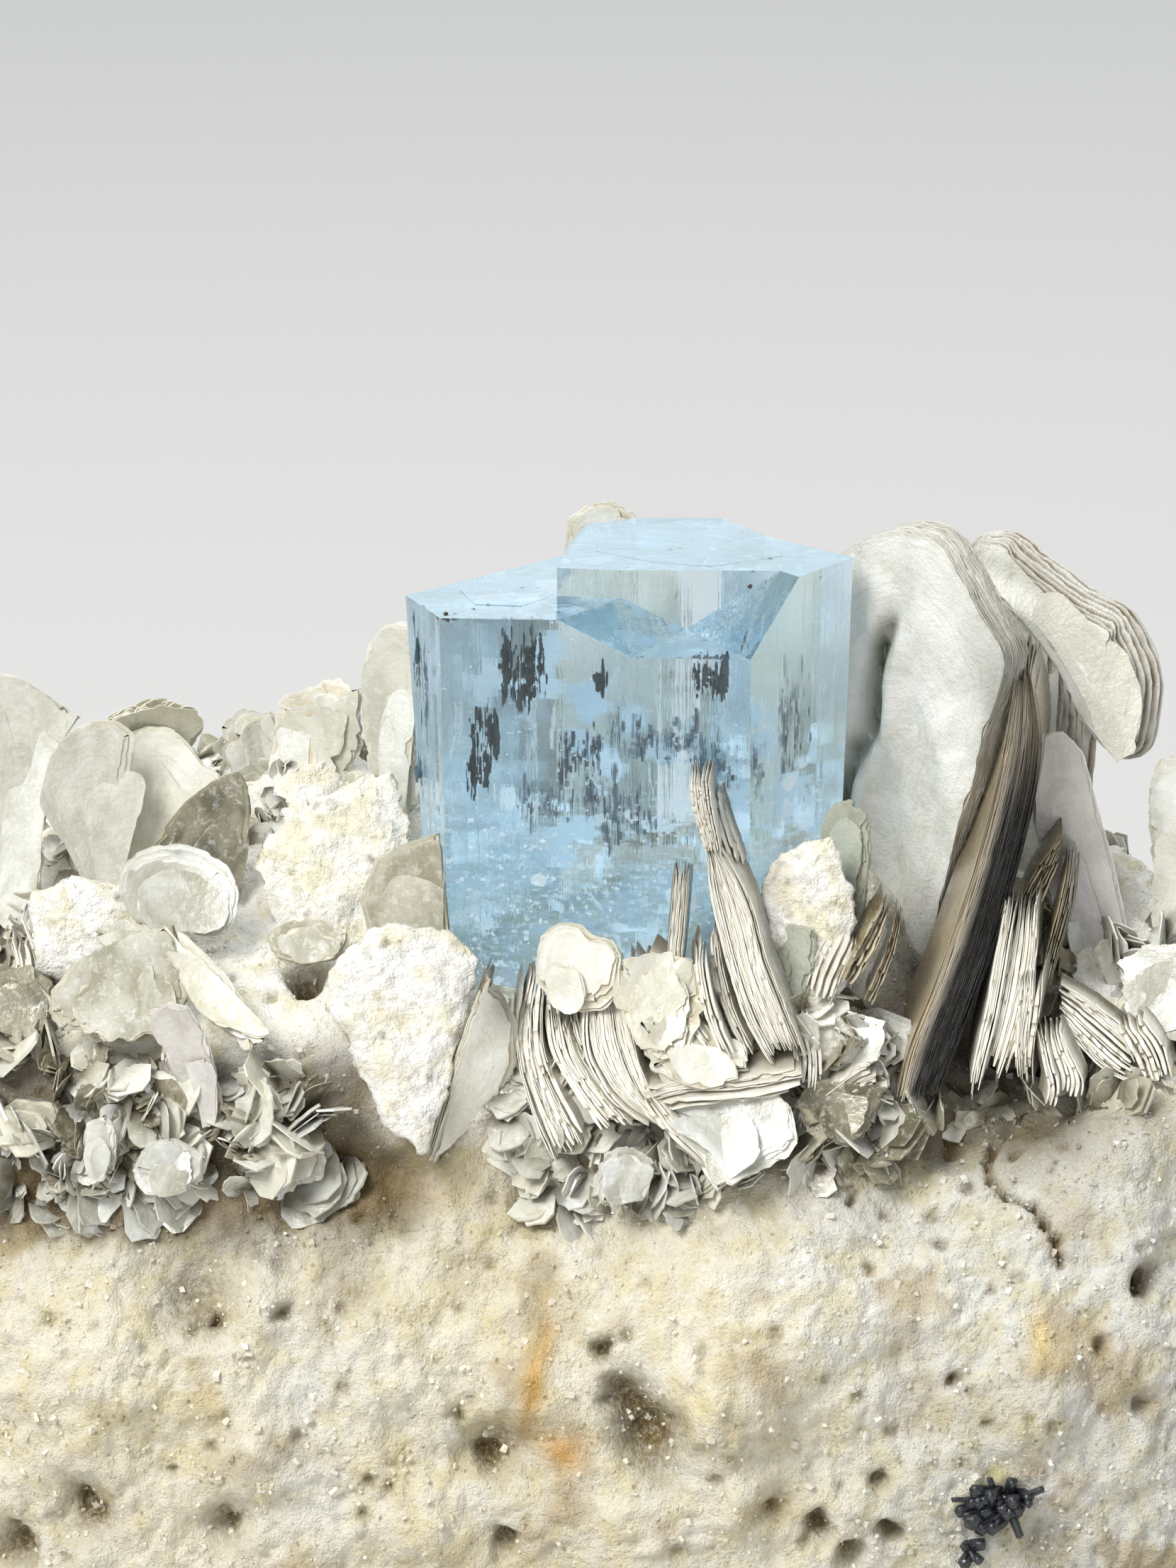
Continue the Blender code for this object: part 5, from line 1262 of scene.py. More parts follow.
def chips(P, amp, seed):
    """Abrupt small steps along a broken edge."""
    n = pn(P, 0.75, seed)
    m = pn(P, 2.3, seed + 1)
    return -amp * (1.3 * smoothstep(0.22, 0.26, n) + 0.6 * smoothstep(0.28, 0.32, m))


def leaf_book(soup, c, outline, t, az, lean, kx=0.0, kz=0.0, leaves=6, jag=0.12, terrace=0.0,
              tdir=(0.0, -1.0), wave=0.18, wfreq=0.22, ripple=0.10, splay=(0.0, 0.0), step=0.26,
              seed=1, groove=0.30, relief=None, shade=None, rings=(0.86, 0.62, 0.34), crisp=0.7,
              curl=0.0, M=None, matrix=None):
    """A book of mica: leaves stacked through its thickness, each with its own ragged
    rim and lift, deep grooves between neighbours, and front leaves that stop short."""
    if M is None:
        _, per = closed_spline(outline, 200, crisp)
        M = int(min(max(per / step, 22), 230))
    base, _ = closed_spline(outline, M, crisp)
    tan = np.roll(base, -1, 0) - np.roll(base, 1, 0)
    tan /= np.maximum(np.linalg.norm(tan, axis=1, keepdims=True), 1e-9)
    nrm = np.stack([tan[:, 1], -tan[:, 0]], 1)
    size = math.sqrt(abs(np.sum(base[:, 0] * np.roll(base[:, 1], -1) - np.roll(base[:, 0], -1) * base[:, 1])) / 2)
    td = np.array(tdir, float)
    td /= max(np.linalg.norm(td), 1e-9)
    face = (nrm @ td) * 0.5 + 0.5
    rng = np.random.default_rng(seed * 7 + 3)

    def surf(X):
        P3 = np.stack([X[:, 0], X[:, 1], np.full(len(X), seed * 3.7)], 1)
        z = kx * X[:, 0] ** 2 + kz * X[:, 1] ** 2 + wave * pn(P3, wfreq, seed) + 0.35 * wave * pn(P3, wfreq * 3.1, seed + 5)
        if relief is not None:
            z = z + relief(X)
        return z

    def offset(k):
        P3 = np.stack([base[:, 0], base[:, 1], np.full(M, k * 0.85 + seed * 5.1)], 1)
        P4 = np.stack([base[:, 0], base[:, 1], np.full(M, k * 1.9 + seed * 2.3)], 1)
        j = min(jag, 0.05 * size)
        o = j * (1.6 * pn(P3, 0.45, seed + 2) + 0.7 * pn(P4, 1.2, seed + 3) + 0.35 * pn(P4, 3.6, seed + 4)) - j * 0.6
        o = o + chips(P3, j * 1.6, seed + 6) + 0.5 * chips(P4, j * 1.4, seed + 7)
        front = max(0.0, 1.0 - k / max(1.0, leaves * 0.55))
        back = max(0.0, 1.0 - (leaves - 1 - k) / max(1.0, leaves * 0.35))
        o = o - terrace * front * (0.12 + face ** 1.6) - 0.4 * terrace * back * (0.15 + 0.5 * face)
        return np.maximum(o, -0.42 * size)

    gaps = rng.uniform(0.5, 1.6, leaves)
    pos = np.cumsum(gaps)
    pos = t / 2 - t * (pos - gaps * 0.5) / pos[-1]
    V, A_bk, A_rim, A_con, A_leaf, A_sh, F = [], [], [], [], [], [], []
    count = 0

    def add_loop(X, zo, rim, leaf, r, k, fade=1.0):
        nonlocal count
        sp = np.clip(1 + splay[0] * X[:, 0] + splay[1] * X[:, 1], 0.12, 3.0)
        z = surf(X) + zo * sp
        rr = np.linalg.norm(X, axis=1) / max(size, 1e-6)
        P3 = np.stack([X[:, 0], X[:, 1], np.full(len(X), k * 2.7 + seed)], 1)
        z = z + min(ripple, 0.035 * size) * pn(P3, min(0.8, 1.6 / size), seed + 9) * smoothstep(0.2, 0.8, rr) * fade
        if curl:
            z = z + curl * (1 - 2 * k / max(1, leaves - 1)) * smoothstep(0.35, 1.25, rr) ** 2
        V.append(np.stack([X[:, 0], X[:, 1], z], 1))
        A_bk.append(np.stack([X[:, 0], X[:, 1], np.full(len(X), zo)], 1) + seed * 1.7)
        A_rim.append(np.full(len(X), rim))
        A_con.append(np.full(len(X), (1 - r) * size))
        A_leaf.append(np.full(len(X), leaf))
        A_sh.append(shade(X) if shade is not None else np.zeros(len(X)))
        idx = np.arange(count, count + len(X))
        count += len(X)
        return idx

    offs = [offset(k) for k in range(leaves)]
    tones = rng.random(leaves)

    def strip(a, b):
        F.append(np.stack([a, np.roll(a, -1), np.roll(b, -1), b], 1))

    def cap(first, X0, zo, leaf, flip, k):
        prev = first
        for r in (rings if not flip else rings[::2]):
            cur = add_loop(X0 * r, zo, 0.0, leaf, r, k)
            a, b = (cur, prev) if flip else (prev, cur)
            strip(a, b)
            prev = cur
        mid = add_loop(np.zeros((1, 2)), zo, 0.0, leaf, 0.0, k)
        p2 = np.roll(prev, -1)
        m0 = np.full(len(prev), mid[0])
        F.append(np.stack([p2, prev, m0] if flip else [prev, p2, m0], 1))

    prev = None
    pitch = t / leaves
    for k in range(leaves):
        zk = pos[k]
        X = base + nrm * offs[k][:, None]
        th = min(pitch * gaps[k] * 0.28, 0.11)
        th = max(th, 0.022)
        top = add_loop(X, zk + th, 0.22, tones[k], 1.0, k)
        if k == 0:
            cap(top, X, zk + th, tones[0], False, k)
        else:
            strip(top, prev)
        bot = add_loop(X + nrm * 0.01, zk - th, 0.52, tones[k], 1.0, k)
        strip(bot, top)
        if k < leaves - 1:
            g = np.minimum(offs[k], offs[k + 1]) - groove * rng.uniform(0.5, 1.5)
            g = np.maximum(g, -0.5 * size)
            gx = base + nrm * g[:, None]
            # the groove loop's rim of 1.0 paints it with the dark groove colour as shade
            prev = add_loop(gx, (zk + pos[k + 1]) / 2, 1.0, tones[k], 1.0, k, 0.8)
            strip(prev, bot)
        else:
            cap(bot, X, zk - th, tones[k], True, k)
    V = np.concatenate(V)
    m = plate_matrix(c, az, lean) if matrix is None else matrix
    W = V @ m[:3, :3].T + m[:3, 3]
    faces = []
    for f in F:
        faces.extend(f.tolist())
    attrs = dict(bk=np.concatenate(A_bk), rim=np.concatenate(A_rim), con=np.concatenate(A_con),
                 leaf=np.concatenate(A_leaf))
    if shade is not None:
        attrs["shade"] = np.concatenate(A_sh)
    soup.add(W, faces, **attrs)
    return size


def companions(soup, c, outline, t, az, lean, kx, kz, count, seed, jag, wave, reach=0.9, root=None,
               shade=False, spread=8.0):
    """Single sheets beside a book: they share its root and stand off it a little."""
    rng = np.random.default_rng(seed * 11 + 5)
    O = np.array(outline, float)
    lo = O[np.argmin(O[:, 1])] if root is None else np.array(root, float)
    for i in range(count):
        s = rng.uniform(0.62, 1.0) * reach
        rot = math.radians(rng.normal(0, 7))
        R = np.array([[math.cos(rot), -math.sin(rot)], [math.sin(rot), math.cos(rot)]])
        pts = lo + ((O - lo) * s * np.array([rng.uniform(0.75, 1.05), 1.0])) @ R.T
        side = 1 if i % 2 == 0 else -1
        dz = side * (t / 2 + rng.uniform(0.05, 0.22))
        turn = az + rng.normal(0, spread)
        tilt = lean + side * rng.uniform(1.0, spread)
        kw = dict(shade=(lambda X: np.zeros(len(X)))) if shade else {}
        # the offset along the normal is laid into the sheet's own centre
        m = plate_matrix(c, turn, tilt)
        m[:3, 3] += m[:3, 2] * dz
        leaf_book(soup, c, pts, 0.10, turn, tilt, kx + rng.normal(0, 0.012), kz + rng.normal(0, 0.012),
                  leaves=2, jag=jag * 1.2, wave=wave * 0.8, ripple=0.06, step=0.34, seed=seed + 17 * (i + 1),
                  groove=0.10, rings=(0.75, 0.4), matrix=m, curl=0.0, **kw)


def resample(P, m):
    P = np.array(P, float)
    d = np.concatenate([[0], np.cumsum(np.linalg.norm(np.diff(P, axis=0), axis=1))])
    t = np.interp(np.linspace(0, d[-1], 60), d, np.arange(len(P)))
    C = catmull_rows(P, t)
    d = np.concatenate([[0], np.cumsum(np.linalg.norm(np.diff(C, axis=0), axis=1))])
    q = np.linspace(0, d[-1], m)
    return np.stack([np.interp(q, d, C[:, k]) for k in range(3)], 1)


def edge_fan(soup, left, right, n, depth, back=(0.0, 1.0, 0.1), fill=0.55, seed=1, rag=0.12, nu=26,
             nd=4, jitter=0.25, curl=0.25, tmax=0.26, lead=0.35, rim0=0.45, dark=None):
    """Leaves seen edge-on, spread between a left and a right line given as (u, v, y)."""
    L = resample([at(*p) for p in left], nu)
    R = resample([at(*p) for p in right], nu)
    rng = np.random.default_rng(seed)
    bk0 = np.array(back, float)
    bk0 /= np.linalg.norm(bk0)
    # sheets of uneven thickness, gathered in a few books with their own reach
    wd = rng.gamma(1.6, 1.0, n) * jitter * 2 + 0.5
    wd = wd / wd.sum()
    mids = np.cumsum(wd) - wd / 2
    G = max(2, int(round(n / 5.0)))
    cuts = np.sort(rng.random(G - 1))
    g_lead, g_s0, g_s1 = rng.uniform(-1.4, 1.4, G), rng.random(G) ** 2, rng.random(G) ** 1.5
    g_tone = rng.normal(0, 0.10, G)
    for i in range(n):
        w = mids[i]
        g = int(np.searchsorted(cuts, w))
        last = i == n - 1 or int(np.searchsorted(cuts, mids[i + 1])) != g
        s0 = rag * (0.7 * g_s0[g] + 0.3 * rng.random() ** 2)
        s1 = 1 - rag * (0.7 * g_s1[g] + 0.3 * rng.random() ** 1.5)
        q = np.linspace(s0, s1, nu) * (nu - 1)
        j = np.clip(np.floor(q).astype(int), 0, nu - 2)
        f = (q - j)[:, None]
        l, r = L[j] * (1 - f) + L[j + 1] * f, R[j] * (1 - f) + R[j + 1] * f
        path = l * (1 - w) + r * w
        sp = np.linalg.norm(r - l, axis=1)
        across = (r - l) / np.maximum(sp, 1e-6)[:, None]
        bend = 0.03 * pn(np.stack([q * 0.3, np.full(nu, i * 0.9), np.full(nu, seed * 1.1)], 1), 1.0, seed)
        path = path + across * bend[:, None] + bk0 * (rng.uniform(-lead, lead) * 0.3 + g_lead[g] * lead
                + 0.44 * lead * pn(np.stack([q * 0.35, np.full(nu, i * 2.1), np.full(nu, 3.3)], 1), 1.0, seed + 1)
                + 0.60 * lead * smoothstep(0.2, 0.3, pn(np.stack([q * 0.5, np.full(nu, i * 1.3), np.full(nu, 7.3)], 1), 1.0, seed + 2)))[:, None]
        th = np.clip(sp * wd[i] * fill * (0.6 if last else 1.0), 0.03, tmax)
        tip = np.minimum(1, np.minimum(np.arange(nu) + 0.6, nu - np.arange(nu) - 0.4) / 3.0)
        d = depth * rng.uniform(0.75, 1.1)
        tilt = rng.normal(0, 0.05)
        V, bkA, rimA, shA = [], [], [], []
        for side in (-1, 1):
            for jd in range(nd):
                e = jd / (nd - 1)
                taper = 0.80 if jd == 0 else 1.0
                X = path + bk0 * (d * e) + across * (tilt * d * e + curl * e * e * (w - 0.5)) \
                    + across * (side * th / 2 * taper * (0.35 + 0.65 * tip))[:, None]
                V.append(X)
                bkA.append(np.stack([np.full(nu, d * e), q * 0.4, np.full(nu, i * 0.37 + side * 0.03)], 1))
                rimA.append(np.full(nu, rim0 if jd == 0 else (0.12 if jd == 1 else 0.0)))
                shA.append(np.full(nu, (0.0, 0.15, 0.72, 0.85)[min(jd, 3)]))
        V = np.concatenate(V)
        F = []
        for side in (0, 1):
            o = side * nd * nu
            for jd in range(nd - 1):
                for k in range(nu - 1):
                    a, b, c2, d2 = o + jd * nu + k, o + jd * nu + k + 1, o + (jd + 1) * nu + k + 1, o + (jd + 1) * nu + k
                    F.append((a, b, c2, d2) if side else (d2, c2, b, a))
        o = nd * nu
        for jd in range(nd - 1):            # the two ends
            F.append((jd * nu, (jd + 1) * nu, o + (jd + 1) * nu, o + jd * nu)[::-1])
            e2 = nu - 1
            F.append((jd * nu + e2, (jd + 1) * nu + e2, o + (jd + 1) * nu + e2, o + jd * nu + e2))
        for k in range(nu - 1):             # front and rear edges
            F.append((k, k + 1, o + k + 1, o + k)[::-1])
            z = (nd - 1) * nu
            F.append((z + k, z + k + 1, o + z + k + 1, o + z + k))
        F = [f[::-1] for f in F]
        con = np.tile(q / (nu - 1), 2 * nd)
        sh = np.concatenate(shA)
        if dark:
            # darker toward the lower right: the edge's own black-brown, deepened by painted shade
            sh = np.maximum(sh * 0.5, 0.97 * smoothstep(dark[0], dark[0] + 0.3, w) * smoothstep(dark[1], dark[1] + 0.3, con))
        soup.add(V, F, bk=np.concatenate(bkA) + seed, rim=np.concatenate(rimA), con=con,
                 leaf=np.full(len(V), np.clip(w + g_tone[g] * (0.4 if dark else 1.0) + rng.normal(0, 0.04), 0, 1)),
                 shade=sh)


def local_outline(poly, c, az, lean):
    """Outline, in the plate's own plane, of what covers the pixel polygon."""
    m = plate_matrix(c, az, lean)
    ex, ey, ez, o = m[:3, 0], m[:3, 1], m[:3, 2], m[:3, 3]
    out = []
    for u, v in poly:
        d = ray(u, v)
        p = EYE + d * (((o - EYE) @ ez) / (d @ ez))
        out.append(((p - o) @ ex, (p - o) @ ey))
    return out


def unit(A):
    return A / np.maximum(np.linalg.norm(A, axis=-1, keepdims=True), 1e-9)


def petals(soup, P, D, N, size, rng, sheets=3, K=10, spread=0.22, slim=(0.30, 0.62)):
    """Tufts of thin angular mica sheets. Each tuft is rooted at P, grows along D and
    shows its faces along N."""
    P, D, N = np.asarray(P, float), unit(np.asarray(D, float)), np.asarray(N, float)
    m = len(P)
    P, D, N = np.repeat(P, sheets, 0), np.repeat(D, sheets, 0), np.repeat(N, sheets, 0)
    size = np.repeat(np.asarray(size, float), sheets)
    n = len(P)
    N = unit(N - D * np.sum(N * D, 1, keepdims=True))
    U = np.cross(D, N)
    a = rng.normal(0, spread, n)[:, None]
    b = rng.normal(0, spread, n)[:, None]
    D2 = unit(D + U * a + N * b)
    N2 = unit(N - D2 * np.sum(N * D2, 1, keepdims=True) + U * rng.normal(0, spread * 0.7, n)[:, None])
    N2 = unit(N2 - D2 * np.sum(N2 * D2, 1, keepdims=True))
    U2 = np.cross(D2, N2)
    size = size * rng.uniform(0.65, 1.1, n)
    w = size * rng.uniform(slim[0], slim[1], n)
    th = np.linspace(0, 2 * math.pi, K, endpoint=False)[None] + rng.uniform(-0.20, 0.20, (n, K))
    r = rng.uniform(0.84, 1.08, (n, K))
    # squared shoulders: straight cleavage edges with real corners
    cx, cy = np.sin(th), np.cos(th)
    sq = 1 / np.maximum(np.maximum(np.abs(cx), np.abs(cy)), 0.84)
    X = w[:, None] * cx * r * sq
    Y = size[:, None] * (0.46 + 0.56 * cy * r * sq * 0.95)
    bend = rng.normal(0, 0.16, n) / size
    twist = rng.normal(0, 0.22, n) / size
    th2 = (np.maximum(0.012, size * rng.uniform(0.012, 0.035, n)))[:, None]

    def place(x, y, z):
        zz = z + bend[:, None] * (y - 0.3 * size[:, None]) ** 2 + twist[:, None] * x * y * 0.5
        return P[:, None] + x[..., None] * U2[:, None] + y[..., None] * D2[:, None] + zz[..., None] * N2[:, None]

    yc = 0.46 * size[:, None]
    front = place(X, Y, th2 * np.ones_like(X))
    back = place(X, Y, -th2 * np.ones_like(X))
    mx, my = X * 0.55, yc + (Y - yc) * 0.55
    mid = place(mx, my, th2 + rng.normal(0, 0.02, mx.shape) * size[:, None])
    zero = np.zeros((n, 1))
    cf = place(zero, yc, th2 + 0.02 * size[:, None])
    cb = place(zero, yc, -th2)
    V = np.concatenate([front, back, mid, cf, cb], 1)
    per = 3 * K + 2
    i = np.arange(K)
    j = (i + 1) % K
    quads = np.concatenate([np.stack([i, j, 2 * K + j, 2 * K + i], 1),          # front, rim to ring
                            np.stack([j, i, K + i, K + j], 1)])                 # side
    tris = np.concatenate([np.stack([2 * K + i, 2 * K + j, np.full(K, 3 * K)], 1),
                           np.stack([K + j, K + i, np.full(K, 3 * K + 1)], 1)])
    # a right-handed frame (U x D = -N) turns the winding round
    base = (np.arange(n) * per)[:, None, None]
    F = (quads[None, :, ::-1] + base).reshape(-1, 4).tolist() + (tris[None, :, ::-1] + base).reshape(-1, 3).tolist()
    tone = rng.random(n)
    loc = np.concatenate([np.stack([X, Y, th2 * np.ones_like(X)], -1), np.stack([X, Y, -th2 * np.ones_like(X)], -1),
                          np.stack([mx, my, zero + np.zeros_like(mx)], -1),
                          np.stack([zero, yc, zero], -1), np.stack([zero, yc, zero], -1)], 1)
    loc = loc + rng.uniform(0, 40, (n, 1, 3))
    rim = np.concatenate([np.full((n, K), 0.20), np.full((n, K), 0.40), np.zeros((n, K + 2))], 1)
    con = np.concatenate([np.zeros((n, 2 * K)), np.repeat(w[:, None] * 0.45, K, 1), w[:, None], w[:, None]], 1)
    yy = np.concatenate([Y, Y, my, yc, yc], 1) / size[:, None]
    deep = 0.85 * smoothstep(0.62, 0.08, yy)
    soup.add(V.reshape(-1, 3), F, bk=loc.reshape(-1, 3), rim=rim.ravel(), con=con.ravel(),
             leaf=np.repeat(tone, per), shade=deep.ravel())


BOOKS = [
    # upright fan at the right of the crystal, with its thick layered edge
    ("muscovite_fan_main", [
        ((15.2, 2.2, 41.0), [(-4.8, -10.8), (-4.2, -2.1), (-3.3, 5.4), (-2.7, 9.9), (0.4, 11.7),
                             (2.9, 11.9), (4.8, 10.1), (6.3, 7.5), (6.9, 5.8), (5.6, 1.3),
                             (4.3, -3.1), (3.0, -8.0), (1.9, -12.5), (-0.3, -14.6), (-2.5, -13.2)],
         2.6, -32, -3, 0.010, 0.003)]),
    ("muscovite_fan_edge", [
        ((19.3, -0.6, 36.0), [(4.3, 11.9), (5.2, 7.6), (4.5, 3.0), (3.1, -1.3), (1.4, -6.5),
                              (-1.4, -11.3), (-5.0, -13.2), (-4.1, -9.1), (-2.7, -5.9), (-1.1, -1.3),
                              (0.7, 3.7), (2.6, 8.3)], 2.2, -52, -3, 0.006, 0.002)]),
    ("muscovite_fan_back", [
        ((24.5, 7.4, 46.0), [(-5.7, 2.8), (-5.4, 4.2), (-4.6, 4.7), (-3.1, 4.7), (-1.1, 3.3),
                             (0.7, 2.0), (2.8, 0.9), (4.1, -1.4), (4.4, -3.0), (4.0, -5.9),
                             (2.4, -6.6), (0.4, -4.8), (-0.9, -2.4), (-2.9, 0.1)],
         3.4, -10, 6, 0.012, 0.012),
        ((22.6, 7.8, 40.6), [(-2.6, 8.0), (0.6, 8.6), (2.6, 5.4), (3.0, 0.0), (2.6, -7.2),
                             (-2.0, -7.8), (-2.8, 0.4)], 2.0, -22, 4, 0.012, 0.0)]),
    ("muscovite_pale_blade", [
        ((25.2, 2.6, 38.2), [(-1.8, 5.3), (0.4, 5.3), (1.8, 3.0), (2.1, -1.0), (2.0, -4.5),
                             (0.8, -7.6), (-0.6, -7.8), (-1.4, -2.3), (-2.0, 1.7)],
         0.8, 8, 4, 0.02, 0.004)]),
    ("muscovite_brown_blades", [
        ((22.0, -2.4, 35.0), [(1.3, 3.6), (1.3, 1.7), (0.6, -1.5), (-0.2, -4.6), (-1.2, -1.4),
                              (-0.8, 2.1)], 0.8, 35, -4, 0.01, 0.0),
        ((23.0, -2.9, 34.2), [(1.6, 3.4), (1.3, 1.0), (0.4, -2.4), (-0.6, -4.1), (-1.0, -1.0),
                              (-0.4, 2.0)], 0.7, 48, 0, 0.01, 0.0)]),
    ("muscovite_vertical_cluster", [
        ((18.9, -7.0, 31.0), [(-0.2, 4.4), (1.2, 0.0), (1.2, -3.7), (0.3, -5.9), (-0.8, -2.1),
                              (-0.9, 2.0)], 0.8, 50, -3, 0.01, 0.0),
        ((20.2, -6.6, 30.9), [(-0.4, 5.0), (0.9, 1.9), (0.9, -2.3), (-0.5, -5.5), (-1.4, -2.1),
                              (-1.5, 2.6)], 0.8, 60, 0, 0.01, 0.0),
        ((21.3, -6.0, 31.2), [(-0.1, 3.4), (0.9, 0.7), (0.6, -2.0), (-0.7, -5.0), (-1.3, -1.3),
                              (-0.9, 1.4)], 0.8, 45, 4, 0.01, 0.0)]),
    ("muscovite_wedge_right", [
        ((25.4, -7.2, 29.6), [(-2.6, 2.5), (-1.0, 2.9), (0.9, 1.4), (2.6, -1.2), (2.4, -2.2),
                              (0.9, -1.9), (-1.1, -1.7), (-2.7, -2.8), (-3.1, 0.2)],
         1.6, 10, 30, 0.01, 0.02)]),
    ("muscovite_silver_right", [
        ((28.2, -4.4, 30.8), [(-2.6, 1.0), (-1.4, 2.2), (1.4, 2.4), (2.9, 0.6), (2.3, -2.0),
                              (-0.7, -2.5), (-2.0, -1.1)], 0.9, -14, 22, 0.04, 0.02)]),
    ("muscovite_lobe_right", [
        ((30.0, 4.0, 36.2), [(-2.3, 2.5), (-1.6, 4.0), (0.2, 4.2), (1.9, 2.9), (1.9, -0.3),
                             (1.4, -5.0), (-1.3, -5.6), (-2.0, -1.4)], 1.0, -20, 6, 0.03, 0.0)]),
    ("muscovite_grey_a", [
        ((12.6, -11.4, 30.1), [(-2.3, 0.2), (-1.9, 1.3), (-0.2, 1.9), (1.7, 1.6), (1.8, -0.4),
                               (-0.3, -1.5), (-1.9, -1.0)], 0.8, -12, 34, 0.04, 0.02)]),
    ("muscovite_grey_b", [
        ((12.2, -13.8, 27.6), [(-2.6, 0.6), (-1.7, 1.7), (0.1, 1.9), (2.2, 1.1), (1.6, -0.8),
                               (-0.5, -1.5), (-2.2, -0.8)], 0.8, 10, 24, 0.04, 0.02)]),
    # rosette in front of the crystal
    ("muscovite_triangle_blade", [
        ((-5.4, -12.8, 29.0), [(0.1, 5.9), (0.9, 4.5), (2.2, 3.2), (2.2, 0.5), (0.9, -1.9),
                               (-0.9, -3.2), (-2.3, -4.3), (-1.7, -0.3), (-0.8, 3.3)],
         0.7, 28, -8, 0.02, 0.0)]),
    ("muscovite_chip", [
        ((-4.6, -10.0, 32.1), [(-1.2, -0.2), (-0.1, 0.9), (1.3, 0.6), (1.1, -1.0), (-0.2, -1.4)],
         0.5, 8, 40, 0.0, 0.0)]),
    ("muscovite_radial_fan", [
        ((-1.6, -13.2, 28.8), [(-3.0, 5.8), (-1.5, 4.7), (0.3, 0.4), (1.9, -3.9), (2.0, -5.8),
                               (-0.3, -2.5), (-2.6, 2.0)], 0.6, 50, -12, 0.01, 0.0),
        ((0.0, -13.9, 28.6), [(-3.4, 5.9), (-1.8, 4.9), (0.5, 0.9), (2.1, -2.7), (2.0, -3.9),
                              (-0.6, -0.4), (-2.6, 3.0)], 0.6, 44, -14, 0.01, 0.0),
        ((1.9, -14.4, 28.4), [(-3.2, 5.2), (-0.8, 3.5), (1.2, 0.4), (2.3, -1.8), (1.1, -1.6),
                              (-1.1, 1.3), (-2.5, 3.2)], 0.6, 38, -12, 0.01, 0.0)]),
    ("muscovite_round_book", [
        ((-0.4, -11.8, 33.9), [(-1.9, 1.0), (-1.0, 2.0), (0.6, 2.4), (1.8, 1.7), (2.3, 0.2),
                               (1.7, -1.4), (0.1, -1.9), (-1.4, -1.2), (-2.1, -0.2)],
         1.2, -18, 14, 0.06, 0.03)]),
    ("muscovite_s_book", [
        ((1.3, -13.2, 30.8), [(-2.0, 3.6), (-1.0, 4.0), (0.5, 2.7), (1.4, 0.3), (1.8, -2.7),
                              (1.3, -4.4), (0.1, -3.1), (-1.1, -0.4)], 1.1, 30, -6, 0.03, 0.01)]),
    ("muscovite_wavy_sheets", [
        ((4.0, -12.4, 32.2), [(-2.8, 2.4), (-0.9, 3.0), (1.1, 2.6), (2.1, 1.2), (2.0, -1.2),
                              (0.5, -2.4), (-1.5, -2.3), (-2.7, -0.3)], 0.9, -6, 24, 0.04, 0.03),
        ((4.6, -13.6, 30.2), [(-2.6, 1.4), (-0.6, 2.1), (1.6, 1.9), (2.6, 0.2), (1.8, -1.6),
                              (-0.4, -2.0), (-2.2, -1.0)], 0.8, 8, 36, 0.04, 0.03)]),
    ("muscovite_upright_book", [
        ((4.6, -10.4, 35.2), [(-1.2, 2.4), (-0.7, 3.4), (0.6, 3.3), (1.2, 1.0), (1.0, -2.3),
                              (0.5, -3.4), (-0.5, -2.9), (-1.1, -0.1)], 1.2, 30, -3, 0.01, 0.0)]),
    ("muscovite_spike", [
        ((6.8, -11.4, 36.4), [(-2.7, 7.3), (-2.0, 7.8), (-1.1, 7.2), (0.3, 3.5), (1.8, 0.0),
                              (3.7, -4.4), (4.9, -8.1), (3.4, -8.6), (1.2, -5.3), (-0.6, -0.6),
                              (-1.7, 3.9)], 0.9, 40, -3, 0.006, 0.0),
        ((8.2, -11.9, 33.6), [(-2.2, 4.6), (-1.2, 5.0), (0.6, 1.6), (2.2, -2.4), (3.2, -5.6),
                              (1.6, -6.2), (-0.4, -2.0)], 0.9, 32, -5, 0.006, 0.0)]),
    ("muscovite_silver_plate", [
        ((6.6, -15.6, 27.0), [(-3.9, 0.4), (-3.1, 2.1), (-1.1, 3.0), (1.6, 2.9), (3.2, 1.4),
                              (3.0, -1.0), (1.3, -2.7), (-1.1, -2.5), (-3.2, -1.3)],
         0.8, -8, 30, 0.03, 0.02)]),
    ("muscovite_small_front", [
        ((1.6, -16.2, 25.0), [(-1.4, 0.3), (-0.8, 1.6), (0.6, 1.8), (1.7, 0.9), (1.2, -0.8),
                              (-0.4, -1.1), (-1.2, -0.9)], 0.6, 16, 20, 0.03, 0.0)]),
    ("muscovite_green_plate", [
        ((12.4, -6.0, 38.6), [(-1.5, 0.2), (-0.9, 1.9), (0.3, 2.5), (1.3, 1.7), (1.5, -0.4),
                              (1.3, -3.4), (0.1, -4.0), (-1.2, -3.2)], 0.6, -30, 6, 0.02, 0.0)]),
    ("muscovite_right_blades", [
        ((13.2, -9.6, 34.6), [(-1.1, -2.9), (-0.8, 0.4), (0.6, 1.9), (1.6, 2.1), (1.3, 0.3),
                              (0.4, -2.7)], 0.6, 36, -4, 0.01, 0.0),
        ((14.6, -9.2, 34.0), [(-1.1, -2.9), (-0.6, 0.2), (0.8, 1.7), (1.7, 1.7), (1.3, 0.0),
                              (0.5, -2.7)], 0.6, 44, 2, 0.01, 0.0)]),
    ("muscovite_mid_leaf", [
        ((9.3, -10.2, 33.6), [(-1.4, 0.8), (-0.4, 2.4), (1.3, 2.3), (1.9, 0.2), (1.3, -2.0),
                              (-0.9, -2.1)], 0.7, -34, 20, 0.02, 0.02)]),
    # left ledge
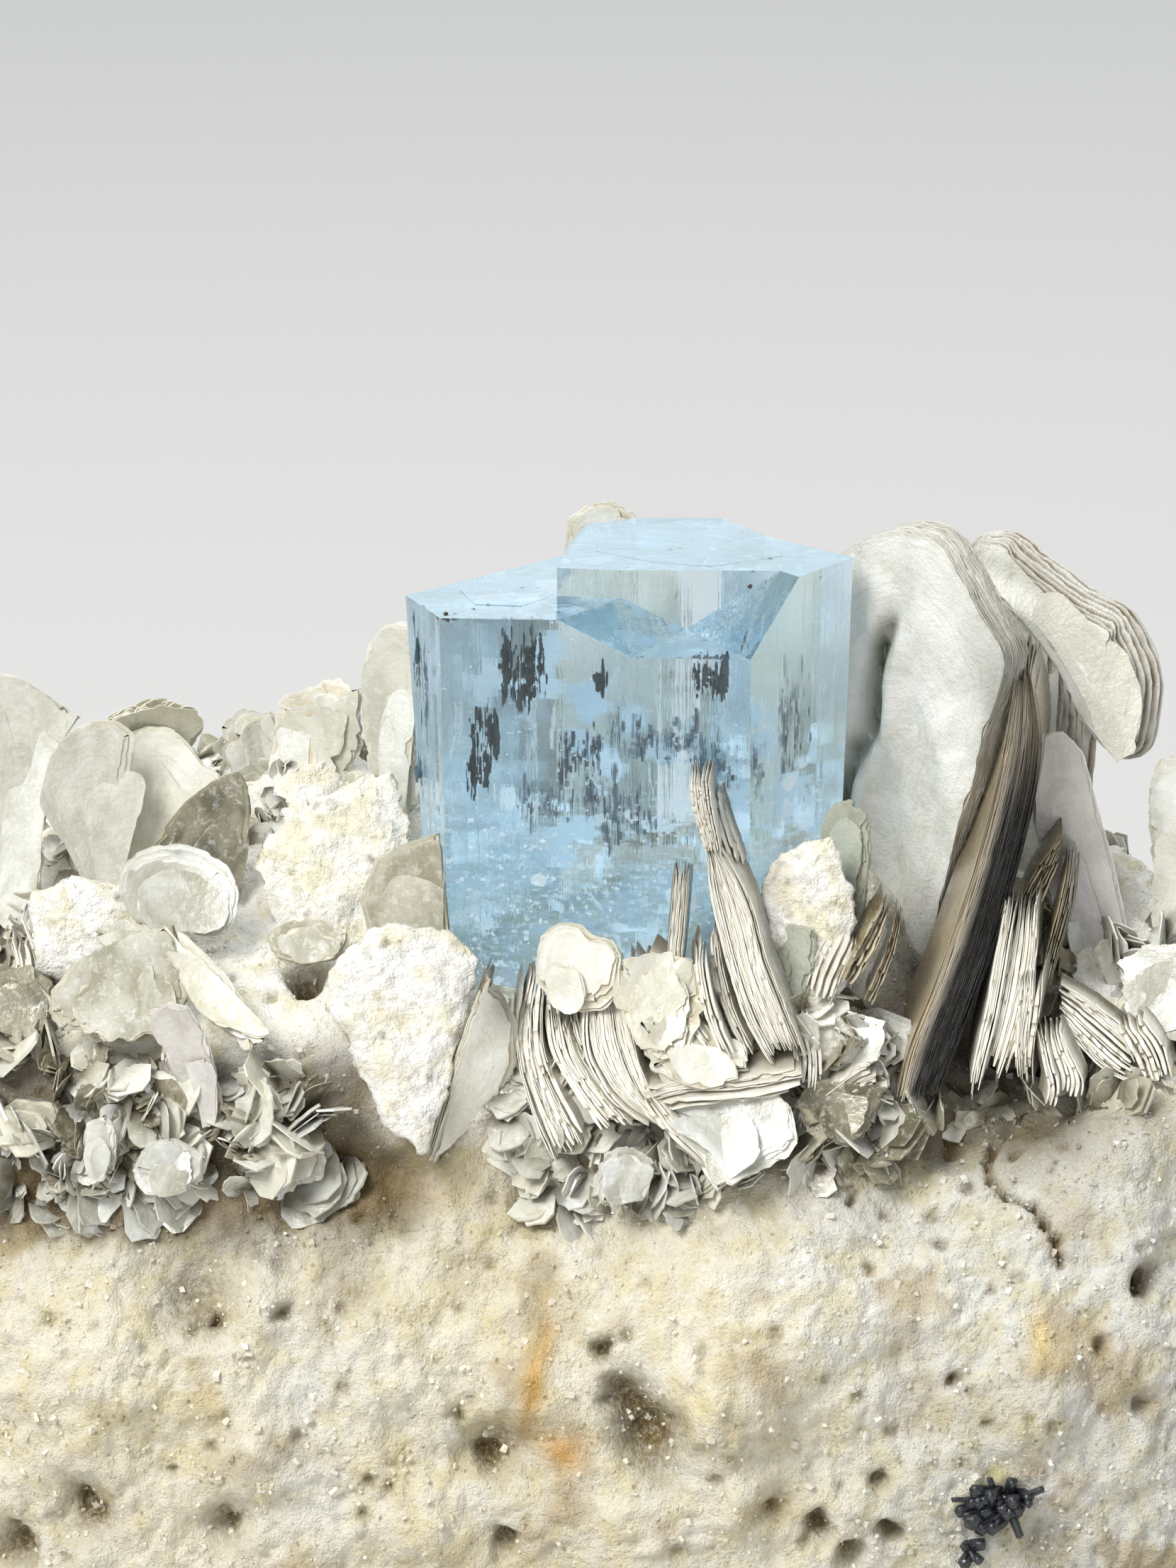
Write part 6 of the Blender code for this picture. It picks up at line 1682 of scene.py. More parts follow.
    ("muscovite_hex_plate", [
        ((-9.6, -6.4, 36.4), [(-2.1, -0.5), (-1.5, 2.4), (-0.1, 3.9), (1.9, 4.0), (2.3, 1.2),
                              (2.2, -2.3), (1.5, -3.9), (-0.6, -3.8), (-1.9, -2.2)],
         0.7, -12, 4, 0.012, 0.0)]),
    ("muscovite_lobe_left", [
        ((-9.8, 5.2, 42.2), [(-1.7, 1.2), (-1.4, 3.2), (-0.4, 4.4), (0.8, 4.6), (1.7, 3.6),
                             (1.8, -4.6), (0.2, -5.4), (-1.3, -2.8)], 1.4, -16, 4, 0.03, 0.0)]),
    ("muscovite_far_left", [
        ((-28.8, 2.4, 39.2), [(-2.9, 4.8), (-0.6, 6.6), (0.1, 5.8), (1.1, 5.0), (1.8, 3.1),
                              (2.3, 0.9), (1.9, -2.7), (1.1, -6.5), (-0.4, -7.4), (-2.5, -7.0),
                              (-3.6, -1.2)], 1.2, 14, 4, 0.02, 0.0)]),
    ("muscovite_left_blade", [
        ((-24.6, -0.9, 38.8), [(-2.2, 2.2), (-1.5, 3.9), (-0.0, 4.7), (1.2, 4.7), (2.1, 3.2),
                               (2.2, 0.4), (1.5, -2.4), (0.6, -6.3), (-0.5, -6.1), (-1.7, -1.6)],
         0.8, 16, 5, 0.035, 0.004)]),
    ("muscovite_left_blade_b", [
        ((-20.9, 1.6, 39.4), [(-2.0, 1.6), (-1.2, 2.9), (0.5, 3.1), (1.7, 2.1), (2.0, 0.1),
                              (1.4, -2.9), (0.1, -5.2), (-1.3, -4.6), (-1.9, -0.8)],
         0.8, -14, 6, 0.035, 0.004)]),
    ("muscovite_dark_triangle", [
        ((-17.6, -1.8, 38.0), [(-2.4, -0.2), (-1.0, 1.4), (0.5, 2.7), (1.6, 2.7), (2.1, 1.9),
                               (1.8, -0.6), (1.2, -3.4), (-0.4, -4.0), (-2.0, -1.8)],
         0.6, 18, 8, 0.015, 0.0)]),
    ("muscovite_disc", [
        ((-19.9, -6.8, 36.7), [(-2.6, 0.2), (-2.2, 1.5), (-0.7, 2.2), (1.0, 2.2), (2.5, 1.5),
                               (2.8, -0.0), (2.2, -1.4), (0.4, -2.1), (-1.5, -1.9), (-2.4, -1.1)],
         0.9, 6, 22, 0.06, 0.05)]),
    ("muscovite_under_disc", [
        ((-22.3, -8.8, 34.6), [(-1.5, 0.5), (-0.1, 1.2), (1.5, 0.9), (1.4, -0.6), (-0.3, -0.8)],
         0.6, 0, 40, 0.02, 0.0)]),
    ("muscovite_hole_rim", [
        ((-13.3, -8.0, 34.0), [(-2.3, 0.6), (-1.3, 1.5), (0.0, 1.7), (1.9, 0.9), (1.5, -0.5),
                               (-0.3, -1.0), (-1.7, -0.6)], 0.6, 0, 44, 0.04, 0.0)]),
    ("muscovite_tan_blade", [
        ((-22.9, -11.6, 32.8), [(-3.0, -0.2), (-2.3, 1.8), (-0.6, 2.8), (1.5, 3.0), (2.9, 2.3),
                                (3.4, 0.9), (2.1, -0.8), (0.2, -2.1), (-1.9, -2.5)],
         0.8, 8, 30, 0.02, 0.03)]),
    ("muscovite_draped", [
        ((-17.4, -11.2, 33.2), [(-2.9, 2.0), (-1.6, 2.7), (0.1, 1.8), (1.8, 0.6), (2.9, -0.8),
                                (2.6, -2.1), (1.0, -1.7), (-0.9, -1.3), (-2.3, -0.2)],
         0.8, -20, 24, 0.05, 0.03)]),
    ("muscovite_hanging", [
        ((-19.1, -14.0, 30.2), [(-1.9, 2.3), (-1.1, 3.2), (0.4, 3.2), (1.6, 2.6), (2.0, 0.8),
                                (1.3, -1.4), (0.4, -3.1), (-0.8, -2.3), (-1.6, -0.2)],
         0.8, -12, -4, 0.04, 0.0)]),
    ("muscovite_bright_a", [
        ((-15.3, -14.5, 26.8), [(-1.6, 0.6), (-0.9, 2.1), (0.3, 2.2), (1.1, 1.1), (0.9, -0.6),
                                (-0.7, -1.0)], 0.6, 12, 8, 0.03, 0.0)]),
    ("muscovite_bright_b", [
        ((-22.9, -15.6, 26.0), [(-1.0, 0.3), (-0.6, 1.7), (0.5, 2.0), (1.0, 0.9), (0.8, -0.9),
                                (-0.4, -1.3)], 0.6, -16, 4, 0.03, 0.0)]),
    ("muscovite_bright_c", [
        ((-19.6, -16.0, 25.4), [(-2.0, 0.5), (-1.3, 1.7), (0.2, 1.8), (1.8, 0.9), (1.5, -0.7),
                                (-0.2, -1.1), (-1.5, -0.7)], 0.6, 6, 14, 0.03, 0.0)]),
    ("muscovite_bright_d", [
        ((-13.1, -14.8, 25.2), [(-0.9, 0.4), (-0.3, 1.2), (0.8, 0.7), (0.6, -0.5), (-0.5, -0.7)],
         0.5, -6, 16, 0.03, 0.0)]),
    ("muscovite_dark_left", [
        ((-27.2, -10.6, 31.6), [(-2.3, 1.0), (-1.1, 2.2), (0.6, 2.4), (1.9, 1.4), (1.7, -0.5),
                                (0.1, -1.4), (-1.9, -0.8)], 0.8, 8, 22, 0.04, 0.0)]),
    ("muscovite_dark_left_low", [
        ((-26.6, -14.4, 26.6), [(-2.1, 1.0), (-0.5, 2.0), (1.2, 1.9), (1.9, 0.9), (1.4, -0.4),
                                (-0.5, -0.7), (-2.0, -0.3)], 0.7, -8, 12, 0.04, 0.0)]),
    ("muscovite_skyline", [
        ((-13.8, 8.0, 41.0), [(-2.6, -1.7), (-2.2, 0.9), (-1.6, 1.5), (-0.1, 2.1), (1.7, 2.3),
                              (2.6, 1.9), (2.6, -1.4), (0.3, -3.7), (-2.3, -3.9)],
         0.9, -12, 5, 0.03, 0.0),
        ((-17.0, 9.0, 39.8), [(-1.8, 0.8), (-0.6, 1.7), (1.2, 1.5), (1.9, 0.0), (1.2, -3.0),
                              (-1.3, -3.0)], 0.7, 14, 10, 0.03, 0.0)]),
    ("muscovite_behind", [
        ((1.0, 10.6, 43.8), [(-2.3, 1.0), (-2.3, 5.0), (-2.0, 7.0), (-0.9, 7.8), (0.4, 7.8),
                             (1.6, 7.1), (3.7, 4.5), (4.0, -1.4), (2.6, -8.5), (-1.6, -8.7)],
         1.2, 6, 3, 0.02, 0.0)]),
    ("muscovite_behind_right", [
        ((9.0, 10.8, 40.8), [(-3.2, 1.0), (-2.6, 4.6), (-0.8, 6.2), (1.6, 6.0), (3.2, 3.6),
                             (3.4, -1.0), (2.4, -6.0), (-1.6, -6.2), (-3.0, -2.6)],
         1.2, -16, 5, 0.02, 0.0)]),
    # books on the back of the ledge
    ("muscovite_back_a", [
        ((-22.4, 12.0, 39.2), [(-3.0, 0.6), (-2.2, 2.7), (0.2, 3.5), (2.4, 2.5), (3.1, 0.0),
                               (1.8, -3.0), (-1.6, -3.3)], 1.0, 26, -12, 0.02, 0.0)]),
    ("muscovite_back_b", [
        ((17.6, 13.2, 36.8), [(-3.3, 0.2), (-2.6, 2.6), (-0.2, 3.8), (2.4, 2.9), (3.4, 0.2),
                              (2.2, -3.2), (-1.9, -3.4)], 1.1, -24, -14, 0.02, 0.0)]),
    ("muscovite_back_c", [
        ((-5.0, 12.4, 38.6), [(-2.3, 0.4), (-1.6, 2.4), (0.3, 3.2), (2.1, 2.1), (2.5, 0.0),
                              (1.5, -3.4), (-1.4, -3.6)], 0.9, 18, -8, 0.02, 0.0)]),
]


def furrow(X):
    """Relief of the big upright book: a long dark furrow, flutes and soft pocks."""
    x, y = X[:, 0], X[:, 1]
    line = -1.7 + 0.30 * y + 0.25 * np.sin(y * 0.9)
    P = np.stack([x, y * 0.7, np.zeros(len(x))], 1)
    d = -1.15 * np.exp(-((x - line) / 0.50) ** 2) * smoothstep(-5.5, -2.0, y) * smoothstep(9.5, 5.0, y)
    d += 0.40 * np.exp(-((x - line - 1.1) / 0.6) ** 2) * smoothstep(-7, -3, y) * smoothstep(9, 3, y)
    d += 0.16 * np.sin((x + 0.12 * y) * 2.3 + 0.8 * np.sin(y * 0.35)) + 0.16 * pn(P, 0.9, 4) + 0.10 * pn(P, 2.1, 6)
    d -= 0.035 * (np.maximum(0, x - 3.6)) ** 2
    return d


def arcs(X):
    x, y = X[:, 0], X[:, 1]
    r = np.hypot(x + 7.0, y + 6.5)
    return 0.16 * np.sin(r * 3.1 + 0.5 * np.sin(y)) * smoothstep(5, 8, r)


def furrow_shade(X):
    x, y = X[:, 0], X[:, 1]
    line = -1.7 + 0.30 * y + 0.25 * np.sin(y * 0.9)
    P = np.stack([x * 1.6, y * 0.5, np.zeros(len(x))], 1)
    s = np.exp(-((x - line) / 0.60) ** 2) * smoothstep(-6.0, -2.5, y) * smoothstep(9.0, 5.5, y)
    s = s * (0.85 + 0.7 * pn(P, 1.0, 3))
    s += 0.5 * smoothstep(5.2, 6.6, x + 0.10 * y) * smoothstep(10, 4, y)
    return np.clip(s, 0, 1)


# How each book looks: material, leaves, ragged rim, terraces, loose sheets, extra settings
LOOK = {
    "fan_main": ("fan", 18, 0.03, 0.12, 0, dict(tdir=(1, -0.2), wave=0.25, wfreq=0.16, ripple=0.10, relief=furrow, crisp=0.35,
                 shade=furrow_shade, step=0.16, splay=(0.02, 0.0), groove=0.16,
                 rings=(0.96, 0.90, 0.82, 0.74, 0.66, 0.58, 0.50, 0.42, 0.34, 0.26, 0.18, 0.09))),
    "fan_back": ("fan", 12, 0.04, 2.0, 1, dict(tdir=(1, -0.15), wave=0.2, relief=arcs, groove=0.30, step=0.30, crisp=0.2,
                 splay=(0.08, -0.05), rings=(0.93, 0.84, 0.74, 0.62, 0.5, 0.36, 0.2))),
    "pale_blade": ("lilac", 4, 0.03, 0.3, 1, dict(crisp=0.7, tdir=(1, -0.4), wave=0.14, ripple=0.05)),
    "lobe_right": ("white", 5, 0.16, 0.5, 2, dict(wave=0.3)),
    "silver_right": ("silver", 5, 0.22, 0.7, 3, dict(crisp=0.95, wave=0.4, ripple=0.2)),
    "grey_a": ("silver", 4, 0.22, 0.7, 4, dict(crisp=0.95, wave=0.3, ripple=0.18)),
    "grey_b": ("dark", 4, 0.24, 0.8, 4, dict(crisp=0.95, wave=0.3, ripple=0.18)),
    "chip": ("green", 3, 0.08, 0.2, 1, dict(crisp=0.95)),
    "round_book": ("cream", 5, 0.06, 0.9, 2, dict(crisp=0.6, tdir=(0.2, -1), wave=0.3, ripple=0.14)),
    "wavy_sheets": ("cream", 5, 0.24, 0.8, 4, dict(crisp=0.95, wave=0.6, wfreq=0.45, ripple=0.3, tdir=(0.2, -1))),
    "silver_plate": ("silver", 7, 0.07, 0.9, 3, dict(crisp=0.95, tdir=(-0.5, -1), wave=0.3, ripple=0.14, groove=0.3)),
    "small_front": ("silver", 4, 0.16, 0.4, 3, dict(crisp=0.95, wave=0.4, ripple=0.2)),
    "green_plate": ("green", 3, 0.12, 0.3, 1, dict(wave=0.2)),
    "mid_leaf": ("green", 3, 0.12, 0.4, 1, dict(wave=0.2)),
    "hex_plate": ("tan", 4, 0.03, 0.35, 1, dict(crisp=1.0, tdir=(-1, 0.3), wave=0.10, ripple=0.05)),
    "lobe_left": ("white", 5, 0.10, 0.5, 2, dict(wave=0.25, ripple=0.12)),
    "far_left": ("white", 4, 0.06, 0.7, 2, dict(crisp=0.7, wave=0.3, ripple=0.14)),
    "left_blade": ("white", 4, 0.05, 0.5, 2, dict(crisp=0.85, wave=0.25, ripple=0.10, tdir=(1, 0.2))),
    "left_blade_b": ("cream", 4, 0.05, 0.4, 2, dict(crisp=0.8, wave=0.3, ripple=0.10)),
    "dark_triangle": ("dark", 3, 0.04, 0.35, 1, dict(crisp=0.95, tdir=(1, 0), wave=0.12, ripple=0.05)),
    "disc": ("silver", 6, 0.04, 0.9, 1, dict(crisp=0.7, tdir=(0.3, 1), wave=0.18, ripple=0.10, step=0.18)),
    "under_disc": ("tan", 4, 0.12, 0.3, 1, {}),
    "hole_rim": ("tan", 4, 0.12, 0.4, 1, dict(wave=0.2)),
    "tan_blade": ("tan", 5, 0.10, 0.8, 3, dict(crisp=0.95, tdir=(-0.3, -1), wave=0.3, ripple=0.16)),
    "draped": ("cream", 4, 0.06, 0.5, 2, dict(crisp=0.9, tdir=(0, 1), wave=0.3)),
    "hanging": ("lilac", 4, 0.08, 0.4, 2, dict(crisp=0.9, wave=0.3, ripple=0.16)),
    "bright_a": ("silver", 4, 0.2, 0.5, 3, dict(crisp=0.95, wave=0.4, ripple=0.2)),
    "bright_b": ("silver", 4, 0.2, 0.5, 3, dict(crisp=0.95, wave=0.4, ripple=0.2)),
    "bright_c": ("silver", 4, 0.2, 0.7, 3, dict(crisp=0.95, wave=0.4, ripple=0.2)),
    "bright_d": ("silver", 4, 0.14, 0.3, 3, dict(crisp=0.95, wave=0.3, ripple=0.16)),
    "dark_left": ("dark", 4, 0.2, 0.6, 3, dict(crisp=0.95, wave=0.35)),
    "dark_left_low": ("tan", 4, 0.2, 0.6, 3, dict(crisp=0.95, wave=0.35)),
    "skyline": ("white", 5, 0.22, 0.9, 3, dict(tdir=(-1, 0.4), wave=0.4, ripple=0.2)),
    "behind": ("cream", 6, 0.12, 0.5, 2, dict(wave=0.3)),
    "behind_right": ("cream", 5, 0.16, 0.6, 2, dict(wave=0.3)),
    "back_a": ("cream", 6, 0.22, 0.8, 3, dict(tdir=(0, -1), wave=0.4, ripple=0.2)),
    "back_b": ("cream", 6, 0.22, 0.8, 3, dict(tdir=(0, -1), wave=0.4, ripple=0.2)),
    "back_c": ("silver", 6, 0.22, 0.8, 3, dict(tdir=(0, -1), wave=0.4, ripple=0.2)),
}

# Books that are seen on their edges: left and right lines as pixel u, v and depth y
FANS = {
    "fan_edge": ("edge", 40, 5.5, dict(rag=0.06, fill=0.95, back=(0.10, 1.0, 0.10), seed=31, nu=40, lead=0.22, dark=(0.12, 0.06)), [
        ([(1436, 925, -1.0), (1424, 1010, -1.6), (1404, 1110, -2.6), (1376, 1215, -4.2), (1345, 1310, -6.4),
          (1312, 1400, -8.8), (1280, 1480, -10.8), (1262, 1560, -12.6)],
         [(1456, 955, -0.6), (1470, 1040, -0.8), (1462, 1120, -1.8), (1440, 1215, -3.4), (1414, 1310, -5.6),
          (1382, 1400, -8.2), (1352, 1480, -10.4), (1326, 1545, -12.2)])]),
    "brown_blades": ("brown", 7, 2.6, dict(rag=0.3, back=(0.12, 1.0, 0.1), seed=41, lead=0.6), [
        ([(1494, 1190, -1.2), (1460, 1235, -2.0), (1440, 1272, -2.6), (1436, 1290, -2.8)],
         [(1504, 1200, -1.2), (1480, 1260, -2.2), (1460, 1310, -3.4), (1452, 1342, -4.0)]),
        ([(1508, 1205, -1.6), (1496, 1260, -2.4), (1478, 1330, -3.6), (1462, 1400, -5.6)],
         [(1518, 1225, -1.4), (1512, 1290, -2.6), (1492, 1360, -4.2), (1476, 1420, -6.0)])]),
    "vertical_cluster": ("striped", 18, 3.2, dict(rag=0.35, back=(0.10, 1.0, 0.1), seed=43, lead=0.45, fill=1.0), [
        ([(1420, 1262, -4.6), (1404, 1340, -6.2), (1390, 1420, -8.4), (1372, 1500, -10.4), (1366, 1545, -11.4)],
         [(1466, 1275, -4.2), (1462, 1360, -6.4), (1446, 1440, -8.8), (1424, 1510, -10.4), (1404, 1562, -11.6)]),
        ([(1440, 1340, -6.6), (1436, 1420, -8.6), (1432, 1490, -10.2), (1438, 1545, -11.2)],
         [(1474, 1330, -6.2), (1470, 1410, -8.2), (1458, 1490, -10.0), (1462, 1566, -11.2)])]),
    "wedge_right": ("striped", 16, 3.0, dict(rag=0.30, back=(0.1, 1.0, -0.15), seed=47, lead=0.35, fill=1.0), [
        ([(1488, 1385, -5.2), (1540, 1415, -6.0), (1600, 1462, -7.0), (1648, 1520, -8.2)],
         [(1480, 1425, -7.0), (1520, 1475, -8.2), (1562, 1515, -9.2), (1618, 1538, -9.6)])]),
    "triangle_blade": ("cream", 3, 1.6, dict(rag=0.05, back=(0.3, 1.0, 0.1), seed=51, lead=0.1, fill=0.9, tmax=0.16), [
        ([(682, 1366, -10.4), (655, 1455, -12.0), (626, 1545, -13.8), (599, 1640, -15.4)],
         [(688, 1372, -10.4), (668, 1450, -12.0), (640, 1540, -13.8), (607, 1640, -15.4)])]),
    "radial_fan": ("striped", 15, 3.0, dict(rag=0.25, back=(0.02, 1.0, 0.1), seed=53, lead=0.35, fill=1.0, jitter=0.6), [
        ([(738, 1394, -11.2), (728, 1450, -12.2), (735, 1520, -13.6), (762, 1600, -14.8), (794, 1668, -15.6)],
         [(752, 1396, -11.2), (762, 1470, -12.6), (790, 1535, -14.0), (822, 1590, -15.0), (852, 1634, -15.6)]),
        ([(770, 1420, -11.8), (776, 1480, -13.0), (812, 1545, -14.4), (850, 1600, -15.2)],
         [(800, 1430, -11.8), (820, 1490, -13.2), (858, 1545, -14.6), (906, 1588, -15.2)])]),
    "s_book": ("striped", 20, 3.4, dict(rag=0.10, back=(0.03, 1.0, 0.15), seed=57, lead=0.2, fill=1.088, nu=34), [
        ([(838, 1384, -11.0), (822, 1430, -12.2), (825, 1484, -13.6), (845, 1525, -14.4), (872, 1558, -15.0), (928, 1592, -15.4)],
         [(872, 1380, -10.8), (884, 1425, -12.2), (894, 1470, -13.4), (908, 1515, -14.4), (926, 1552, -14.9), (946, 1588, -15.2)])]),
    "upright_book": ("striped", 10, 2.6, dict(rag=0.12, back=(0.06, 1.0, 0.0), seed=59, lead=0.2, fill=0.95), [
        ([(951, 1230, -9.6), (946, 1290, -10.2), (941, 1350, -11.0), (938, 1412, -12.0)],
         [(972, 1234, -9.4), (968, 1300, -10.2), (962, 1360, -11.2), (957, 1416, -12.0)])]),
    "spike": ("striped", 26, 2.8, dict(rag=0.16, back=(0.06, 1.0, 0.1), seed=61, lead=0.2, fill=1.088, nu=40), [
        ([(996, 1196, -11.4), (1001, 1262, -11.8), (1014, 1322, -12.4), (1032, 1388, -13.2), (1050, 1440, -13.8),
          (1072, 1480, -14.2), (1092, 1515, -14.6)],
         [(1014, 1196, -11.2), (1044, 1240, -11.6), (1066, 1290, -12.2), (1082, 1353, -13.0), (1100, 1400, -13.6),
          (1120, 1450, -14.0), (1142, 1505, -14.4)]),
        ([(972, 1098, -11.6), (976, 1140, -11.6), (988, 1180, -11.5), (998, 1215, -11.5)],
         [(1000, 1092, -11.4), (1006, 1140, -11.4), (1014, 1180, -11.3), (1020, 1215, -11.3)])]),
    "right_blades": ("brown", 6, 2.2, dict(rag=0.2, back=(0.06, 1.0, 0.1), seed=63, lead=0.5, fill=0.75), [
        ([(1246, 1272, -9.0), (1222, 1310, -9.8), (1200, 1350, -10.8), (1186, 1385, -11.6)],
         [(1256, 1280, -9.0), (1240, 1330, -10.2), (1216, 1372, -11.2), (1196, 1398, -11.8)]),
        ([(1264, 1290, -8.8), (1250, 1340, -9.8), (1226, 1395, -11.4), (1212, 1420, -12.0)],
         [(1272, 1300, -8.6), (1262, 1350, -9.8), (1240, 1405, -11.2), (1226, 1430, -12.0)])]),
}
# Blades that fill the rosette between the books: left line, right line, count, depth, seed
ROSETTE = [
    ([(868, 1372, -11.6), (892, 1440, -12.6), (936, 1492, -13.6), (996, 1532, -14.4)],
     [(906, 1344, -11.2), (956, 1396, -12.2), (1000, 1460, -13.4), (1040, 1522, -14.3)], 13, 2.2, 301),
    ([(905, 1536, -14.7), (960, 1524, -14.6), (1040, 1520, -14.6), (1132, 1502, -14.4)],
     [(930, 1570, -15.3), (990, 1560, -15.3), (1070, 1552, -15.2), (1140, 1536, -15.0)], 9, 2.0, 303),
    ([(903, 1545, -15.0), (930, 1590, -15.7), (975, 1630, -16.1), (1012, 1678, -16.3)],
     [(925, 1542, -14.9), (962, 1582, -15.6), (1004, 1622, -16.0), (1042, 1664, -16.2)], 7, 1.8, 305),
    ([(746, 1385, -10.8), (735, 1430, -11.6), (730, 1480, -12.8), (738, 1530, -13.8)],
     [(790, 1378, -10.8), (792, 1430, -11.8), (800, 1480, -13.0), (822, 1530, -14.0)], 8, 2.2, 307),
    ([(790, 1372, -10.8), (800, 1420, -11.8), (812, 1470, -13.0), (836, 1520, -14.0)],
     [(840, 1366, -10.8), (846, 1420, -11.9), (850, 1470, -13.1), (868, 1520, -14.0)], 8, 2.2, 309),
    ([(990, 1300, -11.4), (980, 1350, -12.0), (992, 1420, -12.9), (1020, 1490, -14.0)],
     [(1012, 1310, -11.5), (1020, 1370, -12.3), (1040, 1440, -13.3), (1070, 1500, -14.3)], 9, 2.0, 311),
    ([(1092, 1420, -12.2), (1110, 1460, -13.0), (1120, 1500, -13.8), (1116, 1550, -14.6)],
     [(1128, 1412, -11.8), (1150, 1450, -12.6), (1162, 1500, -13.6), (1160, 1545, -14.4)], 8, 2.0, 313),
    ([(1140, 1560, -14.6), (1170, 1540, -14.2), (1210, 1512, -13.6), (1250, 1500, -13.0)],
     [(1130, 1600, -15.0), (1170, 1590, -14.8), (1220, 1560, -14.2), (1268, 1540, -13.4)], 8, 1.8, 315),
    ([(1180, 1300, -9.6), (1150, 1350, -10.8), (1135, 1400, -11.8)],
     [(1212, 1320, -9.6), (1190, 1370, -10.9), (1170, 1420, -11.9)], 6, 1.8, 317),
    ([(1004, 1090, -9.2), (1010, 1150, -9.6), (1030, 1215, -10.4)],
     [(1012, 1094, -9.2), (1024, 1150, -9.6), (1050, 1225, -10.4)], 4, 1.2, 319),
    ([(1462, 1440, -9.0), (1470, 1490, -10.4), (1478, 1530, -11.6), (1470, 1560, -12.2)],
     [(1492, 1440, -8.6), (1512, 1490, -10.0), (1530, 1530, -11.2), (1526, 1562, -12.0)], 9, 2.2, 321),
    ([(1560, 1440, -6.6), (1590, 1490, -8.0), (1610, 1530, -9.0)],
     [(1600, 1420, -6.2), (1640, 1470, -7.4), (1656, 1520, -8.6)], 7, 2.0, 323),
    ([(0, 1300, -6.6), (20, 1360, -8.2), (18, 1430, -10.0), (4, 1480, -11.4)],
     [(40, 1300, -6.6), (62, 1360, -8.2), (60, 1430, -10.0), (48, 1480, -11.4)], 8, 2.2, 325),
    ([(216, 1440, -11.6), (226, 1480, -12.6), (222, 1530, -13.6)],
     [(250, 1440, -11.6), (262, 1485, -12.6), (256, 1540, -13.6)], 5, 1.4, 327),
]


def build_rosette():
    s = Soup()
    for left, right, n, depth, seed in ROSETTE:
        edge_fan(s, left, right, n, depth, back=(0.04, 1.0, 0.12), fill=0.95, seed=seed, rag=0.30, nu=20,
                 jitter=0.7, lead=0.5, curl=0.5)
    return s


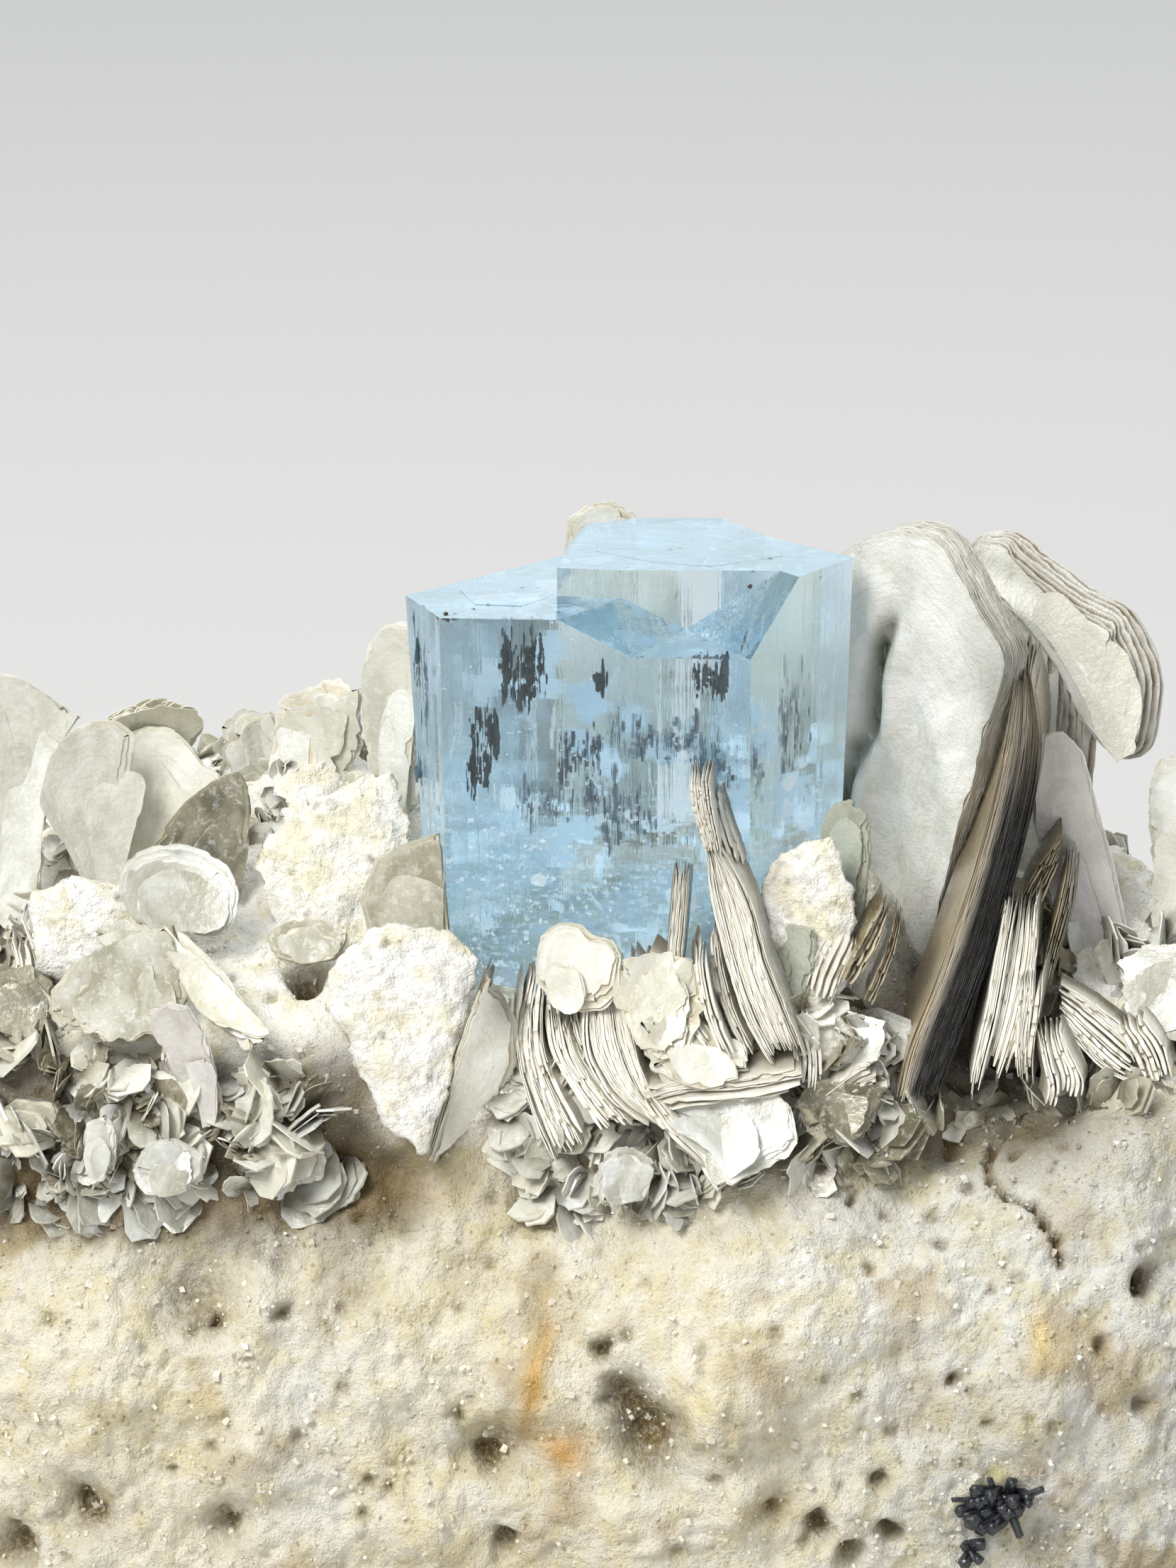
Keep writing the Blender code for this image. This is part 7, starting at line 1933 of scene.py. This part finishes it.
# Outlines of the broad plates as they stand in the picture: pixel polygon, pixel and depth
# of the centre, turn, lean, thickness, curvature
TRACED = {
    "left_blade": [([(57, 1108), (70, 1062), (96, 1030), (130, 1014), (166, 1014), (190, 1032), (184, 1090),
                     (177, 1160), (168, 1225), (142, 1280), (126, 1262), (104, 1205), (76, 1150)],
                    (125, 1130, -1.6), 12, 6, 0.36, 0.05, 0.010)],
    "left_blade_b": [([(182, 1040), (208, 1024), (240, 1026), (266, 1048), (288, 1076), (318, 1092), (312, 1124),
                       (282, 1150), (248, 1180), (214, 1222), (190, 1250), (180, 1180), (178, 1100)],
                      (235, 1110, 0.4), -12, 8, 0.36, 0.05, 0.012)],
    "dark_triangle": [([(228, 1168), (262, 1128), (300, 1098), (336, 1084), (354, 1104), (358, 1152), (350, 1204),
                        (338, 1240), (318, 1266), (286, 1244), (256, 1206)], (305, 1170, -2.2), 14, 10, 0.34,
                       0.02, 0.0)],
    "disc": [([(166, 1262), (172, 1222), (192, 1200), (222, 1187), (256, 1187), (292, 1200), (322, 1220),
               (338, 1254), (335, 1292), (318, 1320), (286, 1324), (252, 1314), (212, 1312), (184, 1296)],
              (252, 1256, -6.8), 6, 24, 0.5, 0.05, 0.04)],
    "hex_plate": [([(505, 1272), (514, 1238), (527, 1210), (560, 1192), (596, 1180), (622, 1172), (628, 1240),
                    (638, 1328), (618, 1348), (590, 1354), (556, 1350), (531, 1343), (516, 1308)],
                   (572, 1268, -6.4), -10, 5, 0.42, 0.015, 0.006)],
    "tan_blade": [([(232, 1308), (190, 1318), (148, 1332), (104, 1354), (70, 1396), (64, 1430), (84, 1462),
                    (112, 1456), (128, 1480), (158, 1468), (182, 1478), (206, 1462), (232, 1466), (254, 1446),
                    (272, 1412), (262, 1362), (250, 1330)], (170, 1398, -11.6), 10, 30, 0.4, 0.02, 0.035)],
    "draped": [([(232, 1306), (262, 1314), (296, 1342), (322, 1372), (346, 1406), (368, 1444), (384, 1476),
                 (360, 1478), (326, 1462), (296, 1444), (268, 1410), (252, 1364)], (306, 1398, -11.4), -16, 26,
                0.4, 0.05, 0.03)],
    "hanging": [([(208, 1424), (240, 1410), (268, 1418), (292, 1456), (308, 1508), (320, 1560), (306, 1588),
                  (276, 1582), (252, 1538), (234, 1492), (214, 1458)], (264, 1496, -14.0), -12, -6, 0.36,
                 0.06, 0.02)],
    "bright_a": [([(326, 1552), (350, 1530), (384, 1528), (408, 1552), (404, 1588), (368, 1620), (334, 1612),
                   (322, 1582)], (366, 1574, -14.8), 12, 8, 0.4, 0.05, 0.0)],
    "bright_b": [([(118, 1582), (150, 1568), (168, 1592), (164, 1655), (140, 1668), (124, 1650), (114, 1612)],
                  (142, 1618, -15.8), -16, 6, 0.36, 0.05, 0.0)],
    "far_left": [([(-14, 954), (22, 950), (68, 978), (116, 1012), (84, 1040), (60, 1090), (56, 1150),
                   (66, 1216), (54, 1286), (10, 1308), (-22, 1270), (-26, 1100)], (40, 1120, 1.6), 10, 5, 0.5,
                  0.02, 0.006)],
    "round_book": [([(757, 1352), (764, 1318), (790, 1300), (820, 1304), (836, 1318), (862, 1322), (882, 1350),
                     (878, 1398), (852, 1428), (806, 1432), (776, 1412), (756, 1386)], (820, 1368, -11.8), -14,
                    10, 0.7, 0.08, 0.03)],
    "silver_plate": [([(903, 1542), (938, 1536), (990, 1531), (1040, 1528), (1084, 1527), (1118, 1566),
                       (1128, 1612), (1112, 1636), (1060, 1661), (1012, 1680), (1002, 1664), (978, 1616),
                       (948, 1588), (917, 1570)], (1018, 1596, -15.4), -4, 34, 0.5, 0.02, 0.02)],
    "wavy_sheets": [([(872, 1356), (906, 1344), (946, 1338), (986, 1358), (998, 1400), (992, 1450), (975, 1492),
                      (938, 1502), (904, 1480), (884, 1440), (868, 1396)], (936, 1420, -12.6), -6, 26, 0.5,
                     0.06, 0.04),
                    ([(896, 1446), (940, 1430), (1000, 1440), (1052, 1476), (1064, 1516), (1020, 1540),
                      (960, 1536), (916, 1512)], (980, 1488, -13.8), 6, 36, 0.45, 0.05, 0.04)],
    "pale_blade": [([(1456, 1046), (1500, 1030), (1530, 1062), (1552, 1140), (1574, 1220), (1590, 1300),
                     (1570, 1392), (1534, 1420), (1500, 1352), (1478, 1262), (1458, 1160)], (1520, 1220, 2.2),
                    6, 5, 0.5, 0.02, 0.004)],
}

FAN_SCALE = {"spike": (1.0, 0.35), "brown_blades": (1.0, 1.0)}


def build_books():
    done = {}
    face_of = {"triangle_blade": ([(684, 1370), (712, 1402), (732, 1440), (730, 1500), (704, 1565), (645, 1618),
                                   (601, 1638), (626, 1545), (655, 1455)], (668, 1510, -13.1), 24, -6, 0.5)}
    for name, plates in BOOKS:
        short = name.replace("muscovite_", "")
        s = Soup()
        if short in FANS:
            mat, n, depth, kw, fans = FANS[short]
            for k, (left, right) in enumerate(fans):
                kw2 = dict(kw)
                kw2["seed"] = kw["seed"] + 100 * k
                m = n if k == 0 else max(3, int(n * FAN_SCALE.get(short, (1, 0.7))[1]))
                edge_fan(s, left, right, m, depth, **kw2)
            if short in face_of:
                poly, cpx, az, lean, t = face_of[short]
                c = at(*cpx)
                leaf_book(s, c, local_outline(poly, c, az, lean), t, az, lean, 0.03, 0.01, leaves=4, jag=0.06,
                          terrace=0.5, tdir=(1, -0.3), wave=0.2, seed=404, groove=0.2, step=0.2,
                          shade=lambda X: 0.75 * smoothstep(-0.2, 1.6, X[:, 0]) * smoothstep(1.0, 3.6, X[:, 1]),
                          rings=(0.9, 0.75, 0.55, 0.3))
        else:
            mat, leaves, jag, terrace, loose, kw = LOOK[short]
            if short in TRACED:
                plates = [(at(*cpx), local_outline(poly, at(*cpx), az, lean), t / 0.8, az, lean, kx, kz)
                          for (poly, cpx, az, lean, t, kx, kz) in TRACED[short]]
            if short == "back_a":
                plates = [(c, [(x, y * (0.55 if y > 0 else 1.0)) for x, y in o], t, az, lean, kx, kz)
                          for (c, o, t, az, lean, kx, kz) in plates]
            for k, (c, outline, t, az, lean, kx, kz) in enumerate(plates):
                seed = (hash_name(short) + 13 * k) % 997 + 1
                leaf_book(s, c, outline, t * 0.8, az, lean, kx, kz, leaves=leaves, jag=jag, terrace=terrace,
                          seed=seed, **kw)
                companions(s, c, outline, t * 0.8, az, lean, kx, kz, loose, seed, jag, kw.get("wave", 0.2),
                           shade="shade" in kw)
        done[name] = (s, mat)
    return done


def hash_name(t):
    h = 7
    for ch in t:
        h = (h * 31 + ord(ch)) % 100003
    return h


# ------------------------------------------------- albite crust and growths
def pillow(soup, poly, c, az, lean, bulge, back=1.2, rings=34, step=0.24, seed=1, power=0.5, rough=1.0,
           tint_to=None, sag=0.0, wide=0.28, bendback=0.0):
    """A swollen crust of sugary albite over the pixel polygon poly."""
    outline = local_outline(poly, c, az, lean)
    _, per = closed_spline(outline, 200)
    M = int(min(max(per / step, 40), 260))
    base, _ = closed_spline(outline, M)
    P2, prof = [], []
    rr = np.linspace(1, 0, rings + 1)[:-1] ** 0.8
    for r in rr:
        P2.append(base * r)
        prof.append(np.full(M, (1 - r ** 3.2) ** power))
    P2.append(np.zeros((1, 2)))
    prof.append(np.ones(1))
    P2, prof = np.concatenate(P2), np.concatenate(prof)
    m = plate_matrix(c, az, lean)
    z = bulge * prof + sag * P2[:, 1] ** 2 - bendback * np.maximum(0, P2[:, 1]) ** 2
    W = np.stack([P2[:, 0], P2[:, 1], z], 1) @ m[:3, :3].T + m[:3, 3]
    n = m[:3, 2]
    f1, _, _ = cells(W, 1.9, seed)
    g1, _, _ = cells(W, 3.6, seed + 1)
    h1, _, ht = cells(W, 0.8, seed + 2)
    pore = smoothstep(0.27, 0.10, h1) * (ht > 0.4)
    d = 0.34 * fbm(W, 0.5, 3, seed + 3) + (0.05 + 0.16 * rough) * fbm(W, 1.6, 4, seed + 4) \
        + rough * (0.10 * (0.5 - f1) + 0.09 * (0.5 - g1)) - 0.22 * pore * rough
    edge = np.minimum(1, prof * 1.6)
    lateral = fbm(W, 0.8, 3, seed + 8)
    W = W + n * (d * edge)[:, None]
    W[:, 0] += wide * (lateral + 0.5 * pn(W, 2.4, seed + 12)) * (1 - prof) ** 2
    W[:, 2] += wide * (pn(W, 1.1, seed + 9) + 0.5 * pn(W, 2.6, seed + 11)) * (1 - prof) ** 2
    cav = (pore * 0.5 + 0.3 * smoothstep(0.6, 0.85, f1)) * edge
    F = []
    for k in range(rings - 1):
        a = np.arange(M) + k * M
        b = a + M
        F.extend(np.stack([a, np.roll(a, -1), np.roll(b, -1), b], 1).tolist())
    a = np.arange(M) + (rings - 1) * M
    F.extend([(int(p), int(q), rings * M) for p, q in zip(a, np.roll(a, -1))])
    # plain rear
    B = base * 0.7
    Wb = np.stack([B[:, 0], B[:, 1], np.full(M, -back)], 1) @ m[:3, :3].T + m[:3, 3]
    cb = (np.array([[0.0, 0.0, -back]]) @ m[:3, :3].T + m[:3, 3])
    o = rings * M + 1
    for k in range(M):
        k2 = (k + 1) % M
        F.append((o + k, o + k2, k2, k))
        F.append((o + k2, o + k, o + M))
    P = np.concatenate([W, Wb, cb])
    N = np.tile(n, (len(P), 1))
    tint = rock_tint(P, N, None)
    if tint_to is not None:
        rgb, w = tint_to
        tint = tint + (lin(*rgb) - tint) * w
    soup.add(P, F, tint=tint, cav=np.concatenate([cav, np.zeros(M + 1)]))


CRUSTS = [
    # polygon, centre at (u, v, y), turn, lean, bulge, options
    ("tongue", [(478, 1345), (520, 1312), (580, 1305), (640, 1318), (672, 1350), (668, 1400), (652, 1460),
                (636, 1520), (616, 1588), (604, 1622), (588, 1626), (560, 1598), (540, 1590), (528, 1552),
                (508, 1512), (486, 1462), (462, 1430), (458, 1385)], (565, 1460, -12.8), 4, 30, 0.7,
     dict(seed=71, rough=0.3, bendback=0.0, rings=56, step=0.17, tint_to=((243, 242, 237), 0.93), wide=0.4)),
    ("feldspar_mass", [(1076, 1240), (1094, 1206), (1134, 1194), (1170, 1180), (1192, 1215), (1201, 1290),
                       (1196, 1350), (1184, 1400), (1160, 1446), (1126, 1452), (1096, 1430), (1080, 1380),
                       (1068, 1310)], (1135, 1320, -9.4), -6, 22, 0.6,
     dict(seed=73, rough=0.35, step=0.2, tint_to=((246, 245, 240), 0.95), wide=0.5)),
    ("left_bank", [(380, 1180), (440, 1130), (500, 1100), (555, 1090), (575, 1160), (560, 1260), (520, 1330),
                   (470, 1350), (420, 1345), (380, 1290), (362, 1230)], (470, 1230, -2.2), 4, 46, 0.5,
     dict(seed=79, rough=0.2, step=0.2, tint_to=((242, 240, 231), 0.92), wide=0.5)),
    ("left_pile", [(40, 1262), (110, 1235), (170, 1252), (230, 1310), (210, 1370), (130, 1390), (50, 1370)],
     (130, 1320, -7.6), 6, 34, 0.6, dict(seed=81, rough=0.3, step=0.2, tint_to=((240, 239, 234), 0.85), wide=0.5)),
    ("under_spike", [(1130, 1440), (1180, 1425), (1215, 1470), (1200, 1500), (1150, 1500), (1120, 1480)],
     (1165, 1465, -12.0), 0, 20, 0.5, dict(seed=83, rough=0.6, tint_to=((232, 228, 216), 0.6))),
]


def build_crusts():
    s = Soup()
    for (name, poly, cpx, az, lean, bulge, kw) in CRUSTS:
        pillow(s, poly, at(*cpx), az, lean, bulge, **kw)
    return s


def rock_surface_tree(grid):
    ni, nj = grid.shape[:2]
    g = grid[::2, ::2]
    a, b = g.shape[:2]
    f = grid_faces(a, b)
    return BVHTree.FromPolygons([Vector(p) for p in g.reshape(-1, 3)], [tuple(int(x) for x in q) for q in f])


def build_grains(seed=5):
    """Sugary albite: small blocky crystals standing on the crust and the rock."""
    rng = np.random.default_rng(seed)
    G = ROCK_GRID
    ni, nj = G.shape[:2]
    nr = grid_normals(G)
    s = Soup()
    V_all, F_all, T_all = [], [], []
    cube = np.array([(-1, -1, -1), (1, -1, -1), (1, 1, -1), (-1, 1, -1),
                     (-1, -1, 1), (1, -1, 1), (1, 1, 1), (-1, 1, 1)], float)
    quads = np.array([(0, 3, 2, 1), (4, 5, 6, 7), (0, 1, 5, 4), (1, 2, 6, 5), (2, 3, 7, 6), (3, 0, 4, 7)])
    n = 15000
    i = rng.integers(1, ni - 1, n)
    j = rng.integers(2, 215, n)
    P = G[i, j]
    N = nr[i, j]
    dens = 0.25 + 0.75 * smoothstep(-0.1, 0.6, fbm(P, 0.35, 2, 91))
    dens = dens * np.where(P[:, 2] > 27, 0.6, 1.0)
    keep = rng.random(n) < dens
    P, N = P[keep], N[keep]
    P = P + rng.normal(0, 0.05, P.shape)
    m = len(P)
    a = rng.normal(size=(m, 3)) * 0.7 + N
    a /= np.linalg.norm(a, axis=1, keepdims=True)
    b = np.cross(a, rng.normal(size=(m, 3)))
    b /= np.linalg.norm(b, axis=1, keepdims=True)
    c = np.cross(a, b)
    r = rng.gamma(2.6, 0.026, m).clip(0.035, 0.17)
    dims = np.stack([r * rng.uniform(0.5, 0.9, m), r * rng.uniform(0.6, 1.0, m), r * rng.uniform(0.7, 1.3, m)], 1)
    fr = np.stack([b, c, a], 1)                               # rows: local axes
    loc = cube[None] * dims[:, None, :] * (1 + 0.24 * rng.normal(size=(m, 8, 3)))
    W = P[:, None, :] + np.einsum('mki,mij->mkj', loc, fr)
    V = W.reshape(-1, 3)
    F = (np.arange(m)[:, None, None] * 8 + quads[None]).reshape(-1, 4)
    white = rng.random(m)[:, None]
    t = rock_tint(P, N, None)
    t = t + (lin(246, 245, 240) - t) * (0.05 + 0.45 * white ** 2)
    s.add(V, F, tint=np.repeat(t, 8, 0))
    return s


FLAKE_ZONES = [
    # pixel polygon, tufts, size range (mm), look
    ([(0, 1500), (60, 1520), (200, 1520), (330, 1500), (430, 1530), (490, 1580), (500, 1640), (430, 1680),
      (300, 1680), (150, 1680), (60, 1700), (0, 1690)], 46, (1.1, 2.5), "silver"),
    ([(0, 1460), (260, 1480), (420, 1500), (480, 1600), (260, 1660), (90, 1640)], 30, (1.4, 3.0), "cream"),
    # the dark tufts here and below stand partly for painted shade among the flakes
    ([(60, 1470), (260, 1490), (440, 1520), (470, 1630), (260, 1670), (90, 1660)], 60, (0.9, 2.2), "dark"),
    ([(0, 1560), (200, 1600), (460, 1600), (470, 1680), (200, 1680), (0, 1700)], 40, (0.6, 1.5), "silver"),
    ([(690, 1540), (760, 1460), (900, 1580), (1050, 1650), (1100, 1660), (1000, 1700), (900, 1715), (760, 1690)],
     55, (0.9, 2.2), "silver"),
    ([(700, 1540), (800, 1460), (950, 1560), (1050, 1660), (880, 1705), (740, 1680)], 45, (0.9, 2.2), "cream"),
    ([(1100, 1420), (1200, 1400), (1300, 1480), (1290, 1600), (1180, 1650), (1090, 1650), (1110, 1540)], 60,
     (1.0, 2.6), "dark"),
    ([(1090, 1440), (1200, 1420), (1300, 1500), (1250, 1600), (1150, 1640)], 50, (1.0, 2.6), "silver"),
    ([(1300, 1540), (1480, 1440), (1640, 1500), (1600, 1570), (1400, 1600)], 50, (0.8, 2.4), "tan"),
    ([(0, 1270), (70, 1330), (90, 1460), (0, 1470)], 34, (1.2, 2.8), "tan"),
    ([(1540, 1300), (1659, 1300), (1659, 1500), (1600, 1480)], 40, (1.2, 3.0), "silver"),
    ([(1380, 1180), (1500, 1180), (1520, 1400), (1400, 1420)], 30, (1.2, 2.6), "dark"),
    ([(740, 1380), (930, 1380), (940, 1560), (780, 1560)], 40, (1.0, 2.4), "cream"),
    ([(1010, 1240), (1100, 1210), (1180, 1270), (1180, 1420), (1060, 1440)], 34, (0.9, 2.2), "white"),
    ([(860, 1340), (1000, 1330), (1040, 1500), (900, 1520)], 44, (1.2, 2.6), "white"),
    ([(0, 1180), (60, 1140), (300, 1120), (330, 1300), (150, 1330), (0, 1300)], 34, (1.2, 2.8), "cream"),
    ([(230, 1060), (330, 1040), (420, 1080), (400, 1180), (260, 1200)], 20, (0.8, 1.8), "white"),
]


def in_poly(u, v, poly):
    inside = False
    n = len(poly)
    for i in range(n):
        (x1, y1), (x2, y2) = poly[i], poly[(i + 1) % n]
        if (y1 > v) != (y2 > v) and u < (x2 - x1) * (v - y1) / (y2 - y1) + x1:
            inside = not inside
    return inside


def build_flakes(tree):
    rng = np.random.default_rng(77)
    out = {}
    for (poly, count, (s0, s1), look) in FLAKE_ZONES:
        us, vs = [p[0] for p in poly], [p[1] for p in poly]
        P, D, N, S = [], [], [], []
        while len(P) < count:
            u, v = rng.uniform(min(us), max(us)), rng.uniform(min(vs), max(vs))
            if not in_poly(u, v, poly):
                continue
            d = ray(u, v)
            hit = tree.ray_cast(Vector(EYE), Vector(d / np.linalg.norm(d)))
            if hit[0] is None or (hit[0][1] > -8.8 and -9.5 < hit[0][0] < 13.5):
                continue
            size = rng.uniform(s0, s1)
            P.append(np.array(hit[0]) + (0, -0.15 * size, 0))
            D.append(np.array((rng.normal(0, 0.75), -0.55 + rng.normal(0, 0.3), -0.45 + rng.normal(0, 0.6))))
            N.append(np.array((rng.normal(0, 0.8), -0.9, 0.5 + rng.normal(0, 0.5))))
            S.append(size)
        petals(out.setdefault(look, Soup()), P, D, N, S, rng, 3, K=12)
    # the same small micas go round the sides and the back of the ledge
    G = ROCK_GRID
    nr = grid_normals(G)
    ni, nj = G.shape[:2]
    for look, count in (("silver", 60), ("tan", 50), ("cream", 70), ("dark", 16)):
        P, D, N, S = [], [], [], []
        while len(P) < count:
            where = rng.random()
            if where < 0.6:
                i, j = int(rng.integers(3, ni - 3)), int(rng.integers(nj - 62, nj - 22))
            else:
                i = int(rng.integers(2, 16)) if where < 0.8 else int(rng.integers(ni - 16, ni - 2))
                j = int(rng.integers(90, 215))
            p, n0 = G[i, j], nr[i, j]
            if p[2] < 17 or (where < 0.6 and p[2] < 23):
                continue
            size = rng.uniform(0.8, 2.2)
            P.append(p - n0 * 0.26 * size)
            D.append(n0 * 0.8 + rng.normal(size=3) * 0.5)
            N.append(rng.normal(size=3) + n0 * 0.6)
            S.append(size)
        petals(out.setdefault(look, Soup()), P, D, N, S, rng, 3)
    return out


# ------------------------------------------------------------------- schorl
def schorl_cluster(cu, cv, hu, hv, count, seed, r0, r1, l0, l1, spikes=()):
    """Stubby black prisms packed in a pixel ellipse on the rock's face."""
    rng = np.random.default_rng(seed)
    out = []
    for k in range(count):
        a, q = rng.uniform(0, 2 * math.pi), rng.random() ** 0.6
        p, n = front_hit(cu + hu * q * math.cos(a), cv + hv * q * math.sin(a))
        d = np.array((math.cos(a) * 0.9, -0.75, -math.sin(a) * 0.6)) + rng.normal(size=3) * (0.7, 0.35, 0.5)
        if d[1] > -0.15:
            d[1] = -0.15
        d /= np.linalg.norm(d)
        L = rng.uniform(l0, l1)
        out.append((tuple(p - d * L * 0.45), tuple(p + d * L * 0.55), rng.uniform(r0, r1)))
    for (u, v, dx, dz, L, r) in spikes:
        p, n = front_hit(u, v)
        d = np.array((dx, -0.35, dz))
        d /= np.linalg.norm(d)
        out.append((tuple(p - d * L * 0.5 + (0, -0.3, 0)), tuple(p + d * L * 0.5 + (0, -0.3, 0)), r))
    return out


SCHORL = {
    "schorl_main": schorl_cluster(1412, 2124, 44, 26, 30, 5, 0.16, 0.40, 0.9, 1.9,
                                  [(1370, 2112, -1.0, 0.15, 2.0, 0.13), (1400, 2098, -0.3, 1.0, 1.4, 0.16),
                                   (1452, 2104, 0.8, 0.5, 1.5, 0.18), (1380, 2128, -1.0, -0.25, 1.6, 0.18),
                                   (1432, 2148, 0.4, -1.0, 1.2, 0.2)]),
    "schorl_small": schorl_cluster(1371, 2187, 9, 14, 6, 8, 0.18, 0.32, 0.7, 1.2),
}


def build_schorl(needles, seed):
    rng = np.random.default_rng(seed)
    s = Soup()
    for (a, b, r) in needles:
        a, b = np.array(a), np.array(b)
        d = b - a
        L = np.linalg.norm(d)
        d = d / L
        u = np.cross(d, (0.3, 0.2, 1.0)); u /= np.linalg.norm(u)
        w = np.cross(d, u)
        # rounded triangular section of tourmaline with grooved sides
        m = 24
        th = np.linspace(0, 2 * math.pi, m, endpoint=False)
        rad = r * (1 + 0.13 * np.cos(3 * th + 0.6) + 0.05 * np.cos(9 * th) + 0.03 * rng.normal(size=m))
        V, F, bk = [], [], []
        levels = np.linspace(0, 1, 5)
        for e in levels:
            k = 1 - 0.10 * e + (0.03 * rng.normal())
            V.append(a + d * L * e + np.outer(rad * k * np.cos(th), u) + np.outer(rad * k * np.sin(th), w))
            bk.append(np.stack([rad * np.cos(th), rad * np.sin(th), np.full(m, L * e)], 1))
        tip = a + d * (L + r * 0.45)
        V.append(tip[None] + u * r * 0.15)
        V.append(a[None])
        bk += [np.array([[0, 0, L]]), np.array([[0.0, 0, 0]])]
        n = len(levels)
        for q in range(n - 1):
            for k in range(m):
                k2 = (k + 1) % m
                F.append((q * m + k, q * m + k2, (q + 1) * m + k2, (q + 1) * m + k))
        for k in range(m):
            k2 = (k + 1) % m
            F.append(((n - 1) * m + k, (n - 1) * m + k2, n * m))
            F.append((k2, k, n * m + 1))
        s.add(np.concatenate(V), F, bk=np.concatenate(bk))
    return s


# ----------------------------------------------------------------- assembly
rock = new_piece("matrix_rock", rock_soup, ROCK_MAT, ["matrix"])
crystal = new_piece("aquamarine_prism", crystal_soup, BERYL_MAT, ["aquamarine"], smooth=False)
veils = new_piece("aquamarine_veils", build_veils(), VEIL_MAT, smooth=False)
tubes = new_piece("aquamarine_tubes", build_tubes(), TUBE_MAT, smooth=False)
for node_name, (s, look) in build_books().items():
    new_piece(node_name + "_leaves", s, MICA[look], [node_name], crease=0.6)
new_piece("muscovite_rosette", build_rosette(), MICA["striped"], crease=0.6)
crust = new_piece("albite_crust", build_crusts(), ROCK_MAT)
grains = new_piece("albite_grains", build_grains(), GRAIN_MAT, smooth=False)
TREE = rock_surface_tree(ROCK_GRID)
for look, s in build_flakes(TREE).items():
    new_piece("muscovite_flakes_" + look, s, MICA[look], crease=0.6)
for k, (name, needles) in enumerate(SCHORL.items()):
    new_piece(name + "_needles", build_schorl(needles, 90 + k), SCHORL_MAT, [name])

# ---------------------------------------------------------- floor and light
floor_mesh = bpy.data.meshes.new("studio_floor")
# a flat floor that sweeps up into a pale wall all round
sweep = [(r, 0.0) for r in (0.4, 0.9, 1.4, 1.9)] \
    + [(1.9 + 0.8 * math.sin(a), 0.8 - 0.8 * math.cos(a)) for a in np.linspace(0, math.pi / 2, 13)[1:]] \
    + [(2.7, 1.2), (2.7, 1.8)]
turns = 72
floor_pts = [(0.0, 0.0, 0.0)] + [(r * math.cos(2 * math.pi * k / turns), r * math.sin(2 * math.pi * k / turns), z)
                                 for r, z in sweep for k in range(turns)]
floor_faces = [(0, 1 + k, 1 + (k + 1) % turns) for k in range(turns)]
for q in range(len(sweep) - 1):
    for k in range(turns):
        a, b = 1 + q * turns + k, 1 + q * turns + (k + 1) % turns
        floor_faces.append((a, a + turns, b + turns, b))
floor_mesh.from_pydata(floor_pts, [], floor_faces)
floor_mesh.shade_smooth()
floor = bpy.data.objects.new("studio_floor", floor_mesh)
bpy.context.scene.collection.objects.link(floor)
floor_mat, nt, b, out = shader("studio_floor")
b.inputs['Base Color'].default_value = (0.62, 0.61, 0.60, 1)
b.inputs['Roughness'].default_value = 0.85
floor_mesh.materials.append(floor_mat)

world = bpy.data.worlds.new("studio")
bpy.context.scene.world = world
world.use_nodes = True
world.node_tree.nodes["Background"].inputs[0].default_value = (0.80, 0.82, 0.86, 1)
world.node_tree.nodes["Background"].inputs[1].default_value = 0.26


def softbox(name, pos, size, power, color=(1, 1, 1), aim=(0, 0, 0.036), size_y=None):
    l = bpy.data.lights.new(name, 'AREA')
    l.shape = 'RECTANGLE'
    l.size = size
    l.size_y = size_y or size
    l.energy = power
    l.color = color
    o = bpy.data.objects.new(name, l)
    o.location = pos
    o.rotation_euler = (Vector(aim) - Vector(pos)).to_track_quat('-Z', 'Y').to_euler()
    bpy.context.scene.collection.objects.link(o)
    return o


softbox("key_upper_left", (-0.38, -0.44, 0.62), 0.36, 6.3, (1.0, 0.99, 0.965))
softbox("fill_right", (0.62, -0.40, 0.30), 0.40, 0.55, (0.95, 0.98, 1.0))
softbox("front_left", (-0.16, -0.80, 0.26), 0.36, 0.9, (1.0, 1.0, 0.99))
softbox("back_card", (0.0, 1.25, 0.46), 1.9, 6.6, (0.90, 0.97, 1.0), size_y=0.75)
softbox("top_soft", (0.12, 0.16, 0.75), 0.55, 3.2, (0.97, 0.99, 1.0))

scene = bpy.context.scene
scene.view_settings.view_transform = 'Standard'
scene.view_settings.look = 'None'
scene.view_settings.exposure = 0.0

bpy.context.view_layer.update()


print("triangles", sum(COUNT.values()), {k: v for k, v in COUNT.items() if v > 9000})
